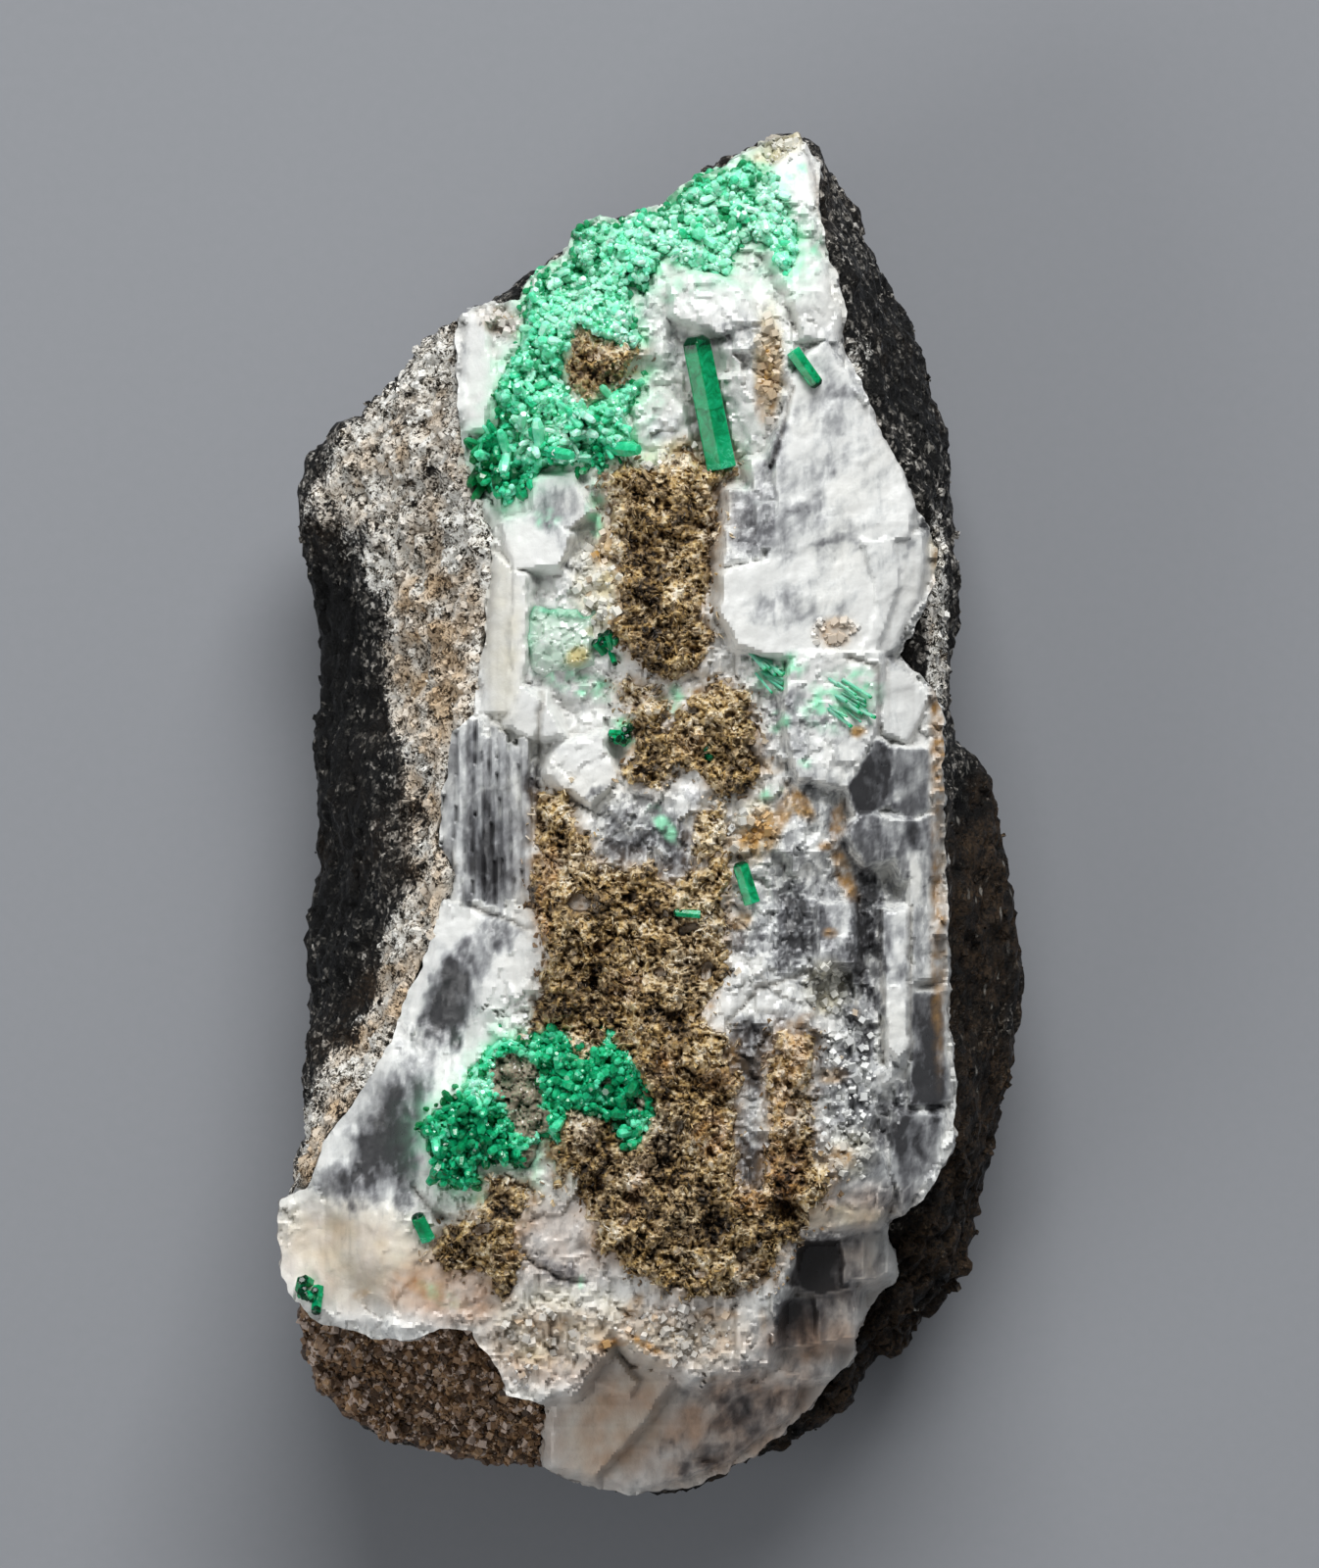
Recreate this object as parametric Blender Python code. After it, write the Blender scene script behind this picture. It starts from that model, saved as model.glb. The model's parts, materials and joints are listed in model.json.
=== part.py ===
"""Emerald in matrix: a broken piece of black shale, lying on its back, whose front is a calcite vein.
Brown weathered crusts, green emerald druses and single emerald prisms sit in the vein.

+Y runs along the specimen to its pointed end, +X across it, and +Z out of the vein, up from the rest.
The origin is on the resting face, under the middle of the specimen. Lists of places are in millimetres.
"""

import math
import random

import bmesh
import bpy
import numpy as np
from mathutils import Matrix, Vector, noise

MM = 0.001
LENGTH, WIDTH = 140.0, 76.8
GAP = 0.35  # between two pieces that grew against each other
SKY = 70.0  # a height clear of the specimen, where the open-ended shapes stop
FLAT = math.radians(4.0)  # faces that turn less than this are one face

# The vein: its edge against the shale and the air, from the pointed end, clockwise.
VEIN_EDGE = (
    (14.6, 70.0), (16.3, 67.0), (16.4, 62.2), (17.0, 58.5), (19.2, 51.5), (18.7, 48.0), (20.0, 46.0),
    (22.0, 40.5), (24.0, 36.5), (26.5, 31.5), (28.6, 27.5), (28.3, 24.0), (24.6, 16.6), (28.3, 12.6),
    (28.4, 6.0), (28.4, -3.0), (28.8, -12.0), (29.6, -20.0), (30.5, -28.0), (29.7, -34.5), (27.0, -38.5),
    (23.0, -41.5), (14.5, -43.0), (12.5, -48.0), (11.3, -55.3), (8.0, -56.2), (3.5, -56.7), (0.0, -54.9),
    (-4.0, -53.2), (-6.0, -55.0), (-8.0, -58.2), (-11.5, -59.2), (-14.7, -58.3), (-15.6, -55.8),
    (-18.5, -52.2), (-21.0, -51.3), (-26.0, -52.6), (-31.0, -52.2), (-34.7, -51.0), (-37.2, -48.5),
    (-38.3, -43.0), (-37.7, -39.3), (-35.0, -37.6), (-33.0, -32.5), (-28.3, -26.5), (-25.2, -19.5),
    (-22.3, -12.5), (-21.5, -8.7), (-20.1, -7.4), (-21.6, -2.0), (-20.2, 8.8), (-17.9, 10.4),
    (-16.9, 20.0), (-16.2, 28.5), (-17.9, 33.0), (-19.2, 37.0), (-19.9, 46.0), (-19.6, 51.5),
    (-13.6, 52.6), (-12.2, 55.2), (-9.0, 57.2), (-8.0, 59.6), (-5.5, 61.0), (-3.6, 60.4), (1.0, 62.6),
    (4.2, 65.0), (7.0, 66.0), (12.0, 69.3),
)
# Heights of the vein's front above the resting face.
VEIN_FRONT = (
    (15, 69, 30), (4, 64, 33), (-9, 57, 34), (-19, 49, 33), (15, 60, 36), (2, 56, 39), (-6, 49, 41),
    (-15, 43, 37), (-19, 37, 35), (-7, 39, 41), (4, 43, 38), (12, 47, 42), (19, 50, 38), (9, 38, 38),
    (17, 41, 41), (24, 35, 38), (10, 30, 38), (19, 28, 42), (28, 26, 35), (15, 20, 43), (24, 17, 38),
    (0, 33, 42), (0, 20, 44), (-9, 31, 39), (-16, 23, 37), (-9, 18, 41), (-17, 11, 38), (-7, 10, 40),
    (4, 9, 43), (16, 9, 42), (27, 10, 36), (-19, 2, 36), (-12, 1, 40), (0, 0, 43), (14, 0, 42),
    (24, 1, 37), (29, -4, 32), (-20, -9, 37), (-9, -12, 43), (8, -12, 42), (14, -9, 40), (24, -14, 37),
    (29, -17, 32), (-22, -20, 36), (-15, -19, 40), (4, -24, 44), (14, -24, 42), (22, -24, 39),
    (30, -27, 32), (-31, -33, 34), (-20, -32, 41), (-9, -30, 42), (8, -37, 43), (18, -35, 41),
    (27, -35, 35), (-37, -43, 31), (-26, -43, 38), (-12, -43, 41), (2, -46, 42), (14, -42, 40),
    (-34, -50, 33), (-20, -51, 38), (-12, -57, 37), (-4, -51, 40), (8, -54, 38), (24, -40, 35),
)
FRONT_REACH = 4.0  # how far a height of the front holds before its neighbours blend in
VEIN_FLOOR, VEIN_FLOOR_RISE = 25.0, 0.03  # height of the vein's back at the middle, and its slope along Y

# The vein's lower layer, which comes out from under the ledge at the blunt end.
LOWER_EDGE = (
    (-10.6, -50.0), (-10.8, -66.4), (-8.6, -67.6), (-3.0, -69.4), (3.0, -68.6), (7.0, -67.2), (12.5, -63.4),
    (16.8, -59.2), (20.0, -55.4), (20.4, -52.6), (22.6, -48.8), (24.3, -47.4), (23.4, -40.0), (8.0, -38.0),
)
LOWER_FLOOR, LOWER_FLOOR_RISE = 31.0, 0.20  # its back slopes down to the blunt end
LOWER_FRONT, LOWER_FRONT_RISE = 46.0, 0.33

# Lumps of shale: each is the convex hull of its corners, and together they make the host rock.
SHALE_LUMPS = {
    "heart": (
        (-30, 30, 24), (-30, -40, 24), (-10, 48, 24), (16, 56, 24), (26, 30, 24), (26, -44, 24), (10, -62, 17),
        (-26, -58, 17), (-28, 26, -6), (-28, -46, -6), (-8, 46, -6), (10, 54, -6), (20, 36, -6), (25, -24, -6),
        (14, -54, -6), (4, -60, -6), (-22, -56, -6),
    ),
    "head": (
        (-37.6, 34.6, 16), (-38.6, 31.0, 14), (-38.4, 25.5, 12), (-36.4, 18.5, 14), (-33.0, 36.8, 19),
        (-28.4, 42.6, 21), (-22.4, 49.4, 25), (-19.0, 52.2, 27), (-13.8, 52.6, 27), (-8.6, 57.6, 25),
        (4.0, 64.2, 24), (12.0, 68.8, 24), (16.4, 69.8, 24), (19.2, 65.4, 17), (22.2, 58.0, 13),
        (16.4, 64.0, 33), (19.6, 51.0, 37), (20.4, 46.0, 38), (26.2, 32.8, 37), (30.8, 31.0, 14),
        (-19.9, 47.5, 33), (-19.2, 37.0, 36), (-16.8, 25.0, 38), (-17.5, 14.0, 38), (-32, 16, 18),
        (-29, 28, -6), (-24, 40, -6), (-10, 50, -6), (10, 58, -6), (20, 44, -6), (22, 16, -6), (-28, 14, -6),
    ),
    "shoulder": (
        (22.0, 57.4, 13), (25.6, 53.9, 12), (27.6, 50.2, 11), (28.7, 45.0, 10), (30.2, 40.0, 10),
        (31.1, 36.4, 11), (30.9, 30.0, 12), (20.2, 48.5, 36), (22.4, 40.8, 37), (26.6, 31.5, 36),
        (28.8, 27.2, 34), (22, 50, -6), (24, 34, -6), (23, 26, -6), (14, 50, 20), (16, 28, 20),
    ),
    "waist": (
        (-36.6, 19.0, 12), (-36.2, 11.0, 11), (-36.8, 1.0, 12), (-36.2, -7.0, 12), (-37.2, -20.0, 13),
        (-17.6, 20.0, 38), (-18.6, 9.0, 38), (-21.6, -4.0, 37), (-22.6, -13.0, 37), (-26.0, -22.0, 36),
        (30.6, 32.0, 13), (30.4, 20.0, 12), (30.0, 8.0, 11), (29.6, -20.0, 12), (28.6, 24.0, 33),
        (28.9, 2.0, 31), (29.4, -18.0, 30), (-27, 20, -6), (-28, -24, -6), (24, 24, -6), (25, -24, -6),
    ),
    "bulge": (
        (29.6, 6.2, 15), (33.4, 5.0, 14), (35.3, 2.6, 13), (35.8, -2.0, 12), (37.3, -8.5, 12),
        (38.5, -13.0, 12), (38.5, -23.0, 12), (37.4, -32.0, 12), (35.4, -36.6, 12), (27.0, 5.0, 22),
        (29.0, -2.0, 25), (31.5, -12.0, 24), (31.6, -26.0, 24), (29.6, -36.8, 25), (31, 0, 3),
        (33.5, -14, 2), (33, -28, 2), (26, -36, -2), (22, 0, -2), (24, -38, 18),
    ),
    "left_foot": (
        (-37.2, -18.0, 13), (-37.4, -28.0, 13), (-38.2, -38.0, 14), (-38.4, -44.0, 15), (-37.4, -51.0, 16),
        (-25.4, -20.0, 36), (-28.6, -27.0, 35), (-33.4, -33.0, 34), (-36.6, -38.8, 31), (-37.0, -48.0, 26),
        (-36.6, -52.0, 24), (-27, -20, -6), (-28, -50, -6), (-10, -20, -6), (-10, -52, -6), (-12, -54, 30),
    ),
    "right_foot": (
        (35.2, -35.6, 13), (33.6, -40.0, 13), (32.4, -44.0, 13), (31.7, -48.4, 13), (30.4, -51.6, 13),
        (28.0, -53.4, 14), (25.4, -55.4, 14), (21.6, -55.9, 14), (29.6, -33.6, 28), (29.4, -39.0, 25),
        (26.6, -46.8, 25), (23.6, -50.4, 24), (20.6, -55.0, 21), (12, -50, 20), (22, -32, -6),
        (24, -46, -2), (18, -52, -2), (10, -34, -6),
    ),
    "blunt_end": (
        (21.4, -57.6, 15), (20.2, -61.0, 14), (17.0, -62.9, 13), (13.0, -65.5, 13), (8.0, -68.2, 12),
        (3.0, -70.0, 12), (-2.0, -70.2, 12), (-12.0, -68.4, 13), (-22.0, -66.6, 14), (-27.4, -65.2, 14),
        (-31.2, -63.2, 14), (-34.8, -60.0, 14), (-36.4, -57.0, 15), (-37.2, -51.4, 17), (-36.4, -50.0, 27),
        (-12.0, -54.0, 30), (20.0, -54.4, 22), (17.0, -60.4, 20), (6.0, -68.0, 18), (-11.5, -67.4, 19),
        (-29.0, -63.4, 20), (-26, -52, -6), (-16, -58, -6), (4, -61, -6), (14, -55, -6), (-18, -36, -6),
        (16, -36, -6),
    ),
}
SHALE_GRAIN, SHALE_TRIANGLES = 2.6, 1750

# Cleavage plates and blocks of calcite: the corners of each one's front face, and how thick it is.
CALCITE_PLATES = (
    # the pointed end and the strip left of the green druse
    (((11.2, 65.6, 34.0), (14.8, 69.0, 31.6), (16.1, 65.6, 33.2), (16.2, 62.6, 35.0), (13.4, 62.8, 36.0)), 8),
    (((-19.6, 46.0, 35.2), (-19.2, 51.2, 33.6), (-17.4, 51.0, 34.6), (-16.6, 44.0, 37.4), (-17.4, 39.6, 37.8),
      (-19.2, 39.6, 36.0)), 6),
    # blocks beside and above the large prism
    (((14.0, 52.6, 41.6), (16.4, 54.6, 40.4), (19.0, 51.4, 39.0), (18.4, 48.4, 39.6), (15.2, 48.8, 42.2)), 7),
    (((12.2, 57.4, 39.6), (15.6, 58.6, 37.6), (17.4, 56.4, 37.6), (17.6, 53.6, 38.8), (13.6, 53.4, 41.2)), 7),
    (((1.6, 54.4, 40.6), (4.0, 55.6, 40.4), (8.6, 53.8, 41.4), (10.6, 50.4, 42.2), (6.6, 49.4, 41.6),
      (2.0, 51.2, 41.0)), 6),
    (((6.6, 44.6, 40.6), (9.6, 45.4, 41.8), (13.2, 43.0, 41.6), (11.6, 37.8, 40.0), (8.4, 36.8, 39.0)), 6),
    (((-2.0, 41.4, 41.0), (0.6, 43.4, 40.8), (3.0, 42.0, 39.8), (3.6, 38.2, 39.6), (0.6, 36.8, 40.8),
      (-1.8, 38.2, 41.2)), 6),
    # the broad smooth plate on the right, its step and its narrow leaves
    (((14.2, 45.0, 41.4), (18.0, 48.4, 40.6), (20.0, 45.6, 40.0), (24.8, 34.6, 39.2), (22.0, 31.0, 41.4),
      (14.0, 32.0, 42.0), (12.8, 37.0, 41.6)), 9),
    (((8.4, 25.8, 41.8), (14.0, 26.8, 43.2), (23.6, 31.4, 42.4), (26.6, 30.6, 39.6), (27.0, 26.0, 38.8),
      (22.8, 18.6, 41.8), (15.0, 16.6, 44.2), (7.8, 18.4, 43.4), (6.6, 22.6, 42.6)), 9),
    (((23.4, 18.4, 40.4), (27.4, 25.8, 37.4), (28.3, 25.6, 36.4), (25.0, 17.4, 38.4)), 8),
    (((8.0, 31.6, 39.6), (11.4, 33.6, 40.4), (13.6, 32.2, 40.4), (12.6, 28.6, 40.6), (8.4, 28.4, 40.0)), 6),
    # the cleavage rhomb at the right edge
    (((24.4, 16.2, 38.6), (28.2, 12.4, 37.4), (25.4, 7.8, 38.6), (22.6, 9.0, 40.4), (23.0, 13.2, 40.4)), 9),
    (((16.0, 16.4, 43.8), (23.4, 16.0, 41.2), (22.6, 9.4, 41.6), (19.0, 3.4, 42.4), (14.6, 4.4, 43.0)), 8),
    # white blocks under the green druse, and the long upright plates at the left contact
    (((-12.6, 34.6, 40.2), (-8.2, 35.0, 41.2), (-6.2, 31.2, 41.4), (-8.6, 29.0, 41.4), (-12.0, 30.2, 40.4)), 6),
    (((-15.8, 30.4, 38.6), (-12.0, 31.2, 40.6), (-8.6, 28.8, 41.8), (-9.8, 25.6, 42.0), (-15.0, 25.6, 40.0)), 7),
    (((-16.2, 27.0, 38.4), (-14.2, 25.2, 40.4), (-13.8, 16.4, 40.8), (-15.0, 11.0, 40.2), (-17.6, 11.0, 38.6)), 8),
    (((-13.2, 13.6, 41.4), (-11.4, 13.0, 41.8), (-9.6, 9.0, 41.6), (-12.8, 8.6, 40.8), (-15.2, 10.8, 40.2)), 6),
    (((-9.6, 7.6, 41.8), (-5.6, 8.6, 42.0), (-3.8, 4.0, 42.4), (-6.4, 1.4, 42.2), (-11.2, 4.6, 41.0)), 6),
    # grey lumps and the upright strips along the right edge
    (((20.6, 5.4, 39.6), (24.0, 6.0, 39.4), (28.0, 2.6, 35.6), (27.0, -0.8, 36.4), (22.2, 0.4, 39.6)), 8),
    (((20.6, -2.4, 39.4), (25.2, -1.2, 37.8), (27.6, -4.2, 35.6), (24.8, -5.6, 37.8), (21.4, -5.2, 39.6)), 8),
    (((23.2, -9.6, 39.4), (25.6, -9.4, 39.0), (26.0, -24.6, 39.2), (23.4, -25.0, 40.0)), 8),
    (((25.8, -4.6, 37.4), (27.6, -4.6, 36.0), (29.0, -17.2, 35.6), (26.2, -17.6, 38.2)), 8),
    (((26.6, -18.4, 37.2), (29.4, -18.7, 34.2), (30.2, -29.4, 33.2), (26.6, -29.8, 36.6)), 8),
    (((24.6, -30.2, 38.4), (29.4, -30.8, 34.8), (29.2, -35.0, 34.8), (25.4, -39.6, 36.8), (24.0, -36.0, 38.6)), 8),
    (((15.6, -35.4, 43.0), (22.6, -31.4, 41.0), (24.4, -38.0, 38.0), (22.6, -41.2, 37.4), (15.4, -42.2, 40.6)), 8),
    # the overhanging ledge at the blunt end
    (((-36.8, -41.0, 34.0), (-30.0, -43.0, 38.8), (-26.6, -47.6, 39.4), (-27.6, -51.8, 38.0), (-34.2, -50.4, 35.2),
      (-37.0, -46.6, 33.6)), 9),
    (((-26.8, -44.0, 39.6), (-20.4, -46.4, 41.0), (-18.8, -51.2, 40.0), (-25.6, -52.4, 38.4), (-28.0, -49.0, 38.8)), 9),
    (((-17.6, -50.0, 41.4), (-8.4, -49.6, 42.4), (-6.2, -54.6, 41.0), (-9.2, -58.2, 39.2), (-14.4, -58.2, 38.6),
      (-15.8, -55.4, 39.8)), 9),
    (((-6.4, -49.2, 42.4), (7.6, -49.6, 42.6), (8.2, -54.6, 40.6), (4.6, -56.4, 39.4), (0.0, -54.6, 40.2),
      (-4.4, -53.0, 40.8)), 9),
    (((8.2, -49.8, 39.8), (11.0, -50.2, 38.8), (11.2, -55.0, 37.6), (8.0, -55.8, 38.8)), 9),
)
# The stepped blocks and broad plates of the lower layer.
LOWER_PLATES = (
    (((13.6, -41.0, 33.6), (23.0, -41.0, 32.0), (23.8, -47.2, 30.6), (17.2, -48.8, 31.0), (13.2, -47.6, 33.0)), 14),
    (((18.4, -41.2, 33.6), (22.4, -41.4, 33.0), (23.0, -46.0, 31.8), (19.6, -46.8, 32.0)), 12),
    (((11.0, -46.8, 33.4), (16.8, -48.8, 32.4), (19.8, -52.8, 29.6), (11.4, -54.6, 30.4)), 12),
    (((16.9, -48.8, 30.4), (21.6, -48.4, 28.8), (19.8, -53.4, 28.0)), 10),
    (((10.6, -54.0, 29.4), (17.4, -53.8, 28.2), (17.4, -57.4, 26.4), (12.6, -58.8, 27.2)), 9),
    (((-10.2, -58.0, 31.6), (-1.0, -56.4, 32.2), (1.6, -58.2, 31.2), (-2.2, -63.0, 29.2), (-5.6, -67.0, 26.0),
      (-10.4, -66.2, 26.0)), 12),
    (((-6.6, -55.2, 34.0), (-4.4, -54.8, 34.2), (-2.0, -58.0, 33.2), (-2.6, -58.9, 32.6), (-5.6, -57.8, 33.2)), 9),
    (((1.8, -55.0, 29.8), (15.0, -57.4, 28.2), (12.0, -61.6, 25.6), (5.4, -66.8, 23.4), (-2.4, -68.8, 22.8),
      (-6.0, -67.4, 23.6), (-2.0, -62.6, 27.2)), 10),
    (((14.6, -57.2, 26.8), (18.4, -56.2, 25.8), (13.8, -61.8, 23.4), (7.0, -66.6, 21.4), (10.6, -62.8, 24.4)), 8),
)
# The bent leaves of the grey calcite fan at the left contact, as (root x, tip x, half-width, height step).
FAN_TOP, FAN_FOOT, FAN_RISE = 9.6, -7.6, 37.2
FAN_LEAVES = (
    (-19.6, -20.4, 0.9, 0.0), (-18.6, -18.6, 0.9, 0.9), (-17.6, -16.8, 0.9, 1.6), (-16.6, -15.2, 0.8, 2.6),
    (-15.2, -13.8, 0.8, 3.2), (-13.4, -12.4, 0.9, 4.0),
)

# Pieces set into the front: the outline of each, the depth of its root, how far it stands proud.
CRUSTS = {
    "emerald_druse_top": dict(
        edge=(
            (10.0, 67.4), (12.4, 65.6), (13.4, 63.0), (15.0, 59.8), (15.2, 57.0), (14.0, 54.2), (11.6, 55.6),
            (11.8, 58.0), (9.0, 58.8), (7.8, 57.0), (8.0, 54.6), (6.0, 54.8), (1.0, 56.8), (-1.0, 53.4),
            (-2.5, 54.0), (-1.0, 48.6), (-2.6, 47.2), (-5.0, 48.0), (-7.4, 49.6), (-8.9, 47.0), (-8.7, 43.4),
            (-7.0, 42.0), (-0.2, 46.0), (-2.3, 41.0), (-2.0, 38.6), (-0.8, 36.6), (-3.6, 36.8), (-5.0, 35.4),
            (-8.0, 36.0), (-11.5, 35.2), (-13.5, 32.5), (-15.4, 31.4), (-17.4, 33.4), (-18.7, 36.4),
            (-18.4, 38.6), (-16.8, 40.2), (-15.5, 46.0), (-13.9, 48.4), (-13.5, 52.8), (-12.0, 55.4),
            (-8.8, 57.4), (-7.8, 59.8), (-5.4, 61.2), (-3.6, 60.6), (1.0, 62.8), (4.0, 65.2), (7.0, 66.2),
        ),
        slot="druse", depth=5.0, proud=1.0, spacing=5.0, growth="crystals", count=25, size=2.4,
    ),
    "emerald_druse_lower": dict(
        edge=(
            (-24.0, -31.4), (-22.4, -28.8), (-20.0, -28.0), (-19.5, -26.0), (-17.4, -23.8), (-16.0, -21.6),
            (-13.2, -22.2), (-10.5, -20.2), (-8.4, -21.6), (-7.4, -24.2), (-6.1, -23.0), (-5.0, -19.8),
            (-3.4, -22.0), (-0.9, -25.0), (1.0, -29.8), (-1.2, -33.6), (-3.2, -34.4), (-5.8, -30.8),
            (-8.4, -30.2), (-9.4, -35.4), (-11.2, -32.4), (-12.4, -36.2), (-15.4, -35.0), (-17.6, -35.6),
            (-17.2, -38.0), (-20.2, -38.0), (-22.4, -36.2),
        ),
        slot="druse", depth=4.5, proud=1.0, spacing=4.4, growth="crystals", count=12, size=1.9,
    ),
    "pale_beryl_crystal": dict(
        edge=(
            (-13.3, 20.6), (-12.4, 21.9), (-6.2, 20.9), (-5.9, 18.2), (-6.2, 15.6), (-9.6, 14.9),
            (-11.4, 14.2), (-12.7, 15.0), (-13.3, 17.6),
        ),
        slot="beryl", depth=4.0, proud=1.6, spacing=2.2, growth="", count=0, size=0,
    ),
    "brown_crust_top": dict(
        edge=(
            (-8.5, 47.0), (-7.3, 49.0), (-5.0, 47.4), (-2.4, 46.6), (-1.6, 45.8), (-6.9, 42.6), (-8.3, 43.7),
        ),
        slot="crust", depth=3.5, proud=0.6, spacing=2.4, growth="grains", count=4, size=1.5,
    ),
    "brown_crust_upper": dict(
        edge=(
            (-5.6, 34.8), (-3.0, 36.0), (0.2, 35.2), (3.0, 38.0), (5.2, 35.6), (8.2, 35.2), (6.6, 33.6),
            (6.6, 29.6), (5.8, 25.6), (5.0, 21.6), (5.6, 17.6), (4.4, 15.2), (1.8, 13.9), (-2.2, 16.0),
            (-4.0, 18.4), (-3.6, 23.6), (-4.6, 29.0),
        ),
        slot="crust", depth=4.0, proud=1.6, spacing=4.4, growth="grains", count=7, size=2.3,
    ),
    "brown_crust_middle": dict(
        edge=(
            (-3.8, 13.6), (-1.6, 14.2), (0.8, 12.6), (1.4, 9.2), (3.4, 12.6), (6.8, 14.2), (9.6, 12.2),
            (10.7, 8.0), (10.7, 4.6), (9.0, 2.4), (5.8, 2.8), (4.6, 5.6), (2.6, 5.0), (0.2, 2.8),
            (-3.0, 4.4), (-2.4, 8.6),
        ),
        slot="crust", depth=3.5, proud=1.2, spacing=4.4, growth="grains", count=5, size=2.0,
    ),
    "brown_crust_lower": dict(
        edge=(
            (-11.6, 2.2), (-9.0, 2.6), (-7.6, -1.4), (-4.8, -5.2), (-1.0, -4.8), (2.2, -6.8), (4.2, -5.4),
            (4.6, 0.2), (7.2, 0.6), (7.8, -4.0), (7.4, -12.4), (6.2, -16.4), (5.4, -21.0), (7.6, -22.2),
            (8.2, -29.0), (11.2, -31.0), (11.4, -24.6), (12.6, -21.2), (16.4, -22.0), (15.6, -28.6),
            (16.4, -34.0), (18.6, -36.4), (15.8, -40.2), (13.4, -43.6), (12.4, -46.6), (7.6, -48.4),
            (1.0, -48.0), (-6.2, -43.0), (-6.6, -38.4), (-8.6, -35.4), (-9.6, -37.4), (-11.0, -33.8),
            (-12.2, -20.0), (-11.0, -14.0), (-12.6, -9.0),
        ),
        slot="crust", depth=4.5, proud=1.4, spacing=6.0, growth="grains", count=15, size=2.7,
    ),
    "brown_crust_left": dict(
        edge=(
            (-22.2, -42.8), (-18.2, -39.6), (-16.8, -36.6), (-12.6, -36.9), (-11.8, -38.8), (-14.0, -41.4),
            (-13.8, -44.4), (-15.0, -48.8), (-17.8, -46.4), (-21.2, -45.8), (-23.2, -44.2),
        ),
        slot="crust", depth=3.5, proud=1.0, spacing=2.8, growth="grains", count=8, size=1.6,
    ),
}
# The druse of sand-sized dolomite at the blunt end's left, under the ledge.
SANDY_EDGE = (
    (-35.9, -49.0), (-12.0, -49.0), (-11.6, -66.6), (-16.8, -66.2), (-22.2, -65.0), (-27.0, -63.6),
    (-30.8, -61.6), (-33.8, -58.8), (-35.6, -55.4),
)
SANDY_FRONT, SANDY_RISE, SANDY_DEPTH = 57.0, 0.54, 5.0

# Single emerald crystals: foot, tip, and radius across the flats.
PRISMS = {
    "emerald_prism_large": ((6.9, 35.6, 39.6), (3.9, 48.8, 41.6), 1.95),
    "emerald_prism_right": ((14.0, 47.4, 41.9), (16.6, 43.8, 41.9), 0.85),
    "emerald_prism_centre": ((9.9, -8.6, 42.2), (8.6, -4.4, 42.4), 0.95),
    "emerald_prism_left": ((-23.0, -42.8, 38.4), (-24.2, -40.2, 39.4), 0.85),
    "emerald_prism_thin": ((4.6, -9.7, 43.8), (1.9, -9.5, 44.0), 0.45),
}
# Knots of small emeralds: centre, how far the crystals reach, how many, and the way that they lean.
KNOTS = {
    "emerald_knot_edge": ((-35.2, -48.2, 33.4), 1.9, 3, (-0.2, -0.2, 0.8)),
    "emerald_knot_middle": ((-3.0, 8.6, 40.2), 1.6, 3, (0.0, 0.2, 1.0)),
    "emerald_knot_centre": ((4.9, 6.7, 41.8), 1.3, 3, (0.4, 0.5, 0.8)),
    "emerald_knot_beryl": ((-4.9, 17.6, 41.0), 1.5, 3, (-0.2, 0.3, 0.9)),
    "emerald_fan_middle": ((12.2, 14.8, 42.4), 1.6, 3, (-0.5, 0.8, 0.3)),
    "emerald_fan_right": ((19.9, 12.2, 42.8), 1.9, 3, (-0.8, 0.3, 0.3)),
}
PRISM_BEVEL, PRISM_TAPER, PRISM_END = 0.35, 0.94, 0.55  # of the radius

COLOURS = {  # colour, roughness
    "shale": ((0.030, 0.029, 0.031), 0.62),
    "calcite": ((0.74, 0.74, 0.74), 0.34),
    "crust": ((0.20, 0.145, 0.085), 0.80),
    "sand": ((0.17, 0.125, 0.085), 0.80),
    "druse": ((0.030, 0.50, 0.22), 0.30),
    "emerald": ((0.006, 0.26, 0.09), 0.14),
    "beryl": ((0.36, 0.62, 0.46), 0.20),
}


# ---- shapes -----------------------------------------------------------------------------------


def solid(name, bm):
    """An object from a bmesh whose places are in millimetres. Its faces are turned outwards."""
    bmesh.ops.recalc_face_normals(bm, faces=bm.faces)
    bmesh.ops.scale(bm, vec=Vector((MM, MM, MM)), verts=bm.verts)
    mesh = bpy.data.meshes.new(name)
    bm.to_mesh(mesh)
    bm.free()
    obj = bpy.data.objects.new(name, mesh)
    bpy.context.scene.collection.objects.link(obj)
    return obj


def hull(corners, name="hull", grow=0.0):
    """The convex hull of the corners, swollen by this much."""
    bm = bmesh.new()
    for corner in corners:
        bm.verts.new(corner)
    made = bmesh.ops.convex_hull(bm, input=bm.verts)
    inner = [v for v in made["geom_interior"] if isinstance(v, bmesh.types.BMVert)]
    bmesh.ops.delete(bm, geom=inner, context="VERTS")
    if grow:
        bmesh.ops.recalc_face_normals(bm, faces=bm.faces)
        bm.normal_update()
        moves = [(v, v.normal * grow * min(2.0, v.calc_shell_factor())) for v in bm.verts]
        for v, move in moves:
            v.co += move
    return solid(name, bm)


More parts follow.
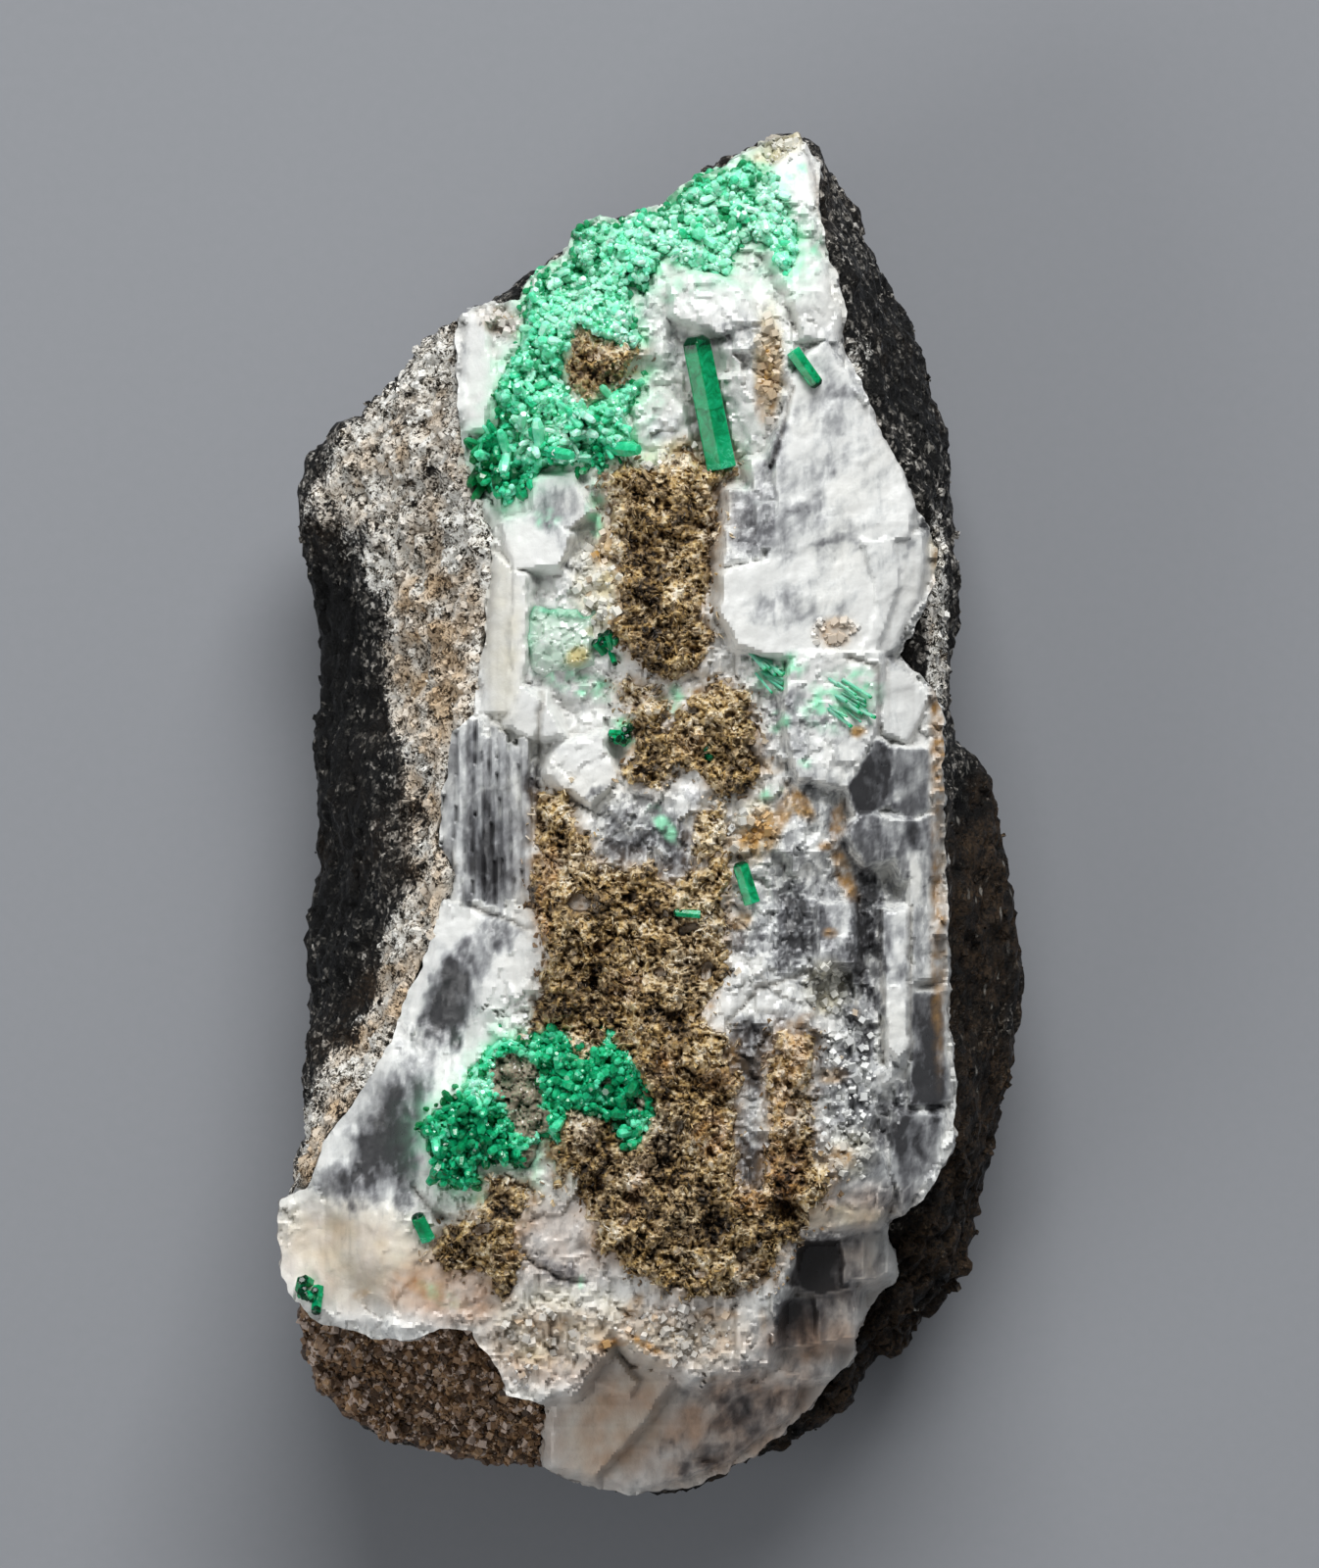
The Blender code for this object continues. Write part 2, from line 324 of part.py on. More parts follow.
def grown(edge, by):
    """The outline moved outwards all round by the same distance."""
    area = sum(a[0] * b[1] - b[0] * a[1] for a, b in zip(edge, edge[1:] + edge[:1]))
    outwards = -math.copysign(1.0, area)
    moved = []
    for before, here, after in zip(edge[-1:] + edge[:-1], edge, edge[1:] + edge[:1]):
        sides = []
        for a, b in ((before, here), (here, after)):
            run = Vector((b[0] - a[0], b[1] - a[1])).normalized()
            sides.append(Vector((-run.y, run.x)) * outwards)
        middle = (sides[0] + sides[1]).normalized()
        reach = by / max(0.5, middle.dot(sides[0]))
        moved.append((here[0] + middle.x * reach, here[1] + middle.y * reach))
    return tuple(moved)


def column(edge, floor, grow=0.0):
    """An upright column of this outline. floor(x, y) is the height of its foot, a plane."""
    bm = bmesh.new()
    foot = bm.faces.new([bm.verts.new((x, y, floor(x, y) - grow)) for x, y in grown(edge, grow)])
    bmesh.ops.triangulate(bm, faces=[foot])
    made = bmesh.ops.extrude_face_region(bm, geom=bm.faces[:])
    for v in made["geom"]:
        if isinstance(v, bmesh.types.BMVert):
            v.co.z = SKY
    return solid("column", bm)


def ground(edge, height, floor, spacing):
    """A block whose upper side follows height(x, y), on a grid that covers the outline."""
    xs, ys = [p[0] for p in edge], [p[1] for p in edge]
    across = math.ceil((max(xs) - min(xs)) / spacing) + 2
    along = math.ceil((max(ys) - min(ys)) / spacing) + 2
    middle = Vector(((max(xs) + min(xs)) / 2, (max(ys) + min(ys)) / 2, 0.0))
    bm = bmesh.new()
    bmesh.ops.create_grid(bm, x_segments=across, y_segments=along, size=0.5)
    for v in bm.verts:
        v.co = Vector((v.co.x * across * spacing, v.co.y * along * spacing, 0.0)) + middle
    made = bmesh.ops.extrude_face_region(bm, geom=bm.faces[:])
    upper = {v for v in made["geom"] if isinstance(v, bmesh.types.BMVert)}
    for v in bm.verts:
        v.co.z = height(v.co.x, v.co.y) if v in upper else floor(v.co.x, v.co.y)
    bmesh.ops.triangulate(bm, faces=bm.faces)
    return solid("ground", bm)


def bake(obj):
    """Makes the modifiers of an object part of its mesh."""
    bpy.context.view_layer.update()
    seen = obj.evaluated_get(bpy.context.evaluated_depsgraph_get())
    mesh = bpy.data.meshes.new_from_object(seen)
    obj.modifiers.clear()
    obj.data = mesh
    return obj


def combine(target, others, operation):
    """Joins, cuts or trims target with all the others at once, and removes them."""
    tools = bpy.data.collections.new("tools")
    for other in others:
        tools.objects.link(other)
    boolean = target.modifiers.new(operation.lower(), "BOOLEAN")
    boolean.operation, boolean.solver = operation, "EXACT"
    boolean.operand_type, boolean.collection = "COLLECTION", tools
    bake(target)
    for other in others:
        bpy.data.objects.remove(other)
    bpy.data.collections.remove(tools)
    return target


def one_body(obj):
    """Keeps the largest connected body of a mesh and drops the crumbs that cutting left."""
    bm = bmesh.new()
    bm.from_mesh(obj.data)
    waiting, bodies = set(bm.faces), []
    while waiting:
        body, fresh = set(), [waiting.pop()]
        while fresh:
            face = fresh.pop()
            body.add(face)
            near = {f for e in face.edges if e.is_manifold for f in e.link_faces} & waiting
            waiting -= near
            fresh.extend(near)
        bodies.append(body)
    bodies.sort(key=lambda body: -sum(f.calc_area() for f in body))
    bmesh.ops.delete(bm, geom=[f for body in bodies[1:] for f in body], context="FACES")
    bmesh.ops.delete(bm, geom=[v for v in bm.verts if not v.link_faces], context="VERTS")
    bmesh.ops.dissolve_limit(bm, angle_limit=FLAT, verts=bm.verts, edges=bm.edges)
    bmesh.ops.triangulate(bm, faces=bm.faces)
    bm.to_mesh(obj.data)
    bm.free()
    return obj


# ---- surfaces ---------------------------------------------------------------------------------


def front(x, y):
    """Height of the vein's front, blended from the heights around."""
    total = weight = 0.0
    for sx, sy, sz in VEIN_FRONT:
        near = 1.0 / ((x - sx) ** 2 + (y - sy) ** 2 + FRONT_REACH**2) ** 2
        total += near * sz
        weight += near
    return total / weight


def rough(height, swing, wave, seed):
    return lambda x, y: height(x, y) + swing * noise.noise(Vector((x / wave, y / wave, seed + 0.5)))


def vein_floor(x, y):
    return VEIN_FLOOR + VEIN_FLOOR_RISE * y


def lower_floor(x, y):
    return LOWER_FLOOR + LOWER_FLOOR_RISE * y


def lower_front(x, y):
    return LOWER_FRONT + LOWER_FRONT_RISE * y


def sandy_front(x, y):
    return SANDY_FRONT + SANDY_RISE * y


def sandy_floor(x, y):
    return sandy_front(x, y) - SANDY_DEPTH


def root_plane(edge, depth):
    """The plane under an outline, this far below the front on the whole."""
    places = np.array([(1.0, x, y) for x, y in edge])
    heights = np.array([front(x, y) for x, y in edge])
    level, along_x, along_y = np.linalg.lstsq(places, heights, rcond=None)[0]
    return lambda x, y: float(level + along_x * x + along_y * y - depth)


# ---- small forms ------------------------------------------------------------------------------


def plate(corners, thick):
    return hull([*corners, *((x, y, z - thick) for x, y, z in corners)])


def fan_leaf(root, tip, half_width, step):
    """A tall narrow leaf of the fan, rounded along its crest and bent in the middle."""
    corners = []
    for share in (0.0, 0.3, 0.65, 1.0):
        x = root + (tip - root) * share**1.5
        y = FAN_TOP + (FAN_FOOT - FAN_TOP) * share
        z = FAN_RISE + step - 1.8 * share
        corners += [(x - half_width, y, z - 1.0), (x + 0.2 * half_width, y, z), (x + half_width, y, z - 0.5)]
        corners += [(x - half_width, y, z - 7.0), (x + half_width, y, z - 7.0)]
    return hull(corners)


def crystal(foot, tip, radius, spin=0.0, bevelled=True):
    """The corners of a six-sided prism, as beryl grows, with a flat end that may be bevelled."""
    foot, run = Vector(foot), Vector(tip) - Vector(foot)
    turn = run.to_track_quat("Z", "Y").to_matrix() @ Matrix.Rotation(spin, 3, "Z")
    rings = [(0.0, 1.0), (1.0, PRISM_TAPER)]
    if bevelled:
        rings = [(0.0, 1.0), (1.0 - PRISM_BEVEL * radius / run.length, PRISM_TAPER), (1.0, PRISM_END)]
    corners = []
    for share, size in rings:
        for side in range(6):
            angle = math.tau * side / 6
            ring = Vector((math.cos(angle), math.sin(angle), 0.0)) * radius * size
            corners.append(foot + run * share + turn @ ring)
    return corners


def grain(centre, size, dice):
    """The corners of a lump."""
    corners = []
    for _ in range(8):
        way = Vector((dice.gauss(0, 1), dice.gauss(0, 1), dice.gauss(0, 0.8))).normalized()
        corners.append(Vector(centre) + way * size * dice.uniform(0.8, 1.1))
    return corners


def inside(edge, x, y):
    found = False
    for (ax, ay), (bx, by) in zip(edge, edge[1:] + edge[:1]):
        if (ay > y) != (by > y) and x < (bx - ax) * (y - ay) / (by - ay) + ax:
            found = not found
    return found


def scattered(edge, count, apart, dice):
    """Places inside the outline, none closer than apart to another while there is room."""
    xs, ys = [p[0] for p in edge], [p[1] for p in edge]
    places = []
    for _ in range(count * 60):
        x, y = dice.uniform(min(xs), max(xs)), dice.uniform(min(ys), max(ys))
        if inside(edge, x, y) and all(math.hypot(x - a, y - b) > apart for a, b in places):
            places.append((x, y))
        if len(places) == count:
            break
    return places


def growth_on(edge, height, kind, count, size, dice):
    """The crystals or grains that cover a crust."""
    found = []
    for x, y in scattered(edge, count, size * 0.85, dice):
        here = Vector((x, y, height(x, y)))
        scale = size * dice.uniform(0.7, 1.2)
        if kind == "crystals":
            lean = Vector((dice.gauss(0, 0.5), dice.gauss(0, 0.5), 1.0)).normalized() * scale
            foot, tip = here - lean * 0.6, here + lean * 0.9
            found.append(hull(crystal(foot, tip, scale * 0.62, dice.uniform(0, 1), bevelled=False)))
        else:
            found.append(hull(grain(here - Vector((0, 0, scale * 0.3)), scale, dice)))
    return found


# ---- the pieces -------------------------------------------------------------------------------


def crust(name, edge, height, floor, spacing, growths, cutters):
    """A crust or druse that fills its hollow, with grains or crystals grown over it."""
    body = ground(edge, height, lambda x, y: floor(x, y) - 3.0, spacing)
    if growths:
        combine(body, growths, "UNION")
    combine(body, [column(edge, floor)], "INTERSECT")
    body.name = name
    if cutters:
        combine(body, cutters, "DIFFERENCE")
    return one_body(body)


def knot_corners(name):
    """The corners of each crystal of a knot, the heart first."""
    centre, reach, count, way = KNOTS[name]
    dice = random.Random(name)
    stems = [grain(centre, reach * 0.7, dice)[:6]]
    for _ in range(count):
        lean = Vector(way) + Vector((dice.gauss(0, 0.4), dice.gauss(0, 0.4), dice.gauss(0, 0.3)))
        lean.normalize()
        aside = Vector((dice.uniform(-1, 1), dice.uniform(-1, 1), 0.0)) * reach * 0.45
        foot = Vector(centre) + aside - lean * reach * 0.6
        tip = foot + lean * reach * dice.uniform(1.1, 1.7)
        stems.append(crystal(foot, tip, reach * 0.32, bevelled=False))
    return stems


def knot(name):
    """Small emeralds grown through each other."""
    heart, *stems = knot_corners(name)
    return one_body(combine(hull(heart, name), [hull(stem) for stem in stems], "UNION"))


def emerald_beds():
    """The hollows that single crystals and knots sit in, and where each one is."""
    beds = []
    for foot, tip, radius in PRISMS.values():
        beds.append(crystal(foot, tip, radius))
    for name in KNOTS:
        beds.append([corner for stem in knot_corners(name) for corner in stem])
    return beds


def near(corners, edge):
    """True where the corners reach the outline's box."""
    xs, ys = [p[0] for p in edge], [p[1] for p in edge]
    lows = min(c[0] for c in corners) < max(xs) + 1 and min(c[1] for c in corners) < max(ys) + 1
    highs = max(c[0] for c in corners) > min(xs) - 1 and max(c[1] for c in corners) > min(ys) - 1
    return lows and highs


def shale():
    """The host rock: lumps run together, weathered, and flat where it rests."""
    bm = bmesh.new()
    for corners in SHALE_LUMPS.values():
        lump = hull(corners)
        bm.from_mesh(lump.data)
        bpy.data.objects.remove(lump)
    bmesh.ops.scale(bm, vec=Vector((1 / MM, 1 / MM, 1 / MM)), verts=bm.verts)
    rock = solid("shale_matrix", bm)
    together = rock.modifiers.new("together", "REMESH")
    together.mode, together.voxel_size = "VOXEL", SHALE_GRAIN * MM
    bake(rock)
    bm = bmesh.new()
    bm.from_mesh(rock.data)
    bm.normal_update()
    for v in bm.verts:
        place = v.co / MM
        v.co += v.normal * MM * (1.1 * noise.noise(place / 11.0) + 0.7 * noise.noise(place / 4.5))
    xs, ys = [v.co.x for v in bm.verts], [v.co.y for v in bm.verts]
    wide, long = (max(xs) - min(xs)) / MM, (max(ys) - min(ys)) / MM
    middle = Vector(((max(xs) + min(xs)) / 2, (max(ys) + min(ys)) / 2, 0.0))
    for v in bm.verts:
        v.co = (v.co - middle) * Vector((WIDTH / wide, LENGTH / long, 1.0))
    bm.to_mesh(rock.data)
    bm.free()
    fewer = rock.modifiers.new("facets", "DECIMATE")
    fewer.ratio = SHALE_TRIANGLES / (2 * len(rock.data.polygons))
    bake(rock)
    bm = bmesh.new()
    bm.from_mesh(rock.data)
    everything = bm.verts[:] + bm.edges[:] + bm.faces[:]
    made = bmesh.ops.bisect_plane(
        bm, geom=everything, dist=1e-7, plane_co=(0, 0, 0), plane_no=(0, 0, -1), clear_outer=True
    )
    rim = [e for e in made["geom_cut"] if isinstance(e, bmesh.types.BMEdge)]
    bmesh.ops.holes_fill(bm, edges=rim)
    bmesh.ops.triangulate(bm, faces=bm.faces)
    bmesh.ops.recalc_face_normals(bm, faces=bm.faces)
    bm.to_mesh(rock.data)
    bm.free()
    beds = [column(VEIN_EDGE, vein_floor, GAP), column(LOWER_EDGE, lower_floor, GAP)]
    beds.append(column(SANDY_EDGE, sandy_floor, GAP))
    return one_body(combine(rock, beds, "DIFFERENCE"))


def calcite_vein():
    """The vein: a rough body with cleaved plates standing on it, and its lower layer."""
    body = ground(VEIN_EDGE, rough(front, 0.8, 6.0, 3), lambda x, y: vein_floor(x, y) - 3.0, 7.5)
    plates = [plate(*p) for p in CALCITE_PLATES] + [fan_leaf(*leaf) for leaf in FAN_LEAVES]
    combine(body, plates, "UNION")
    combine(body, [column(VEIN_EDGE, vein_floor)], "INTERSECT")
    lower = ground(LOWER_EDGE, rough(lower_front, 0.6, 5.0, 4), lambda x, y: lower_floor(x, y) - 3.0, 6.5)
    combine(lower, [plate(*p) for p in LOWER_PLATES], "UNION")
    combine(lower, [column(LOWER_EDGE, lower_floor)], "INTERSECT")
    combine(body, [lower], "UNION")
    body.name = "calcite_vein"
    hollows = [column(spec["edge"], root_plane(spec["edge"], spec["depth"]), GAP) for spec in CRUSTS.values()]
    hollows += [hull(corners, grow=GAP) for corners in emerald_beds()]
    return one_body(combine(body, hollows, "DIFFERENCE"))


def vein_crust(name):
    """One of the crusts and druses that are set into the vein's front."""
    spec = CRUSTS[name]
    edge, floor = spec["edge"], root_plane(spec["edge"], spec["depth"])
    proud = spec["proud"]
    height = rough(lambda x, y: front(x, y) + proud, 0.7, 3.5, proud)
    growths = []
    if spec["growth"]:
        dice = random.Random(name)
        growths = growth_on(edge, height, spec["growth"], spec["count"], spec["size"], dice)
    cutters = [hull(corners, grow=GAP) for corners in emerald_beds() if near(corners, edge)]
    for other, its in CRUSTS.items():
        if other == name:
            break
        if near([(x, y) for x, y in its["edge"]], edge):
            cutters.append(column(its["edge"], root_plane(its["edge"], its["depth"]), GAP))
    return crust(name, edge, height, floor, spec["spacing"], growths, cutters)


def sandy_crust():
    """The brown sandy crust under the ledge."""
    height = rough(sandy_front, 1.0, 4.0, 9)
    growths = growth_on(SANDY_EDGE, height, "grains", 14, 2.0, random.Random(11))
    cutters = [column(VEIN_EDGE, vein_floor, GAP), column(LOWER_EDGE, lower_floor, GAP)]
    cutters += [hull(corners, grow=GAP) for corners in emerald_beds() if near(corners, SANDY_EDGE)]
    return crust("sandy_crust", SANDY_EDGE, height, sandy_floor, 4.0, growths, cutters)


def painted(obj, slot):
    material = bpy.data.materials.get(slot)
    if material is None:
        colour, roughness = COLOURS[slot]
        material = bpy.data.materials.new(slot)
        material.use_nodes = True
        surface = material.node_tree.nodes["Principled BSDF"]
        surface.inputs["Base Color"].default_value = (*colour, 1.0)
        surface.inputs["Roughness"].default_value = roughness
    obj.data.materials.clear()
    obj.data.materials.append(material)


def build():
    for obj in list(bpy.data.objects):
        bpy.data.objects.remove(obj)
    painted(shale(), "shale")
    painted(calcite_vein(), "calcite")
    painted(sandy_crust(), "sand")
    for name, spec in CRUSTS.items():
        painted(vein_crust(name), spec["slot"])
    for name, (foot, tip, radius) in PRISMS.items():
        painted(hull(crystal(foot, tip, radius), name), "emerald")
    for name in KNOTS:
        painted(knot(name), "emerald")
    total = 0
    for obj in bpy.data.objects:
        count = sum(len(face.vertices) - 2 for face in obj.data.polygons)
        total += count
        print(f"{obj.name}: {count} triangles")
    print(f"in all: {total} triangles")


build()
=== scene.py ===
import itertools
import json
import math
import random

import bpy
import numpy as np
from mathutils import Euler, Matrix, Quaternion, Vector

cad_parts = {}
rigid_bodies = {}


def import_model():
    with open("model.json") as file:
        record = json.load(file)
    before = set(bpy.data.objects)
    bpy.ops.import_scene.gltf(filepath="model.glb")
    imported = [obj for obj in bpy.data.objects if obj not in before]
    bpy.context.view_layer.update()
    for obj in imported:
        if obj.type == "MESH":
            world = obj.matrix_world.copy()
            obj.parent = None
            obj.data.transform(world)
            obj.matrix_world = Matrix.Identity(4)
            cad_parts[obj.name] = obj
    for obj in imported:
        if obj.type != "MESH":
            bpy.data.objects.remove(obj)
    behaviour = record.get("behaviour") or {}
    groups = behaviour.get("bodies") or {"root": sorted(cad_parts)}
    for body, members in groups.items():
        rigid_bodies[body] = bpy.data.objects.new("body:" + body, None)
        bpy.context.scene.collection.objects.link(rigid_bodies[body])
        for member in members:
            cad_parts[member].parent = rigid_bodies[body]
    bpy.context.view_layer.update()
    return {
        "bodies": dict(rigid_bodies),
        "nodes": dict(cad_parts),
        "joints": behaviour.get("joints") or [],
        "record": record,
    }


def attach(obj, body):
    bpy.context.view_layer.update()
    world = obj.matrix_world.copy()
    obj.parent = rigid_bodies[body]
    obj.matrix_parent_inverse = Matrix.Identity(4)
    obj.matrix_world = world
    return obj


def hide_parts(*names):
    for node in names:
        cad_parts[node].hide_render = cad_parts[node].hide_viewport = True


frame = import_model()
for loaded in bpy.data.objects:
    loaded.select_set(False)

# ---- The table and the light -------------------------------------------------------------------
# The specimen lies on its back on a sheet of pale grey card. A large soft lamp stands beyond its
# pointed end, a weaker one on the left, and pale walls all round fill the shadows.

MM = 0.001
FLOOR_SIZE = 3.0
CARD_GREY = "8B8D92"


def linear(code):
    """An sRGB hex colour as linear red, green, blue and alpha."""
    parts = [int(code[i : i + 2], 16) / 255 for i in (0, 2, 4)]
    return [c / 12.92 if c <= 0.04045 else ((c + 0.055) / 1.055) ** 2.4 for c in parts] + [1.0]


def put(tree, kind, inputs=(), links=(), **settings):
    """Adds a node, gives its sockets their values and links, and sets its own settings."""
    made = tree.nodes.new("ShaderNode" + kind)
    for name, value in settings.items():
        setattr(made, name, value)
    for name, value in dict(inputs).items():
        made.inputs[name].default_value = value
    for name, socket in dict(links).items():
        tree.links.new(socket, made.inputs[name])
    return made


def new_material(name):
    made = bpy.data.materials.new(name)
    made.use_nodes = True
    made.node_tree.nodes.clear()
    return made, made.node_tree


card, tree = new_material("matt grey card")
# Uncoated card: even, with hardly any gloss.
place = put(tree, "TexCoord")
fibre = put(tree, "TexNoise", {"Scale": 900.0, "Detail": 3.0}, {"Vector": place.outputs["Object"]})
tone = put(tree, "MixRGB", {"Color1": linear(CARD_GREY), "Color2": linear("878A8E")}, {"Fac": fibre.outputs["Fac"]})
surface = put(tree, "BsdfPrincipled", {"Roughness": 0.85, "Specular IOR Level": 0.3}, {"Base Color": tone.outputs[0]})
put(tree, "OutputMaterial", links={"Surface": surface.outputs[0]})

bpy.ops.mesh.primitive_plane_add(size=FLOOR_SIZE, location=(0, 0, -0.0002))
floor = bpy.context.object
floor.name = "card"
floor.data.materials.append(card)

LAMPS = {
    # name: (place, aim, width, height, watts)
    "lamp_far": ((0.12, 0.95, 0.80), (0.0, 0.0, 0.04), 0.9, 0.6, 20.5),
    "lamp_left": ((-0.75, -0.45, 0.60), (0.0, -0.03, 0.04), 0.6, 0.6, 4.0),
}
for name, (spot, aim, wide, high, watts) in LAMPS.items():
    lamp = bpy.data.lights.new(name, "AREA")
    lamp.shape, lamp.size, lamp.size_y, lamp.energy = "RECTANGLE", wide, high, watts
    stand = bpy.data.objects.new(name, lamp)
    stand.location = spot
    stand.rotation_euler = (Vector(aim) - Vector(spot)).to_track_quat("-Z", "Y").to_euler()
    bpy.context.scene.collection.objects.link(stand)
room = bpy.data.worlds.new("pale room")
room.use_nodes = True
room.node_tree.nodes["Background"].inputs["Color"].default_value = linear("E4E7EC")
room.node_tree.nodes["Background"].inputs["Strength"].default_value = 0.22
bpy.context.scene.world = room
bpy.context.scene.view_settings.view_transform = "Standard"

# The camera looks straight down, with the pointed end up, through a long lens.
LENS, SENSOR = 250.0, 36.0
FRAME_TALL, FRAME_MIDDLE, FOCUS = 160.0 * MM, (0.5 * MM, 3.5 * MM), 34.0 * MM
eye = bpy.data.cameras.new("camera")
eye.lens, eye.sensor_width, eye.sensor_fit = LENS, SENSOR, "AUTO"
eye.clip_end = 10.0
camera = bpy.data.objects.new("camera", eye)
camera.location = (*FRAME_MIDDLE, FOCUS + FRAME_TALL * LENS / SENSOR)
bpy.context.scene.collection.objects.link(camera)
bpy.context.scene.camera = camera

# ---- The calcite vein --------------------------------------------------------------------------
# White to smoky grey calcite that filled a crack in the shale. It broke along its cleavage into
# flat leaves and blocks, and its lower layer comes out from under the ledge at the blunt end.

GRID = 0.28  # mm between the points of its face

VEIN_EDGE = (
    (14.6, 70.0), (16.3, 67.0), (16.4, 62.2), (17.0, 58.5), (19.2, 51.5), (18.7, 48.0), (20.0, 46.0),
    (22.0, 40.5), (24.0, 36.5), (26.5, 31.5), (28.6, 27.5), (28.3, 24.0), (24.6, 16.6), (28.3, 12.6),
    (29.2, 10.0), (29.2, 4.0), (29.3, -3.0), (29.6, -12.0), (29.6, -20.0), (30.5, -28.0), (29.7, -34.5), (27.0, -38.5),
    (23.0, -41.5), (14.5, -43.0), (12.5, -48.0), (11.3, -55.3), (8.0, -56.2), (3.5, -56.7), (0.0, -54.9),
    (-4.0, -53.2), (-6.0, -55.0), (-8.0, -58.2), (-11.5, -59.2), (-14.7, -58.3), (-15.6, -55.8),
    (-18.5, -52.2), (-21.0, -51.3), (-26.0, -52.6), (-31.0, -52.2), (-34.7, -51.0), (-37.2, -48.5),
    (-38.3, -43.0), (-37.7, -39.3), (-35.0, -37.6), (-33.0, -32.5), (-28.3, -26.5), (-25.2, -19.5),
    (-22.3, -12.5), (-21.5, -8.7), (-20.1, -7.4), (-21.6, -2.0), (-20.2, 8.8), (-17.9, 10.4),
    (-16.9, 20.0), (-16.2, 28.5), (-17.9, 33.0), (-19.2, 37.0), (-19.9, 46.0), (-19.6, 51.5),
    (-13.6, 52.6), (-12.2, 55.2), (-9.0, 57.2), (-8.0, 59.6), (-5.5, 61.0), (-3.6, 60.4), (1.0, 62.6),
    (4.2, 65.0), (7.0, 66.0), (12.0, 69.3),
)


def hashed(cells, seed):
    """A number from 0 to 2**32 for each row of whole numbers, always the same for the same row."""
    found = np.full(len(cells), seed * 2654435761 % 2**32, np.uint64)
    for column, prime in zip(cells.T, (374761393, 668265263, 2246822519)):
        found = (found ^ (column.astype(np.int64) * prime).astype(np.uint64)) & 0xFFFFFFFF
        found = (found * 1274126177) & 0xFFFFFFFF
        found = found ^ (found >> 15)
    return found


def shares(keys, count):
    """This many numbers from 0 to 1 for each key."""
    found = []
    for turn in range(count):
        keys = (keys * 2246822519 + 3266489917 * (turn + 1)) & 0xFFFFFFFF
        keys = keys ^ (keys >> 13)
        found.append((keys & 0xFFFFFF) / 0x1000000)
    return np.stack(found, 1)


def mottle(points, size, seed=1, octaves=1, roughness=0.5):
    """Smooth noise about 0, mostly within -1 to 1, with lumps of this size in mm and finer ones over them."""
    total, weight = np.zeros(len(points)), 1.0
    for octave in range(octaves):
        scaled = points / (size / 2**octave) + 31.7 * (seed + octave)
        low = np.floor(scaled)
        part = scaled - low
        ease = part * part * part * (part * (part * 6 - 15) + 10)
        for corner in itertools.product((0, 1), repeat=points.shape[1]):
            aside = part - corner
            keys = hashed(low + corner, seed + 7 * octave)
            slopes = shares(keys, points.shape[1]) * 2 - 1
            blend = np.prod(np.where(corner, ease, 1 - ease), 1)
            total += weight * 1.6 * blend * (slopes * aside).sum(1)
        weight *= roughness
    return total


def grains(points, size, seed=1, jitter=0.9):
    """Cells of about this size in mm: distance to the cell's middle, to its border, offset, and its key."""
    scaled = points / size
    low = np.floor(scaled)
    nearest, second = np.full(len(points), 9.0), np.full(len(points), 9.0)
    offset, keys = np.zeros_like(scaled), np.zeros(len(points), np.uint64)
    for corner in itertools.product((-1, 0, 1), repeat=points.shape[1]):
        cell = low + corner
        its = hashed(cell, seed)
        aside = scaled - cell - 0.5 - jitter * (shares(its, points.shape[1]) - 0.5)
        away = np.sqrt((aside * aside).sum(1))
        closer = away < nearest
        second = np.where(closer, nearest, np.minimum(second, away))
        nearest = np.where(closer, away, nearest)
        offset[closer], keys[closer] = aside[closer], its[closer]
    return nearest * size, (second - nearest) * size, offset * size, keys


def depth_in(points, edge):
    """How far each point is inside an outline, in mm. It is negative outside."""
    x, y = points[:, 0], points[:, 1]
    away, within = np.full(len(points), 1e9), np.zeros(len(points), bool)
    for (ax, ay), (bx, by) in zip(edge, edge[1:] + edge[:1]):
        run_x, run_y = bx - ax, by - ay
        share = np.clip(((x - ax) * run_x + (y - ay) * run_y) / (run_x**2 + run_y**2), 0, 1)
        away = np.minimum(away, np.hypot(x - ax - share * run_x, y - ay - share * run_y))
        if ay != by:
            crossing = ((ay > y) != (by > y)) & (x < run_x * (y - ay) / run_y + ax)
            within ^= crossing
    return np.where(within, away, -away)


def ease(value, low, high):
    """0 up to low and 1 from high on, smoothly between."""
    share = np.clip((value - low) / (high - low), 0, 1)
    return share * share * (3 - 2 * share)


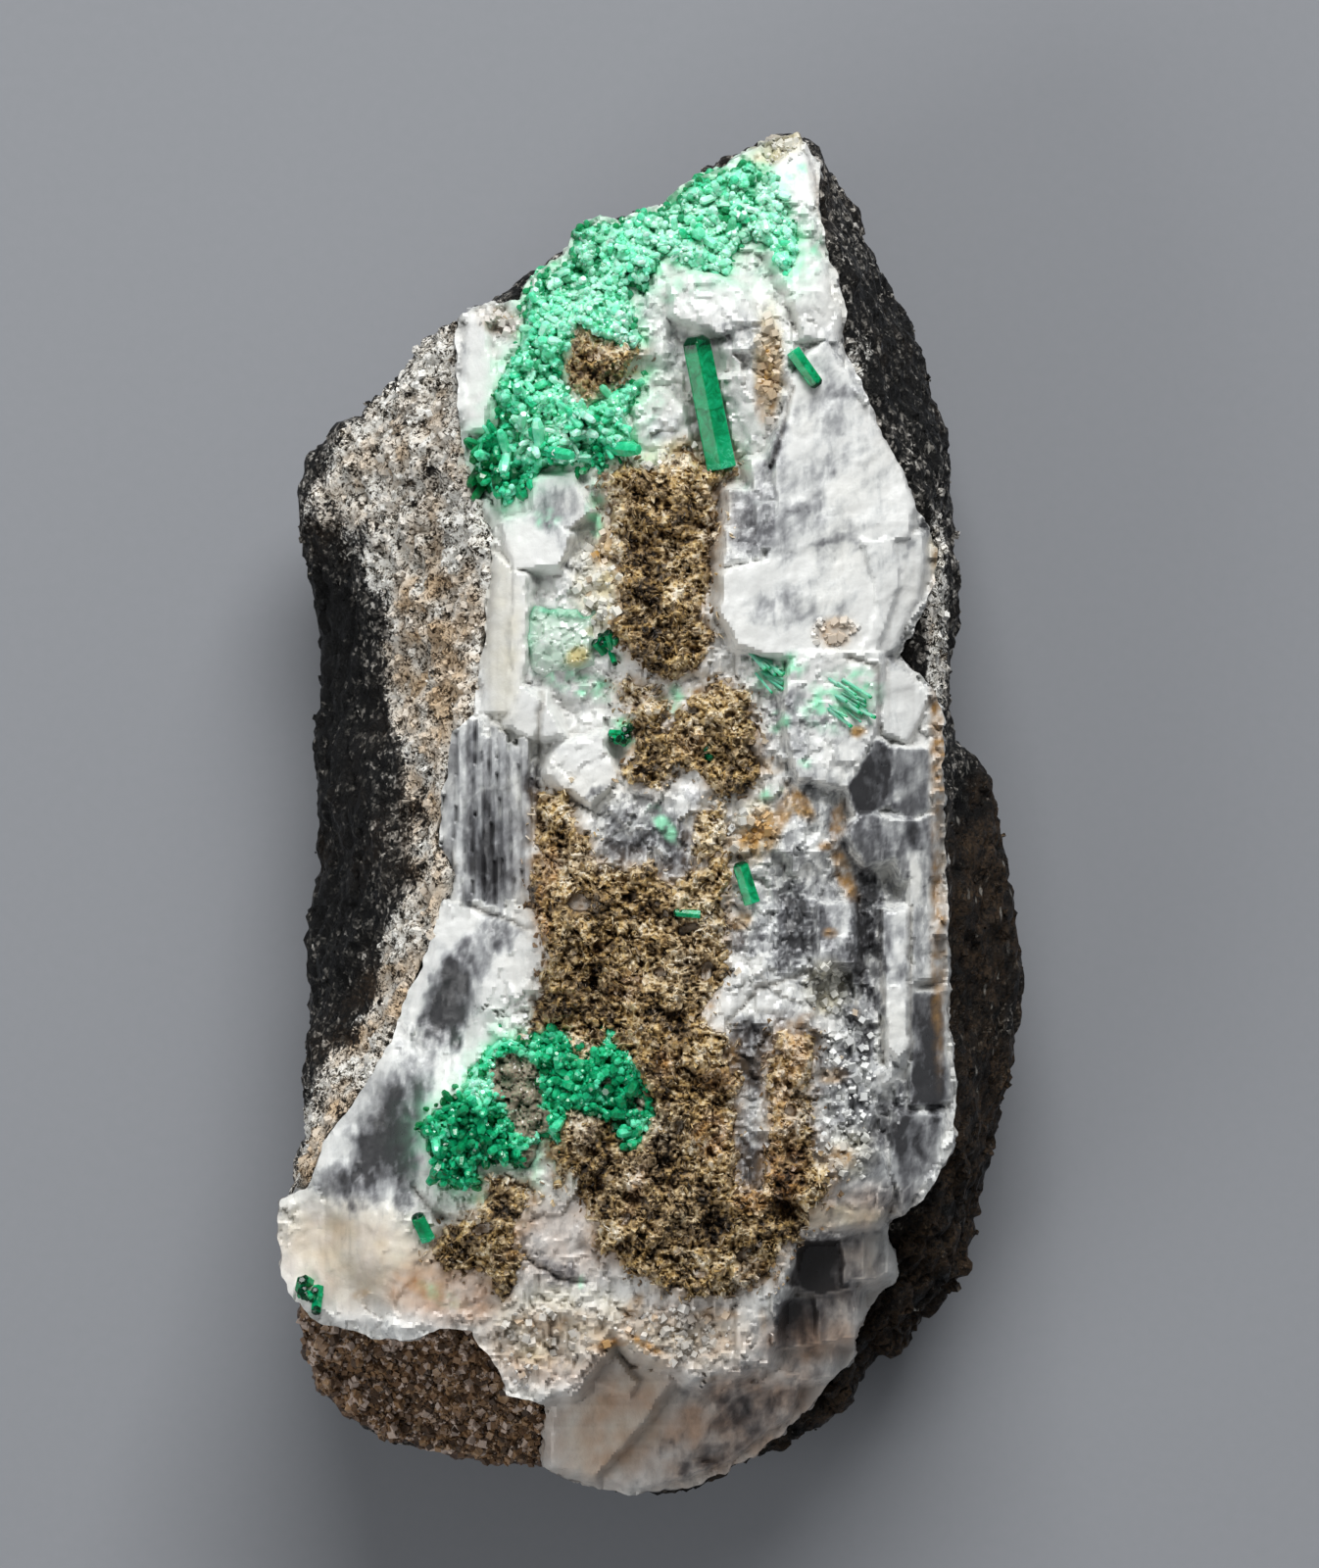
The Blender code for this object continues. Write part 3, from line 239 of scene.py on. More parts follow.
# Heights of the vein's front above the card.
VEIN_FRONT = np.array((
    (15, 69, 30), (4, 64, 33), (-9, 57, 34), (-19, 49, 33), (15, 60, 36), (2, 56, 39), (-6, 49, 41),
    (-15, 43, 37), (-19, 37, 35), (-7, 39, 41), (4, 43, 38), (12, 47, 42), (19, 50, 38), (9, 38, 38),
    (17, 41, 41), (24, 35, 38), (10, 30, 38), (19, 28, 42), (28, 26, 35), (15, 20, 43), (24, 17, 38),
    (0, 33, 42), (0, 20, 44), (-9, 31, 39), (-16, 23, 37), (-9, 18, 41), (-17, 11, 38), (-7, 10, 40),
    (4, 9, 43), (16, 9, 42), (27, 10, 36), (-19, 2, 36), (-12, 1, 40), (0, 0, 43), (14, 0, 42),
    (24, 1, 37), (29, -4, 32), (-20, -9, 37), (-9, -12, 43), (8, -12, 42), (14, -9, 40), (24, -14, 37),
    (29, -17, 32), (-22, -20, 36), (-15, -19, 40), (4, -24, 44), (14, -24, 42), (22, -24, 39),
    (30, -27, 32), (-31, -33, 34), (-20, -32, 41), (-9, -30, 42), (8, -37, 43), (18, -35, 41),
    (27, -35, 35), (-37, -43, 31), (-26, -43, 38), (-12, -43, 41), (2, -46, 42), (14, -42, 40),
    (-34, -50, 33), (-20, -51, 38), (-12, -57, 37), (-4, -51, 40), (8, -54, 38), (24, -40, 35),
), float)


def vein_front(points):
    away = ((points[:, None, :] - VEIN_FRONT[None, :, :2]) ** 2).sum(2)
    near = 1.0 / (away + 16.0) ** 2
    return (near * VEIN_FRONT[:, 2]).sum(1) / near.sum(1)


def spots(points, rows):
    """0 to 1 over soft ovals, each given as x, y, reach along, reach across, turn in degrees, strength."""
    found = np.zeros(len(points))
    for x, y, along, across, turn, strength in rows:
        side, up = points[:, 0] - x, points[:, 1] - y
        turn = math.radians(turn)
        lengthways = (side * math.cos(turn) + up * math.sin(turn)) / along
        sideways = (up * math.cos(turn) - side * math.sin(turn)) / across
        found = np.maximum(found, strength * (1 - ease(np.hypot(lengthways, sideways), 0.45, 1.25)))
    return found


def facets(points, size, seed, tilt, step, turn=0.0, stretch=1.0):
    """Broken flat faces about this wide: their height, how far it is to an edge, and a tone for each."""
    turn = math.radians(turn)
    frame_x = (points[:, 0] * math.cos(turn) + points[:, 1] * math.sin(turn)) / stretch
    frame_y = points[:, 1] * math.cos(turn) - points[:, 0] * math.sin(turn)
    _, border, offset, keys = grains(np.stack((frame_x, frame_y), 1), size, seed)
    roll = shares(keys, 4)
    rise = step * (2 * roll[:, 0] - 1) + (tilt * (2 * roll[:, 1:3] - 1) * offset).sum(1)
    return rise, border, roll[:, 3]


def cleaved(points, size, seed, step, tilt):
    """Cleavage blocks about this wide, in rows: their height, how far it is to an edge, a tone, and the rows' turn."""
    _, _, offset, crystal = grains(points + 1.2 * mottle(points, 6, seed + 2)[:, None], 12.0, seed)
    middle = points - offset
    lean = 4 + 28 * ease(middle[:, 0], 2, 10) * ease(middle[:, 1], 8, 22) - 26 * ease(-middle[:, 0], 4, 12)
    lean = np.radians(lean + 26 * (shares(crystal, 1)[:, 0] - 0.5))
    warp = 0.16 * mottle(points, 3.5 * size, seed + 1, 2)
    across = (points[:, 0] * np.cos(lean) + points[:, 1] * np.sin(lean)) / size + warp
    row = np.floor(across)
    shift, long = shares(hashed(np.stack((row, crystal.astype(float) % 9973), 1), seed), 2).T
    along_row = (points[:, 1] * np.cos(lean - 0.25) - points[:, 0] * np.sin(lean - 0.25)) / (size * (1.2 + 1.6 * long)) + 7 * shift + warp
    block = np.floor(along_row)
    roll = shares(hashed(np.stack((row, block, crystal.astype(float) % 9973), 1), seed + 1), 4)
    side, end = across - row - 0.5, along_row - block - 0.5
    rise = step * (2 * roll[:, 0] - 1) + size * tilt * ((2 * roll[:, 1] - 1) * side + 1.6 * (2 * roll[:, 2] - 1) * end)
    return rise, np.minimum(0.5 - np.abs(side), 1.6 * (0.5 - np.abs(end))) * size, roll[:, 3], lean


def veils(points, lean, size, stretch, seed, octaves=4):
    """Smooth noise drawn out along the rows of cleavage."""
    frame = np.stack((points[:, 0] * np.cos(lean) + points[:, 1] * np.sin(lean), (points[:, 1] * np.cos(lean) - points[:, 0] * np.sin(lean)) / stretch), 1)
    return mottle(frame, size, seed, octaves, 0.6)


def flakes(points, turn, size, seed):
    """Thin cleavage flakes, 0 to 1 high, whose broken edges run this way, and where those edges are, for a painted
    highlight.
    """
    turn = math.radians(turn)
    warped = points + 1.3 * np.stack((mottle(points, 5, seed, 2), mottle(points, 5, seed + 1, 2)), 1)
    across = (warped[:, 1] * math.cos(turn) - warped[:, 0] * math.sin(turn)) / size + 0.05 * mottle(points, 0.9, seed + 2, 2)
    row = np.floor(across)
    tall = shares(hashed(row[:, None], seed), 1)[:, 0] * ease(mottle(points, 4.5, seed + 3, 2), -0.25, 0.25)
    part = across - row
    return tall * (1 - part) * ease(part, 0, 0.05), tall * np.exp(-((part * size / 0.16) ** 2))


def plane_through(corners):
    """Level and slopes of the plane that lies best on the corners."""
    places = np.array([(1.0, x, y) for x, y, _ in corners])
    return np.linalg.lstsq(places, np.array([z for _, _, z in corners]), rcond=None)[0]


# Cleavage plates and blocks: how smooth and how smoky each one is, and the corners of its face.
VEIN_PLATES = (
    # the pointed end and the white strip left of the green druse
    (0.7, 0.0, ((11.2, 65.6, 34.0), (14.8, 69.0, 31.6), (16.1, 65.6, 33.2), (16.2, 62.6, 35.0), (13.4, 62.8, 36.0))),
    (0.9, 0.0, ((-19.6, 46.0, 35.2), (-19.2, 51.2, 33.6), (-17.4, 51.0, 34.6), (-16.6, 44.0, 37.4),
           (-17.4, 39.6, 37.8), (-19.2, 39.6, 36.0))),
    # blocks beside and above the large prism
    (0.5, 0.0, ((14.0, 52.6, 41.6), (16.4, 54.6, 40.4), (19.0, 51.4, 39.0), (18.4, 48.4, 39.6), (15.2, 48.8, 42.2))),
    (0.5, 0.0, ((12.2, 57.4, 39.6), (15.6, 58.6, 37.6), (17.4, 56.4, 37.6), (17.6, 53.6, 38.8), (13.6, 53.4, 41.2))),
    (0.3, 0.0, ((1.6, 54.4, 40.6), (4.0, 55.6, 40.4), (8.6, 53.8, 41.4), (10.6, 50.4, 42.2), (6.6, 49.4, 41.6),
           (2.0, 51.2, 41.0))),
    (0.3, 0.0, ((6.6, 44.6, 40.6), (9.6, 45.4, 41.8), (13.2, 43.0, 41.6), (11.6, 37.8, 40.0), (8.4, 36.8, 39.0))),
    (0.3, 0.0, ((-2.0, 41.4, 41.0), (0.6, 43.4, 40.8), (3.0, 42.0, 39.8), (3.6, 38.2, 39.6), (0.6, 36.8, 40.8),
           (-1.8, 38.2, 41.2))),
    # the broad smooth face on the right, and the slats along its edge
    (0.97, 0.0, ((14.0, 44.5, 41.9), (15.5, 47.2, 41.4), (17.4, 48.4, 40.8), (20.4, 43.8, 40.1), (24.6, 36.0, 39.4),
            (26.3, 32.0, 39.2), (25.0, 24.0, 40.2), (22.2, 16.6, 41.8), (14.5, 16.2, 44.0), (8.4, 17.6, 45.0), (6.6, 21.0, 45.2),
            (7.2, 25.0, 44.8), (11.4, 26.4, 44.0), (12.4, 31.0, 43.2), (11.8, 36.0, 42.6))),
    (0.9, 0.0, ((21.4, 27.8, 41.8), (24.8, 28.6, 40.2), (25.2, 24.0, 40.2), (22.6, 17.0, 41.2), (20.6, 16.4, 42.2), (22.6, 21.4, 41.8))),
    (0.9, 0.0, ((24.0, 28.4, 40.0), (27.4, 29.0, 38.0), (27.1, 23.6, 38.0), (24.4, 17.0, 39.6), (22.2, 16.4, 40.8), (24.6, 23.6, 39.8))),
    # grey steps left of it
    (0.5, 0.20, ((9.6, 36.4, 41.4), (12.2, 36.2, 42.0), (12.8, 32.2, 42.2), (10.2, 31.6, 42.4))),
    (0.6, 0.34, ((7.6, 33.2, 42.0), (10.4, 33.4, 42.0), (10.6, 29.4, 42.6), (7.6, 29.0, 42.9))),
    (0.6, 0.30, ((10.2, 31.8, 43.1), (12.4, 32.2, 42.6), (12.2, 27.4, 43.4), (10.4, 27.2, 43.8))),
    (0.5, 0.24, ((7.2, 29.2, 43.6), (10.6, 29.6, 43.3), (10.8, 26.2, 43.9), (7.0, 25.6, 44.4))),
    # the cleavage rhomb at the right edge
    (1.0, 0.0, ((23.8, 16.3, 38.8), (28.0, 12.4, 37.2), (25.6, 7.6, 38.4), (22.9, 8.8, 40.4), (23.0, 13.2, 40.4))),
    (0.45, 0.0, ((14.0, 17.0, 44.3), (22.8, 16.8, 41.8), (22.6, 9.4, 41.6), (19.6, 3.2, 42.2), (14.6, 4.2, 43.0), (13.0, 10, 43.6))),
    # white blocks under the green druse, and the long upright plates at the left contact
    (0.8, 0.0, ((-12.4, 34.4, 40.2), (-8.2, 35.0, 41.2), (-6.4, 31.2, 41.4), (-8.6, 29.4, 41.4), (-12.0, 30.2, 40.4))),
    (0.8, 0.0, ((-15.6, 30.0, 38.8), (-12.0, 31.0, 40.6), (-8.4, 28.8, 41.8), (-9.8, 25.6, 42.0), (-14.4, 25.4, 40.2))),
    (1.0, 0.0, ((-16.4, 27.0, 38.4), (-14.6, 25.6, 40.2), (-14.2, 18.0, 40.5), (-14.8, 10.9, 39.9), (-17.4, 10.9, 38.4))),
    (0.9, 0.0, ((-14.2, 25.2, 40.8), (-13.2, 24.6, 41.2), (-12.9, 17.0, 41.2), (-13.6, 11.4, 40.6), (-14.8, 11.2, 40.3))),
    (0.9, 0.0, ((-13.2, 13.2, 41.9), (-11.4, 12.2, 42.2), (-9.2, 8.4, 42.0), (-12.8, 8.4, 41.2), (-15.0, 9.6, 40.7))),
    (0.6, 0.0, ((-9.6, 7.6, 41.8), (-5.6, 8.6, 42.0), (-3.8, 4.0, 42.4), (-6.4, 1.4, 42.2), (-11.2, 4.6, 41.0))),
    # grey lumps and the upright slats along the right edge
    (0.9, 0.80, ((19.6, 3.0, 41.4), (22.5, 8.2, 41.2), (24.7, 7.0, 39.0), (23.7, 1.5, 38.9), (20.8, -0.2, 40.2))),
    (0.9, 0.52, ((23.4, 1.8, 39.4), (24.4, 7.4, 39.4), (28.0, 6.8, 37.4), (28.2, 1.0, 35.6), (26.0, -0.6, 36.8))),
    (0.8, 0.38, ((19.8, -1.6, 41.2), (21.0, 0.5, 41.0), (26.2, -0.3, 38.6), (24.6, -4.0, 38.2), (21.4, -4.6, 40.0))),
    (0.8, 0.55, ((24.4, -3.6, 38.8), (26.0, -0.1, 37.8), (28.4, 0.4, 35.6), (28.6, -6.0, 35.0), (25.2, -6.4, 37.4))),
    (0.9, 0.0, ((23.2, -9.4, 39.4), (25.7, -9.2, 38.8), (25.9, -17.0, 38.8), (23.4, -17.4, 39.7))),
    (0.7, 0.0, ((23.4, -17.2, 40.1), (25.9, -16.8, 39.4), (25.9, -22.8, 39.4), (24.8, -24.6, 39.8), (23.4, -23.4, 40.2))),
    (0.6, 0.30, ((25.8, -3.6, 37.4), (27.6, -3.2, 36.0), (28.6, -16.0, 35.6), (26.2, -16.6, 38.2))),
    (0.9, 0.55, ((26.2, -17.6, 37.4), (29.4, -17.7, 34.4), (30.2, -28.8, 33.4), (26.2, -29.2, 36.8))),
    (0.9, 0.35, ((24.6, -29.8, 38.4), (29.4, -30.4, 34.8), (29.2, -35.0, 34.8), (25.4, -39.6, 36.8), (24.0, -36.0, 38.6))),
    (0.5, 0.0, ((15.6, -36.4, 42.6), (22.6, -33.4, 40.6), (24.4, -38.0, 38.0), (22.6, -41.2, 37.4), (15.4, -42.0, 40.4))),
    # the white fibrous band and the blocks above it
    (0.5, 0.0, ((16.3, -8.4, 41.8), (20.0, -8.6, 41.0), (20.5, -14.6, 41.2), (16.8, -15.0, 42.2))),
    # the overhanging ledge at the blunt end
    (0.3, 0.0, ((8.2, -49.8, 39.8), (11.0, -50.2, 38.8), (11.2, -55.0, 37.6), (8.0, -55.8, 38.8))),
)
# The stepped blocks and the broad shell of the lower layer.
LOWER_PLATES = (
    (0.9, 0.86, ((13.0, -40.4, 34.8), (20.0, -40.4, 34.2), (20.2, -48.2, 32.6), (17.2, -48.9, 32.6), (13.0, -47.6, 33.6))),
    (0.9, 0.5, ((18.9, -40.6, 35.2), (21.2, -40.8, 34.6), (21.5, -47.0, 33.2), (19.2, -47.6, 33.6))),
    (0.9, 0.35, ((21.1, -41.0, 33.2), (23.6, -41.2, 31.8), (23.9, -46.6, 30.6), (21.4, -47.4, 31.8))),
    (0.9, 0.46, ((11.0, -48.4, 32.2), (16.8, -49.2, 31.4), (17.6, -53.6, 30.0), (11.2, -54.8, 30.8))),
    (0.9, 0.30, ((16.4, -48.8, 32.6), (20.6, -47.8, 31.4), (20.4, -53.2, 29.6), (17.0, -53.8, 30.6))),
    (0.8, 0.15, ((10.6, -54.6, 29.6), (18.6, -53.6, 28.2), (18.2, -57.4, 26.6), (12.6, -58.8, 27.6))),
    (0.9, 0.10, ((2.0, -55.0, 30.0), (15.0, -57.0, 28.4), (12.4, -61.8, 26.6), (5.4, -67.0, 24.8), (-2.4, -69.0, 24.4),
           (-6.2, -67.6, 25.4), (-2.0, -62.6, 28.0))),
    (0.9, 0.20, ((8.0, -59.4, 28.0), (15.6, -56.4, 27.6), (13.8, -61.4, 25.2), (6.4, -67.0, 23.6), (3.0, -65.8, 25.4))),
    (0.9, 0.0, ((-10.4, -57.6, 32.4), (-1.0, -56.0, 33.4), (2.2, -57.2, 32.4), (-1.6, -62.4, 30.6), (-6.0, -67.4, 28.0),
           (-10.6, -66.4, 28.2))),
    (0.7, 0.0, ((-6.8, -54.8, 34.6), (-4.2, -54.4, 34.8), (-1.8, -57.8, 33.6), (-2.6, -58.9, 33.0), (-5.8, -57.8, 33.8))),
    (0.9, 0.16, ((8.2, -50.4, 34.6), (9.4, -50.4, 34.4), (9.6, -55.8, 33.4), (8.2, -56.2, 33.6))),
    (0.9, 0.34, ((9.4, -50.0, 33.8), (11.3, -49.8, 33.4), (11.4, -55.2, 32.2), (9.6, -55.6, 32.6))),
)
LOWER_EDGE = (
    (-10.6, -50.0), (-10.8, -66.4), (-8.6, -67.6), (-3.0, -69.4), (3.0, -68.6), (7.0, -67.2), (12.5, -63.4),
    (16.8, -59.2), (20.0, -55.4), (20.4, -52.6), (22.6, -48.8), (24.3, -47.4), (23.4, -40.0), (8.0, -38.0),
)
# The bent leaves of the grey fan at the left contact: x at the top and at the foot of each joint between them.
FAN_TOP, FAN_FOOT, FAN_RISE = 9.9, -8.2, 37.2
FAN_JOINTS = (
    (-21.0, -22.6), (-20.0, -20.7), (-19.1, -19.6), (-18.2, -18.5), (-17.5, -17.4), (-16.7, -16.2), (-15.9, -15.2), (-14.9, -14.2),
    (-13.8, -13.2), (-12.6, -12.2),
)
# Cracks, as the points that each one passes.
CRACKS = (
    ((13.8, 43.5), (13.2, 40.0), (12.2, 37.0), (11.8, 35.8)),
    ((-19.0, -8.8), (-15.5, -10.2), (-12.2, -11.2)),
    ((2.4, -56.2), (-1.6, -62.2), (-5.8, -67.2)), ((8.2, -49.4), (8.0, -53.0), (8.4, -56.0)),
    ((-12.8, -44.6), (-9.6, -46.8), (-6.8, -47.2)), ((-24.6, -37.6), (-22.0, -40.6), (-19.6, -40.8)),
    ((22.8, -9.4), (23.1, -17.0), (23.2, -24.8)), ((26.0, -9.2), (26.0, -17.2), (26.0, -24.6)),
    ((20.6, -8.0), (21.2, -15.4), (20.4, -21.0)), ((-11.4, 12.8), (-12.0, 5.0), (-11.6, -2.0)),
    ((19.4, 16.4), (22.6, 15.4), (22.8, 9.0)), ((16.0, -15.4), (10.6, -17.2), (7.4, -20.6)),
)
# Where the face is calm and massive, and where it is broken fine like sugar.
CALM = (
    (-21, -16, 9, 5, 65, 1.0), (-28, -33, 12, 8, 60, 1.0), (-30, -44, 8, 6, -20, 1.0), (-22, -24, 7, 5, 45, 0.8),
    (-10, -41, 6, 4, -15, 0.7), (-17.8, 45, 8, 2, 90, 0.9), (26, 4, 6, 3, 90, 0.7), (-15.4, 18, 9, 3, 90, 0.8),
    (12, -19, 6, 2.4, 15, 0.4), (-15, -14, 6, 3.4, 60, 0.8), (-6, -45, 6, 3.4, 0, 0.5),
    (6, 52.6, 7, 3.4, 10, 0.8), (0.6, 40, 3.4, 3.6, 90, 0.8), (-33, -46, 7, 6, 0, 1.0), (-24, -48, 6, 4, 0, 0.8), (-11, 30, 5, 4, 0, 0.6),
)
SUGARY = (
    (-10, -52, 9, 4, 5, 0.55), (2, -52, 8, 4, 0, 0.6), (-14, -56, 4, 3, 90, 0.5),
    (20, -28, 12, 4, 90, 0.6), (-15.6, 50.6, 2.6, 1.7, -20, 1.3), (18.2, 18.8, 2.6, 1.9, 0, 1.3), (-5, 24, 6, 3.4, 90, 0.8), (3, 36, 6, 2.4, 10, 0.8), (11.6, 46, 6, 1.8, 90, 1.0),
    (14, 68.5, 4, 1.6, 30, 0.8), (17.6, -17, 3.4, 3, 90, 0.8), (-13, -20.5, 4, 1.5, 90, 0.5), (10, -1, 3, 3.6, 70, 0.7),
)


def along(points, track):
    """The distance to a broken line."""
    away = np.full(len(points), 1e9)
    for (ax, ay), (bx, by) in zip(track, track[1:]):
        run_x, run_y = bx - ax, by - ay
        share = np.clip(((points[:, 0] - ax) * run_x + (points[:, 1] - ay) * run_y) / (run_x**2 + run_y**2), 0, 1)
        away = np.minimum(away, np.hypot(points[:, 0] - ax - share * run_x, points[:, 1] - ay - share * run_y))
    return away


def laid(points, height, plates, detail, calm):
    """Sets flat plates into a face, each falling off steeply round its edge. Returns the face, its smoke, and a painted
    highlight along the plates' edges.
    """
    smoke, rims = np.zeros(len(points)), np.zeros(len(points))
    for smooth, smoky, corners in plates:
        flat_edge = tuple((x, y) for x, y, _ in corners)
        middle = np.mean(flat_edge, 0)
        reach = max(math.dist(middle, corner) for corner in flat_edge) + 2.5
        close = np.flatnonzero(np.hypot(*(points - middle).T) < reach)
        here = points[close]
        level, slope_x, slope_y = plane_through(corners)
        depth = depth_in(here, flat_edge) + 0.22 * mottle(here, 1.6, 5, 2) + 0.30 * mottle(here, 4.5, 6)
        top = level + slope_x * here[:, 0] + slope_y * here[:, 1] + (1 - smooth) * detail[close]
        top += 0.10 * mottle(here, 2.4, 8, 4, 0.6) - 0.05 * (1 - ease(depth, 0.0, 0.3))
        sunken = height[close] > top
        top = np.where(sunken, height[close] + (top - height[close]) * ease(depth, 0.0, 0.5), top)
        height[close] = np.where(depth > 0, top, np.maximum(height[close], top + 3.2 * depth))
        calm[close] = np.maximum(calm[close], smooth * ease(depth, -0.1, 0.2))
        inside = ease(depth, -0.05, 0.15)
        smoke[close] = smoke[close] * (1 - inside) + smoky * inside
        rims[close] = np.maximum(rims[close] * (1 - inside), np.exp(-(((depth - 0.10) / 0.14) ** 2)))
    return height, smoke, rims


def vein_face(points):
    """The vein's face before the crusts: its height, how calm it is, a painted highlight along its edges, and how
    toned, cracked and sugary it is.
    """
    calm, sugary = spots(points, CALM), spots(points, SUGARY)
    calm = calm * (1 - sugary)
    bent = points + 0.8 * np.stack((mottle(points, 3, 9, 3), mottle(points, 3, 10, 3)), 1)
    broad, _, tone = facets(bent, 4.6, 3, 0.20, 0.50, 76, 1.5)
    middling, middling_edge, tone_2, lean = cleaved(bent, 2.3, 4, 0.26, 0.34)
    small, small_edge, tone_3 = facets(bent, 0.95, 5, 0.60, 0.11, 76, 1.4)
    sugar, sugar_edge, _ = facets(points, 1.1, 6, 0.75, 0.30)
    detail = 0.8 * middling + small
    lively = 1 - 0.88 * calm
    height = vein_front(points) + 0.5 * mottle(points, 11, 1, 3)
    height += lively * (0.9 * broad + detail) + sugary * (sugar + 0.4 * mottle(points, 2.2, 12, 3))
    height += lively * (0.45 * mottle(points, 3.4, 15, 4, 0.6))
    height += calm * (0.16 * mottle(points, 2.6, 14, 3) + 0.10 * veils(points, np.radians(10), 1.0, 4, 16))
    height, smoky, rims = laid(points, height, VEIN_PLATES, detail, calm)
    share = np.clip((FAN_TOP - points[:, 1]) / (FAN_TOP - FAN_FOOT), 0, 1)
    for turn, (left, right) in enumerate(zip(FAN_JOINTS, FAN_JOINTS[1:])):
        low = left[0] + (left[1] - left[0]) * share**1.5 + 0.22 * mottle(points, 4, 30 + turn, 2)
        high = right[0] + (right[1] - right[0]) * share**1.5 + 0.22 * mottle(points, 4, 31 + turn, 2)
        across = (points[:, 0] - low) / (high - low)
        ends = FAN_TOP - (0.9, 0.1, -0.3, 0.2, 1.4, 0.4, 1.0, 2.2, 1.6)[turn] - 0.3 * across
        crest = FAN_RISE + 0.45 * turn + (0.0, 0.4, 0.1, 0.5, 0.0, 0.3, 0.6, 0.2, 0.4)[turn] - 1.6 * share - 0.9 * (across - 0.6) ** 2
        crest += 0.12 * mottle(points, 2.2, 33, 3)
        within = (points[:, 1] < ends) & (points[:, 1] > FAN_FOOT - 0.4 * turn % 1.1) & (across > 0) & (across <= 1)
        height[within] = crest[within] - 0.3 * (1 - ease(np.minimum(across, 1 - across)[within], 0, 0.14))
        calm[within], smoky[within] = 0.9, (0.42, 0.28, 0.54, 0.34, 0.62, 0.40, 0.48, 0.32, 0.42)[turn]
    level_steps, level_edges = flakes(points, 14, 2.3, 35)
    upright_steps, upright_edges = flakes(points, 66, 1.7, 45)
    height += calm * (0.16 * level_steps + 0.13 * upright_steps + 0.26 * mottle(points, 6, 18, 2))
    cracked = np.zeros(len(points))
    bent = points + 0.3 * np.stack((mottle(points, 1.5, 21, 2), mottle(points, 1.5, 22, 2)), 1)
    for track in CRACKS:
        cracked = np.maximum(cracked, np.exp(-((along(bent, track) / 0.26) ** 2)))
    height -= 0.6 * cracked
    lively = (1 - calm) * (1 - 0.5 * sugary)
    # Painted highlight along the edges of the blocks, the plates and the flakes.
    bright = lively * np.maximum(np.exp(-((middling_edge / 0.20) ** 2)), 0.7 * np.exp(-((small_edge / 0.14) ** 2)))
    tones = (0.30 * tone + 0.42 * tone_2 + 0.28 * tone_3) * lively + 0.5 * (1 - lively)
    bright = np.maximum(bright, np.maximum(0.6 * rims, 0.8 * calm * np.maximum(level_edges, upright_edges)))
    return height, calm, bright, tones, cracked, sugary, lean, smoky


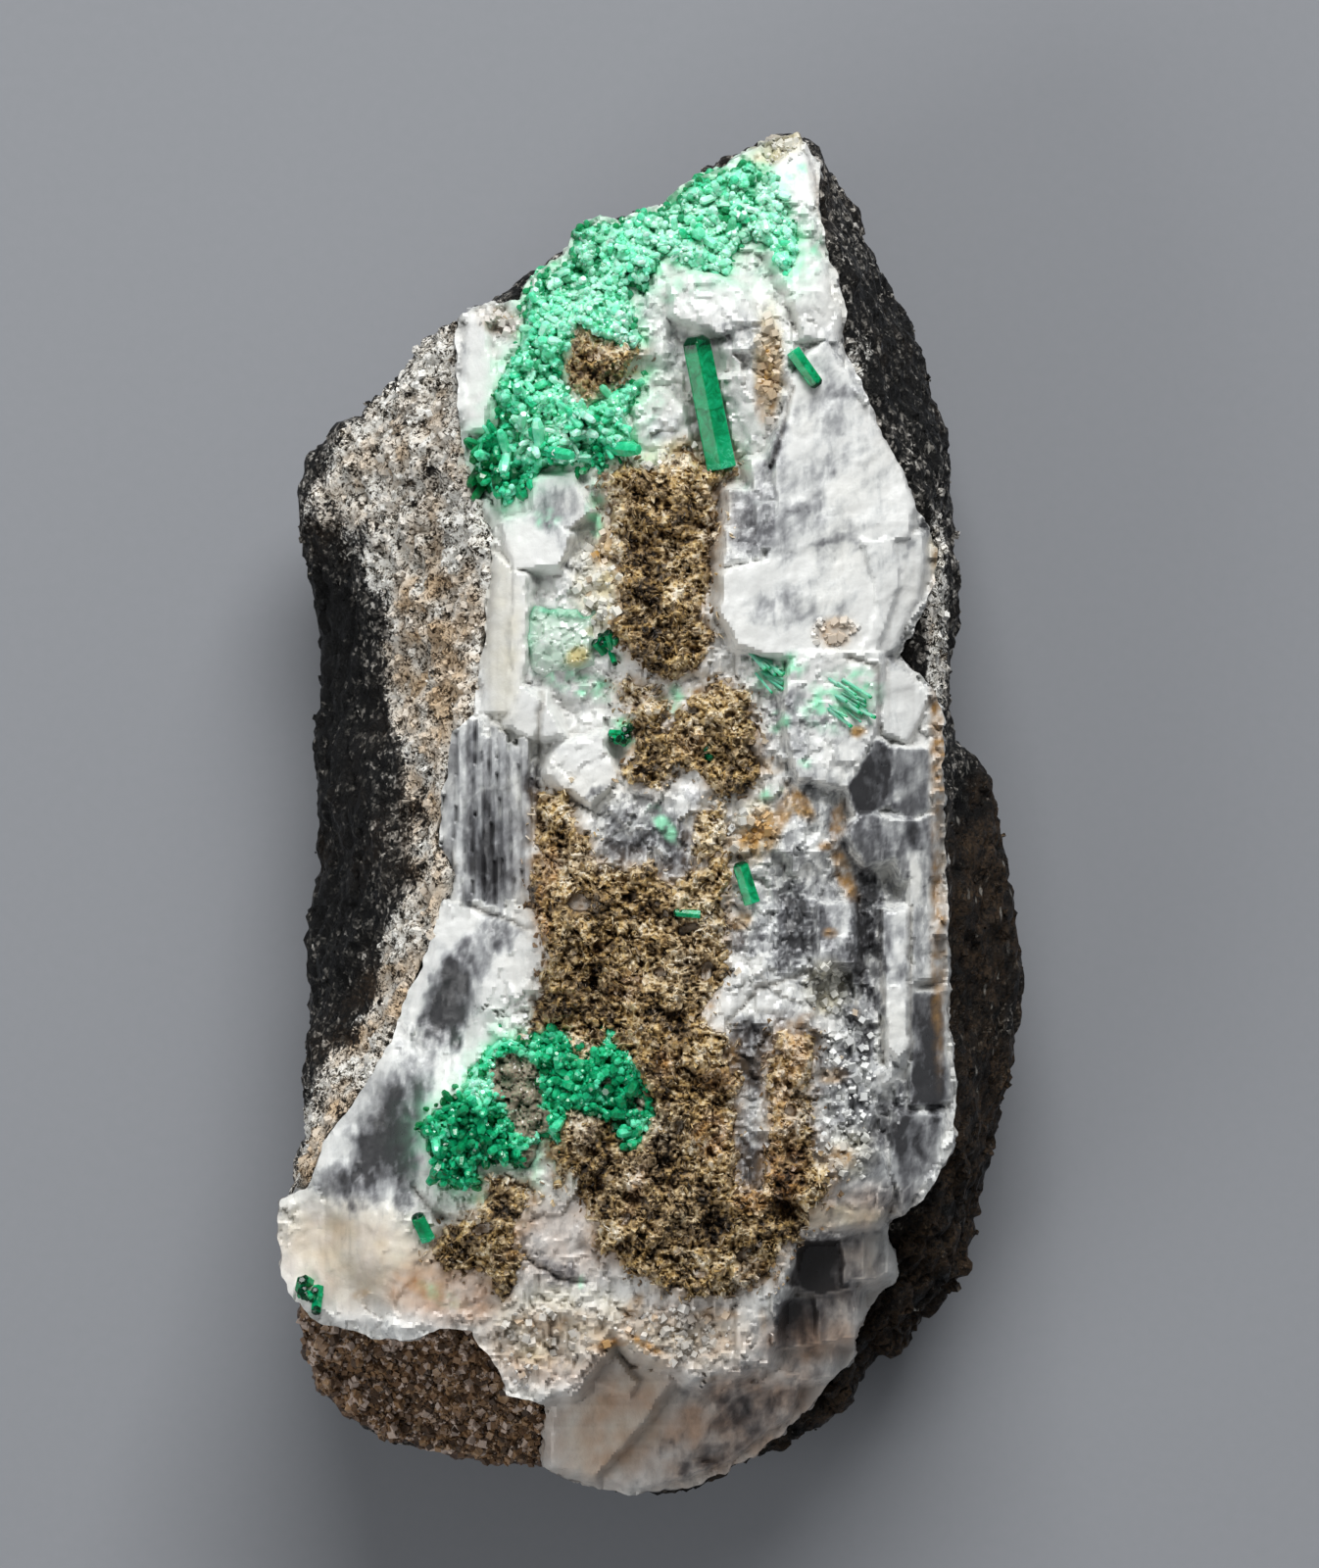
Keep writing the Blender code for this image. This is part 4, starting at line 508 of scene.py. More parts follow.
def relief(name, spacing, edge, depth, height, floor, step=0.8, swing=0.25):
    """A closed piece of rock where depth is above 0, with a face at height, a back at floor and rough sides.

    Returns the object, the points of its face, and for each corner of the mesh the point that it comes from.
    """
    xs, ys = [p[0] for p in edge], [p[1] for p in edge]
    across, up = (int((max(v) - min(v) + 4) / spacing) + 2 for v in (xs, ys))
    columns, lines = np.meshgrid(np.arange(across), np.arange(up))
    flat = np.stack((min(xs) - 2 + columns.ravel() * spacing, min(ys) - 2 + lines.ravel() * spacing), 1)
    sunk = depth(flat).reshape(up, across)
    kept = sunk[:-1, :-1] + sunk[1:, :-1] + sunk[:-1, 1:] + sunk[1:, 1:] > 0
    kept[0], kept[-1], kept[:, 0], kept[:, -1] = False, False, False, False
    for _ in range(3):
        open_air, more = np.zeros_like(kept), 1
        open_air[0] = True
        while more:  # the air outside, so that what it doesn't reach is filled
            spread = open_air.copy()
            for axis in (0, 1):
                for way in (-1, 1):
                    spread |= np.roll(spread, way, axis)
            spread &= ~kept
            more = (spread & ~open_air).sum()
            open_air |= spread
        kept = ~open_air
        a, b, c, d = kept[:-1, :-1], kept[:-1, 1:], kept[1:, :-1], kept[1:, 1:]
        lone = (a & d & ~b & ~c) | (b & c & ~a & ~d)
        a &= ~lone
        b &= ~lone
    rows_at, columns_at = np.nonzero(kept)
    corner = rows_at * across + columns_at
    squares = np.stack((corner, corner + 1, corner + across + 1, corner + across), 1)
    used, squares = np.unique(squares, return_inverse=True)
    squares, points = squares.reshape(-1, 4), flat[used]
    starts, ends = squares.ravel(), np.roll(squares, -1, 1).ravel()
    pairs = set(zip(starts.tolist(), ends.tolist()))
    after = {a: b for a, b in pairs if (b, a) not in pairs}
    rim = np.array(sorted(after))
    h = 0.1
    for _ in range(2):
        here = points[rim]
        now = depth(here)
        slope = np.stack((depth(here + (h, 0)) - depth(here - (h, 0)), depth(here + (0, h)) - depth(here - (0, h))), 1) / (2 * h)
        push = -now[:, None] * slope / np.maximum((slope**2).sum(1), 0.2)[:, None]
        far = np.maximum(np.hypot(*push.T), 1e-9)
        points[rim] = here + push * np.minimum(1, 0.7 * spacing / far)[:, None]
    tops = height(points)
    places = [np.column_stack((points, tops))]
    faces, source, total = squares.tolist(), [np.arange(len(points))], len(points)
    while after:
        first, here = next(iter(after.items()))
        loop = [first]
        del after[first]
        while here != first:
            loop.append(here)
            here = after.pop(here)
        loop = np.array(loop)
        around, low = points[loop], floor(points[loop])
        rows = max(1, math.ceil(float(np.mean(tops[loop] - low)) / step))
        side = np.roll(around, -1, 0) - np.roll(around, 1, 0)
        out = np.stack((side[:, 1], -side[:, 0]), 1) / np.maximum(np.hypot(*side.T), 1e-9)[:, None]
        above = loop
        for row in range(1, rows + 1):
            share = row / rows
            level = tops[loop] + (low - tops[loop]) * share
            bulge = swing * mottle(np.column_stack((around, level)), 2.6, 17, 4, 0.7)
            places.append(np.column_stack((around + out * (bulge * min(1.0, 2 * share))[:, None], level)))
            below = total + np.arange(len(loop))
            total += len(loop)
            faces += np.stack((np.roll(above, -1), above, below, np.roll(below, -1)), 1).tolist()
            source.append(loop)
            above = below
        faces.append(above[::-1].tolist())
    mesh = bpy.data.meshes.new(name)
    mesh.from_pydata((np.concatenate(places) * MM).tolist(), [], faces)
    made = bpy.data.objects.new(name, mesh)
    bpy.context.scene.collection.objects.link(made)
    made.select_set(True)
    bpy.context.view_layer.objects.active = made
    bpy.ops.object.shade_smooth_by_angle(angle=math.radians(32))
    made.select_set(False)
    return made, points, np.concatenate(source)


def read(obj, what="co"):
    """The corners of a mesh, or their normals, in mm."""
    found = np.empty(len(obj.data.vertices) * 3, np.float32)
    if what == "co":
        obj.data.vertices.foreach_get("co", found)
        return found.reshape(-1, 3).astype(float) / MM
    obj.data.vertex_normals.foreach_get("vector", found)
    return found.reshape(-1, 3).astype(float)


def mark(obj, **values):
    """Keeps a number for each corner of the mesh, for its material to read."""
    for name, value in values.items():
        kept = obj.data.attributes.new(name, "FLOAT", "POINT")
        kept.data.foreach_set("value", np.asarray(value, np.float32))


def with_sides(face, source, sides):
    """The values of a face's points, with others on the broken sides below it."""
    return np.where(np.arange(len(source)) < len(face), face[source], sides)


def hollows(points, tops, reach):
    """How far each point lies below the level of the face round it."""
    cells = np.floor(points / reach).astype(int)
    low = cells.min(0)
    size = cells.max(0) - low + 3
    sums, counts = np.zeros(size), np.zeros(size)
    np.add.at(sums, tuple((cells - low + 1).T), tops)
    np.add.at(counts, tuple((cells - low + 1).T), 1)
    sums = sum(np.roll(sums, (i, j), (0, 1)) for i in (-1, 0, 1) for j in (-1, 0, 1))
    counts = sum(np.roll(counts, (i, j), (0, 1)) for i in (-1, 0, 1) for j in (-1, 0, 1))
    return (sums / np.maximum(counts, 1))[tuple((cells - low + 1).T)] - tops


# Smoky grey, haze, white clouds, warm cream, brown stain, and a green tint where emerald grew close by.
SMOKE = (
    (-21, -18.0, 6.0, 2.2, 62, 0.95), (-21, -21.0, 3.4, 1.5, 60, 1.0), (-27.5, -33, 8.5, 2.8, 62, 0.95),
    (-26.2, -29.5, 3.4, 1.4, 75, 1.1), (-31, -37, 4, 2.3, 20, 0.7), (-25.4, -37, 4, 1.2, 90, 0.7),
    (10.5, 30, 4.5, 3.2, 70, 0.25),
    (21.6, -13, 8, 1.9, 90, 0.95), (24.5, -13, 4.2, 1.2, 90, 0.35), (27.9, -26, 10, 1.3, 88, 0.6),
    (25.6, -30, 5, 1.0, 80, 0.7), (14.4, -11, 5.0, 2.6, 80, 0.9), (8.6, -12.8, 2.6, 1.6, 0, 0.7),
    (9.6, -24, 4.0, 1.9, 95, 1.2), (9.5, -35, 2.6, 1.7, 90, 1.2), (-16.8, -4.4, 3.8, 2.2, 90, 0.55),
    (-18.6, 1.0, 6, 0.9, 100, 0.2), (-12.2, 3, 4, 1.2, 85, 0.75), (-6, 2.7, 1.8, 0.7, 30, 0.7),
    (-9.8, 32, 2.8, 2.4, 0, 0.35), (-18.8, 46, 6, 0.9, 88, 0.3), (16.5, 36, 7, 2.0, 70, 0.2), (11, 21, 5, 1.4, 30, 0.2), (18.7, 44, 3.5, 1.0, -60, 0.35), (15, 31.4, 2.6, 0.7, 12, 0.4),
    (18.4, 27.8, 2.6, 0.5, 5, 0.35), (27.3, 29, 2.6, 0.9, 65, 0.6), (2.6, -5, 2.4, 1.6, 0, 0.9),
    (16.0, -45.6, 2.6, 2.2, 80, 0.5), (13.4, -50.8, 2.2, 1.6, -20, 0.4), (15.2, -42.6, 3.4, 0.9, 0, 0.8),
    (9.8, -53, 2.8, 1.3, 90, 0.45), (8.0, -61.0, 3.4, 1.2, 42, 0.4), (0.0, -64.6, 3.0, 1.0, 15, 0.4), (13, -60, 5, 1.2, 35, 0.35),
    (6, -66.0, 5, 1.0, 30, 0.4), (-15.5, -11.5, 3.0, 2, 90, 0.6), (21.6, -8, 3, 1.4, 90, 0.7),
    (1.6, -2.0, 2.6, 1.8, 0, 0.8), (-3.6, 0.6, 2.0, 1.2, 0, 0.6), (5.6, -24, 1.2, 2.4, 0, 0.5),
    (22, -31, 5, 2.4, 80, 0.6), (20.5, -24, 3.4, 1.4, 60, 0.7), (-9.8, -46.4, 2.6, 1.4, 10, 0.55),
    (-18, -39.6, 3.2, 1.2, 0, 0.5), (14, 1.6, 3.5, 2, 80, 0.3), (13.2, 11.6, 2.4, 1.6, 60, 0.45), (-3.4, -3.6, 2, 1, 0, 0.6),
    (19, 53, 3, 1, 70, 0.3), (0.8, 40, 2.4, 1.6, 0, 0.45), (12.2, 38, 4, 0.9, 80, 0.55), (24.8, 15.4, 2.0, 0.9, -40, 0.5),
)
HAZE = (
    (19, -10, 20, 9, 88, 0.42), (14, -28, 14, 8, 88, 0.45), (-17, -2, 8, 3.4, 85, 0.2), (-1, -1, 6, 5, 0, 0.5),
    (-27, -32, 12, 5, 60, 0.4), (-20, -17, 9, 4, 62, 0.3), (18, 40, 9, 5, -60, 0.22), (16, 29, 9, 5, 0, 0.20),
    (16, 8, 7, 6, 0, 0.20), (-9, 31, 5, 4, 0, 0.25), (9, -61, 12, 7, 35, 0.12), (27.6, -24, 10, 2.6, 90, 0.3), (0, -1, 5, 4, 0, 0.3), (16, -48, 10, 7, 60, 0.2),
    (24, -35, 8, 4, 80, 0.4), (2, 50, 10, 4, 0, 0.15), (-8, -44, 10, 4, 0, 0.2), (12, 33, 4, 8, 0, 0.2), (15, 21.5, 7, 3, 10, 0.22),
)
WHITES = (
    (11, -18, 5, 1.6, 15, 0.5), (24.5, -20, 3.6, 0.9, 90, 0.6), (24.6, -12, 4, 1.0, 90, 0.2), (26.6, -5.6, 3, 0.7, 90, 0.5),
    (-7, 5.4, 4, 2.4, -10, 0.4), (-20, -10, 2.2, 2, 0, 0.4), (-15.4, -17, 4.6, 2.0, 75, 0.6), (-20, -27.5, 3.4, 1.2, -50, 0.4),
    (-31, -45, 9, 5, -20, 0.5), (-9, -53, 10, 5, 0, 0.7), (2, -52, 9, 5, 0, 0.7), (-14.5, -25, 3, 2, 0, 0.3), (24.6, 22, 6, 1.6, 70, 0.2), (-4, -61, 7, 6, 40, 0.6), (-14.6, -17.6, 5, 2.6, 80, 0.5), (26, 12, 4, 1.8, -60, 0.3), (-15.6, 18, 9, 1.6, 90, 0.4), (-13, 28, 3, 2, 0, 0.3),
    (24.6, 2.2, 1.2, 0.7, 30, 0.5), (20.8, 21, 5, 1.0, 60, 0.3), (-18, 46, 6, 1.0, 85, 0.3), (-4, -60, 5, 1.2, 50, 0.4),
    (21.6, -44.8, 3, 1.0, 80, 0.4), (15, 52, 5, 2.4, 60, 0.3), (9, -42, 3, 1, 0, 0.2),
)
GREENED = (
    (19, 12, 4.4, 3.0, 20, 0.9), (12.4, 14.6, 3.4, 1.6, 30, 0.8), (4.6, 8, 2.6, 2.6, 0, 0.8), (-8, 14, 5, 1.6, -20, 0.7),
    (-6, 31.5, 3.4, 1.0, 90, 0.9), (-11, 30.4, 1.6, 1.2, 0, 0.6), (14.4, 66, 1.4, 0.9, 30, 0.9), (2, 12, 2.2, 1.6, 0, 0.6),
    (0.8, -0.4, 2.6, 0.8, -55, 0.9), (-3, 8.8, 2.0, 1.6, 0, 0.8), (-7.4, 43.2, 3, 1, 0, 0.3), (12.6, 9.8, 1.2, 1.2, 0, 0.8),
    (16.4, 57, 2.2, 1.2, 70, 0.5), (-7.4, -47, 0.8, 0.4, 80, 0.8), (-22, -48.4, 2.4, 0.9, -30, 0.3), (9, 36, 1, 3, 0, 0.3),
    (11.8, 2.6, 1.4, 0.8, 30, 0.4), (15.4, 5.6, 1.0, 0.6, 0, 0.5), (-2, 43, 3, 4, 0, 0.5), (2, 54, 4, 2, 0, 0.4),
)
CREAM = (
    (-30, -44, 9, 6, -15, 0.5), (-10, -52, 9, 5, 5, 0.5), (2, -53, 8, 3.6, 0, 0.4), (-5, 24, 6, 3.6, 90, 0.8),
    (3, 36.4, 6, 2.6, 10, 0.9), (-15.5, 18, 9, 2.4, 90, 0.4), (11.6, 46.6, 6, 1.6, 90, 0.9), (-4, -62, 8, 5, 40, 0.3),
    (13, 68.6, 5, 1.4, 28, 0.9), (17.6, -17, 3.2, 2.4, 90, 0.8), (10.4, -1, 3, 2.6, 80, 0.7), (19, -40.4, 5, 1.6, 0, 0.6),
    (20, -34, 3, 3, 0, 0.5), (29, 27.5, 3.6, 1.2, 90, 0.7), (9, -3, 3, 2, 0, 0.4),
)
# Painted warm light reflected onto the white calcite round the blunt end: a pinkish tan.
ROSY = (
    (-31, -45, 9, 6, -10, 0.45), (-22, -48, 8, 4, -10, 0.9), (-9, -43, 9, 5, 0, 0.5), (-10, -54, 10, 5, 0, 0.55), (2, -53, 10, 5, 0, 0.5),
    (-4, -62, 9, 7, 40, 0.8), (-10, -54, 8, 4, 0, 0.4), (8, -62, 12, 6, 30, 0.9), (19, -47, 6, 5, 80, 0.5), (20, -40, 7, 3, 10, 0.5), (16, -53, 6, 4, 0, 0.9),
)
AMBER = (
    (10.6, -1.6, 3.4, 2.0, 60, 0.9), (14.6, 1.6, 2.6, 1.0, -50, 1.0), (12.8, 0.4, 2.0, 1.2, 60, 0.8), (-11.6, -5.0, 2.0, 0.9, 90, 0.9),
    (8.6, -10.4, 1.4, 1.0, 0, 0.8), (-4.6, -53.4, 2.2, 0.6, 10, 0.9), (-1.0, -53.4, 2.4, 0.5, -28, 0.9), (20.7, 8.8, 0.9, 0.7, 0, 1.0),
    (18.4, 18.8, 2.4, 1.8, 0, 0.3), (11.6, 46, 5, 1.4, 90, 0.5), (5.6, -0.8, 2, 1, 90, 0.6), (-10.4, 0.6, 2.4, 1.6, 0, 0.6),
    (-15, -42, 3, 1, 20, 0.5), (12, 5.4, 1.2, 1.0, 0, 0.5), (-5.4, 27.4, 1.2, 2.4, 0, 0.5), (6, 36, 2.6, 1, 0, 0.5),
    (17.8, -26, 1.6, 1, 0, 0.5), (-24.4, -47.4, 2.6, 0.8, -30, 0.5), (6.4, -50.4, 2.4, 0.8, 0, 0.5),
)
STAIN = (
    (-15.6, 50.6, 2.8, 1.6, -20, 0.6),     (-30, -48.5, 1.1, 0.5, 20, 0.8), (-9.4, -51.6, 1.1, 0.7, 60, 0.6), (-21.6, -48.4, 3.4, 1.6, -20, 0.45),
    (-2.2, -49.6, 2.0, 0.9, 50, 0.7), (3.6, -50.8, 1.3, 0.9, 0, 0.5), (11.4, 43.4, 4.2, 1.4, 90, 0.8), (12.3, -0.6, 2.4, 0.9, 70, 0.7),
    (18.2, 18.9, 2.2, 1.5, 0, 0.6), (28.9, 12, 20, 1.0, 90, 0.9), (29.0, -12, 14, 1.0, 90, 0.8),
    (20.6, 8.8, 0.9, 0.6, 0, 0.9), (17.8, -11.6, 0.9, 0.6, 0, 0.7), (18.4, -26.2, 1.4, 0.9, 0, 0.5),
    (10.2, -38.6, 2.0, 1.2, 0, 0.9), (18.8, -34.4, 2.0, 1.4, 0, 0.8), (18.6, -0.4, 2.4, 0.9, 80, 0.9),
    (19.3, -5.6, 3.4, 1.0, -70, 1.0), (17.4, -2.8, 1.0, 0.6, 0, 0.7), (15.0, 1.6, 1.6, 0.8, -50, 0.8), (14.6, -20.5, 2, 0.8, 20, 0.5), (-7.4, 49.6, 5.4, 0.7, 62, 0.9),
    (19, 57, 10, 1.0, -72, 0.5), (11, -51, 1.6, 0.5, 90, 0.4), (6, -57, 1.6, 0.5, 20, 0.5),
)

# Where calcite looks through the brown crusts.
BARE = (
    (-7.6, -8.6, 1.6, 1.3, 20, 1.0), (3.4, -11.2, 1.4, 0.8, 0, 0.9), (-2.6, -8.0, 1.2, 0.6, 10, 0.8), (5.4, -15.4, 1.4, 1.0, 60, 0.9),
    (6.8, -20.6, 1.6, 1.2, 20, 1.0), (-5.8, -15.2, 0.9, 0.6, 0, 0.7), (0.6, -15.6, 1.0, 0.7, 0, 0.7), (2.4, -31.2, 1.2, 0.7, 80, 0.6),
    (9.2, -44.2, 1.2, 1.0, 0, 0.8), (-3.2, -40.6, 1.2, 0.8, 30, 0.7), (4.6, -46.2, 1.2, 0.7, 0, 0.7), (13.8, -29.6, 0.9, 0.9, 0, 0.7),
    (3.8, 11.0, 1.0, 0.7, 0, 0.7), (-2.2, 10.2, 0.8, 0.6, 0, 0.7), (7.6, 10.4, 1.0, 0.6, 40, 0.6), (-9.4, -1.2, 1.2, 0.8, 60, 0.8),
    (-17.4, -41.6, 1.4, 0.8, 20, 0.8), (6.2, -3.0, 1.2, 0.6, 90, 0.7), (4.8, -38.6, 1.0, 0.6, 0, 0.6), (-4.6, 21.8, 0.8, 1.2, 0, 0.6),
)

# Pieces that grew in hollows of the vein: the outlines of each.
GROWTHS = {
    "emerald_druse_top": (
        (10.0, 67.4), (12.4, 65.6), (13.4, 63.0), (15.0, 59.8), (15.2, 57.0), (14.0, 54.2), (11.6, 55.6),
        (11.8, 58.0), (9.0, 58.8), (7.8, 57.0), (8.0, 54.6), (6.0, 54.8), (1.0, 56.8), (-1.0, 53.4),
        (-2.5, 54.0), (-1.0, 48.6), (-2.6, 47.2), (-5.0, 48.0), (-7.4, 49.6), (-8.9, 47.0), (-8.7, 43.4),
        (-7.0, 42.0), (-0.2, 46.0), (-2.3, 41.0), (-2.0, 38.6), (-0.8, 36.6), (-3.6, 36.8), (-5.0, 35.4),
        (-8.0, 36.0), (-11.5, 35.2), (-13.5, 32.5), (-15.4, 31.4), (-17.4, 33.4), (-18.7, 36.4),
        (-18.4, 38.6), (-16.8, 40.2), (-15.5, 46.0), (-13.9, 48.4), (-13.5, 52.8), (-12.0, 55.4),
        (-8.8, 57.4), (-7.8, 59.8), (-5.4, 61.2), (-3.6, 60.6), (1.0, 62.8), (4.0, 65.2), (7.0, 66.2),
    ),
    "emerald_druse_lower": (
        (-24.0, -31.4), (-22.4, -28.8), (-20.0, -28.0), (-19.5, -26.0), (-17.4, -23.8), (-16.0, -21.6),
        (-13.2, -22.2), (-10.5, -20.2), (-8.4, -21.6), (-7.4, -24.2), (-6.1, -23.0), (-5.0, -19.8),
        (-3.4, -22.0), (-0.9, -25.0), (1.0, -29.8), (-1.2, -33.6), (-3.2, -34.4), (-5.8, -30.8),
        (-8.4, -30.2), (-9.4, -35.4), (-11.2, -32.4), (-12.4, -36.2), (-15.4, -35.0), (-17.6, -35.6),
        (-17.2, -38.0), (-20.2, -38.0), (-22.4, -36.2),
    ),
    "pale_beryl_crystal": (
        (-13.3, 20.6), (-12.4, 21.9), (-6.2, 20.9), (-5.9, 18.2), (-6.2, 15.6), (-9.6, 14.9),
        (-11.4, 14.2), (-12.7, 15.0), (-13.3, 17.6),
    ),
    "brown_crust_top": (
        (-9.0, 46.0), (-8.2, 49.2), (-6.4, 50.2), (-5.0, 48.6), (-2.8, 48.8), (-1.0, 47.6), (-1.4, 45.8), (-4.6, 43.6),
        (-7.4, 41.8), (-8.7, 43.4),
    ),
    "brown_crust_upper": (
        (-5.6, 34.8), (-3.0, 36.0), (0.2, 35.2), (3.0, 38.0), (5.2, 35.6), (8.2, 35.2), (6.6, 33.6),
        (6.6, 29.6), (5.8, 25.6), (5.0, 21.6), (5.6, 17.6), (4.4, 15.2), (1.8, 13.9), (-2.2, 16.0),
        (-4.0, 18.4), (-3.6, 23.6), (-4.6, 29.0),
    ),
    "brown_crust_middle": (
        (-3.8, 13.6), (-1.6, 14.2), (0.8, 12.6), (1.4, 9.2), (3.4, 12.6), (6.8, 14.2), (9.6, 12.2),
        (10.7, 8.0), (10.7, 4.6), (9.0, 2.4), (5.8, 2.8), (4.6, 5.6), (2.6, 5.0), (0.2, 2.8),
        (-3.0, 4.4), (-2.4, 8.6),
    ),
    "brown_crust_lower": (
        (-11.6, 2.2), (-9.0, 2.6), (-7.6, -1.4), (-4.8, -5.2), (-1.0, -4.8), (2.2, -6.8), (4.2, -5.4),
        (4.6, 0.2), (7.2, 0.6), (7.8, -4.0), (7.4, -12.4), (6.2, -16.4), (5.4, -21.0), (7.6, -22.2),
        (8.6, -27.0), (8.0, -32.0), (8.4, -37.0), (10.8, -37.8), (11.6, -33.0), (11.4, -24.6), (12.6, -21.2), (16.4, -22.0), (15.6, -28.6),
        (16.4, -34.0), (18.6, -36.4), (15.8, -40.2), (13.4, -43.6), (12.4, -46.6), (7.6, -48.4),
        (1.0, -48.0), (-6.2, -43.0), (-6.6, -38.4), (-8.6, -35.4), (-9.6, -37.4), (-11.0, -33.8),
        (-12.2, -20.0), (-11.0, -14.0), (-12.6, -9.0),
    ),
    "brown_crust_left": (
        (-22.2, -42.8), (-18.2, -39.6), (-16.8, -36.6), (-12.6, -36.9), (-11.8, -38.8), (-14.0, -41.4),
        (-13.8, -44.4), (-15.0, -48.8), (-17.8, -46.4), (-21.2, -45.8), (-23.2, -44.2),
    ),
}


def growth_depth(points, name):
    """How far inside the ragged edge of a crust or druse each point is."""
    brown = name.startswith("brown")
    ragged = (1.0 if brown else 0.6) * (0.9 * mottle(points, 2.8, 40, 3, 0.6) + 0.3 * mottle(points, 0.9, 44))
    depth = depth_in(points, GROWTHS[name]) + ragged
    if brown:
        bare = spots(points, BARE) * (1 + 0.7 * mottle(points, 1.4, 45, 3))
        depth = np.minimum(depth + 0.4, 2.4 - 3.0 * bare)
        depth = np.minimum(depth, 1.6 - depth_in(points, GROWTHS["emerald_druse_lower"]))
    return depth


def vein_depth(points):
    ragged = 0.40 * mottle(points, 3.4, 50, 2) + 0.18 * mottle(points, 1.0, 53)
    return np.maximum(depth_in(points, VEIN_EDGE), depth_in(points, LOWER_EDGE)) + 0.4 + ragged


def lower_face(points):
    """The face of the lower layer, and how calm it is."""
    small, _, tone, _ = cleaved(points, 1.3, 61, 0.10, 0.30)
    calm = np.full(len(points), 0.4)
    height = 45.2 + 0.33 * points[:, 1] - 0.13 * np.maximum(points[:, 0], 0) + 0.4 * mottle(points, 6, 62, 3)
    height, smoky, rims = laid(points, height + 0.5 * small, LOWER_PLATES, 0.4 * small, calm)
    return height + 0.08 * mottle(points, 1.6, 63, 3), calm, tone, smoky, rims


def vein_height(points):
    upper, calm, bright, tone, cracked, sugary, lean, smoky = vein_face(points)
    lower, lower_calm, lower_tone, lower_smoky, rims = lower_face(points)
    inside_upper = depth_in(points, VEIN_EDGE) + 0.35 * mottle(points, 2.4, 64, 3)
    ledge = upper - 0.5 * (1 - ease(inside_upper, -0.3, 0.9))
    below = np.maximum(lower, ledge + 5.0 * np.minimum(inside_upper + 0.2, 0))
    in_lower = depth_in(points, LOWER_EDGE) > -1.7
    height = np.where(in_lower & (inside_upper < -0.2), below, ledge)
    mix = np.where(in_lower, ease(inside_upper, -0.8, -0.2), 1.0)
    blend = lambda a, b: mix * a + (1 - mix) * b
    return (
        height, blend(calm, lower_calm), blend(bright, 0.8 * rims), blend(tone, 0.3 * lower_tone + 0.35), mix * cracked,
        mix * sugary, lean, blend(smoky, lower_smoky),
    )


def vein_top(points):
    """The height that shows, a little lower under the crusts."""
    height = vein_height(points)[0]
    for name in GROWTHS:
        low, high = (0.6, 2.2) if name.startswith("brown") else (0.1, 1.2)
        height = height - 1.6 * ease(growth_depth(points, name), low, high)
    return height


def vein_back(points):
    return np.where(depth_in(points, VEIN_EDGE) > -0.8, 25.0 + 0.03 * points[:, 1], 31.0 + 0.20 * points[:, 1])


def rhomb():
    """A lopsided cleavage block of radius 1 and length 1, as corners and faces."""
    corners = [(x + 0.25 * z, y + 0.2 * z, z) for z in (0, 1) for x, y in ((-0.8, -0.6), (0.7, -0.8), (0.9, 0.6), (-0.6, 0.8))]
    faces = [(0, 3, 2, 1), (4, 5, 6, 7)] + [(s, (s + 1) % 4, 4 + (s + 1) % 4, 4 + s) for s in range(4)]
    return np.array(corners), faces


def grown_over(name, feet, leans, lengths, radii, spins, shape):
    """Copies of one small crystal in one mesh, each standing on its foot. Returns it and whose each corner is."""
    corners, faces = shape
    up = leans / np.linalg.norm(leans, axis=1)[:, None]
    side = np.cross(up, np.where(np.abs(up[:, :1]) < 0.9, (1.0, 0.0, 0.0), (0.0, 1.0, 0.0)))
    side /= np.linalg.norm(side, axis=1)[:, None]
    fore = np.cross(up, side)
    turned = side * np.cos(spins)[:, None] + fore * np.sin(spins)[:, None]
    other = np.cross(up, turned)
    placed = (
        feet[:, None] + (turned[:, None] * corners[None, :, :1] + other[:, None] * corners[None, :, 1:2]) * radii[:, None, None]
        + up[:, None] * corners[None, :, 2:] * lengths[:, None, None]
    )
    count = len(corners)
    every = [tuple(turn * count + i for i in face) for turn in range(len(feet)) for face in faces]
    mesh = bpy.data.meshes.new(name)
    mesh.from_pydata((placed.reshape(-1, 3) * MM).tolist(), [], every)
    made = bpy.data.objects.new(name, mesh)
    bpy.context.scene.collection.objects.link(made)
    return made, np.repeat(np.arange(len(feet)), count)


vein, points, source = relief("calcite_vein_rock", GRID, VEIN_EDGE + LOWER_EDGE, vein_depth, vein_top, vein_back, swing=0.5)
tops, calm, bright, tone, cracked, sugary, lean, smoky = vein_height(points)
brown_near = np.max([depth_in(points, GROWTHS[n]) for n in GROWTHS if n.startswith("brown")], 0)
green_near = np.max([depth_in(points, GROWTHS[n]) for n in GROWTHS if n.startswith("emerald")], 0)
streak = veils(points, np.radians(12), 1.3, 3.2, 70)
drifted = points + 1.1 * np.stack((mottle(points, 4, 65, 4, 0.6), mottle(points, 4, 66, 4, 0.6)), 1)
smoke = spots(drifted, SMOKE) * (0.82 + 0.42 * streak + 0.30 * mottle(points, 1.6, 78, 3)) + spots(points, HAZE) * (0.9 + 0.5 * streak)
smoke += smoky * (1 + 0.35 * mottle(points, 2.2, 60, 4, 0.6) + 0.3 * streak) + 0.75 * (tone - 0.5) + 0.13 * mottle(points, 5, 71, 3) - spots(points, WHITES)
feather = veils(points, np.radians(-56), 1.7, 3.0, 67, 5)
smoke += (0.06 + 0.16 * ease(points[:, 0], 2, 8) * ease(points[:, 1], 8, 16)) * feather
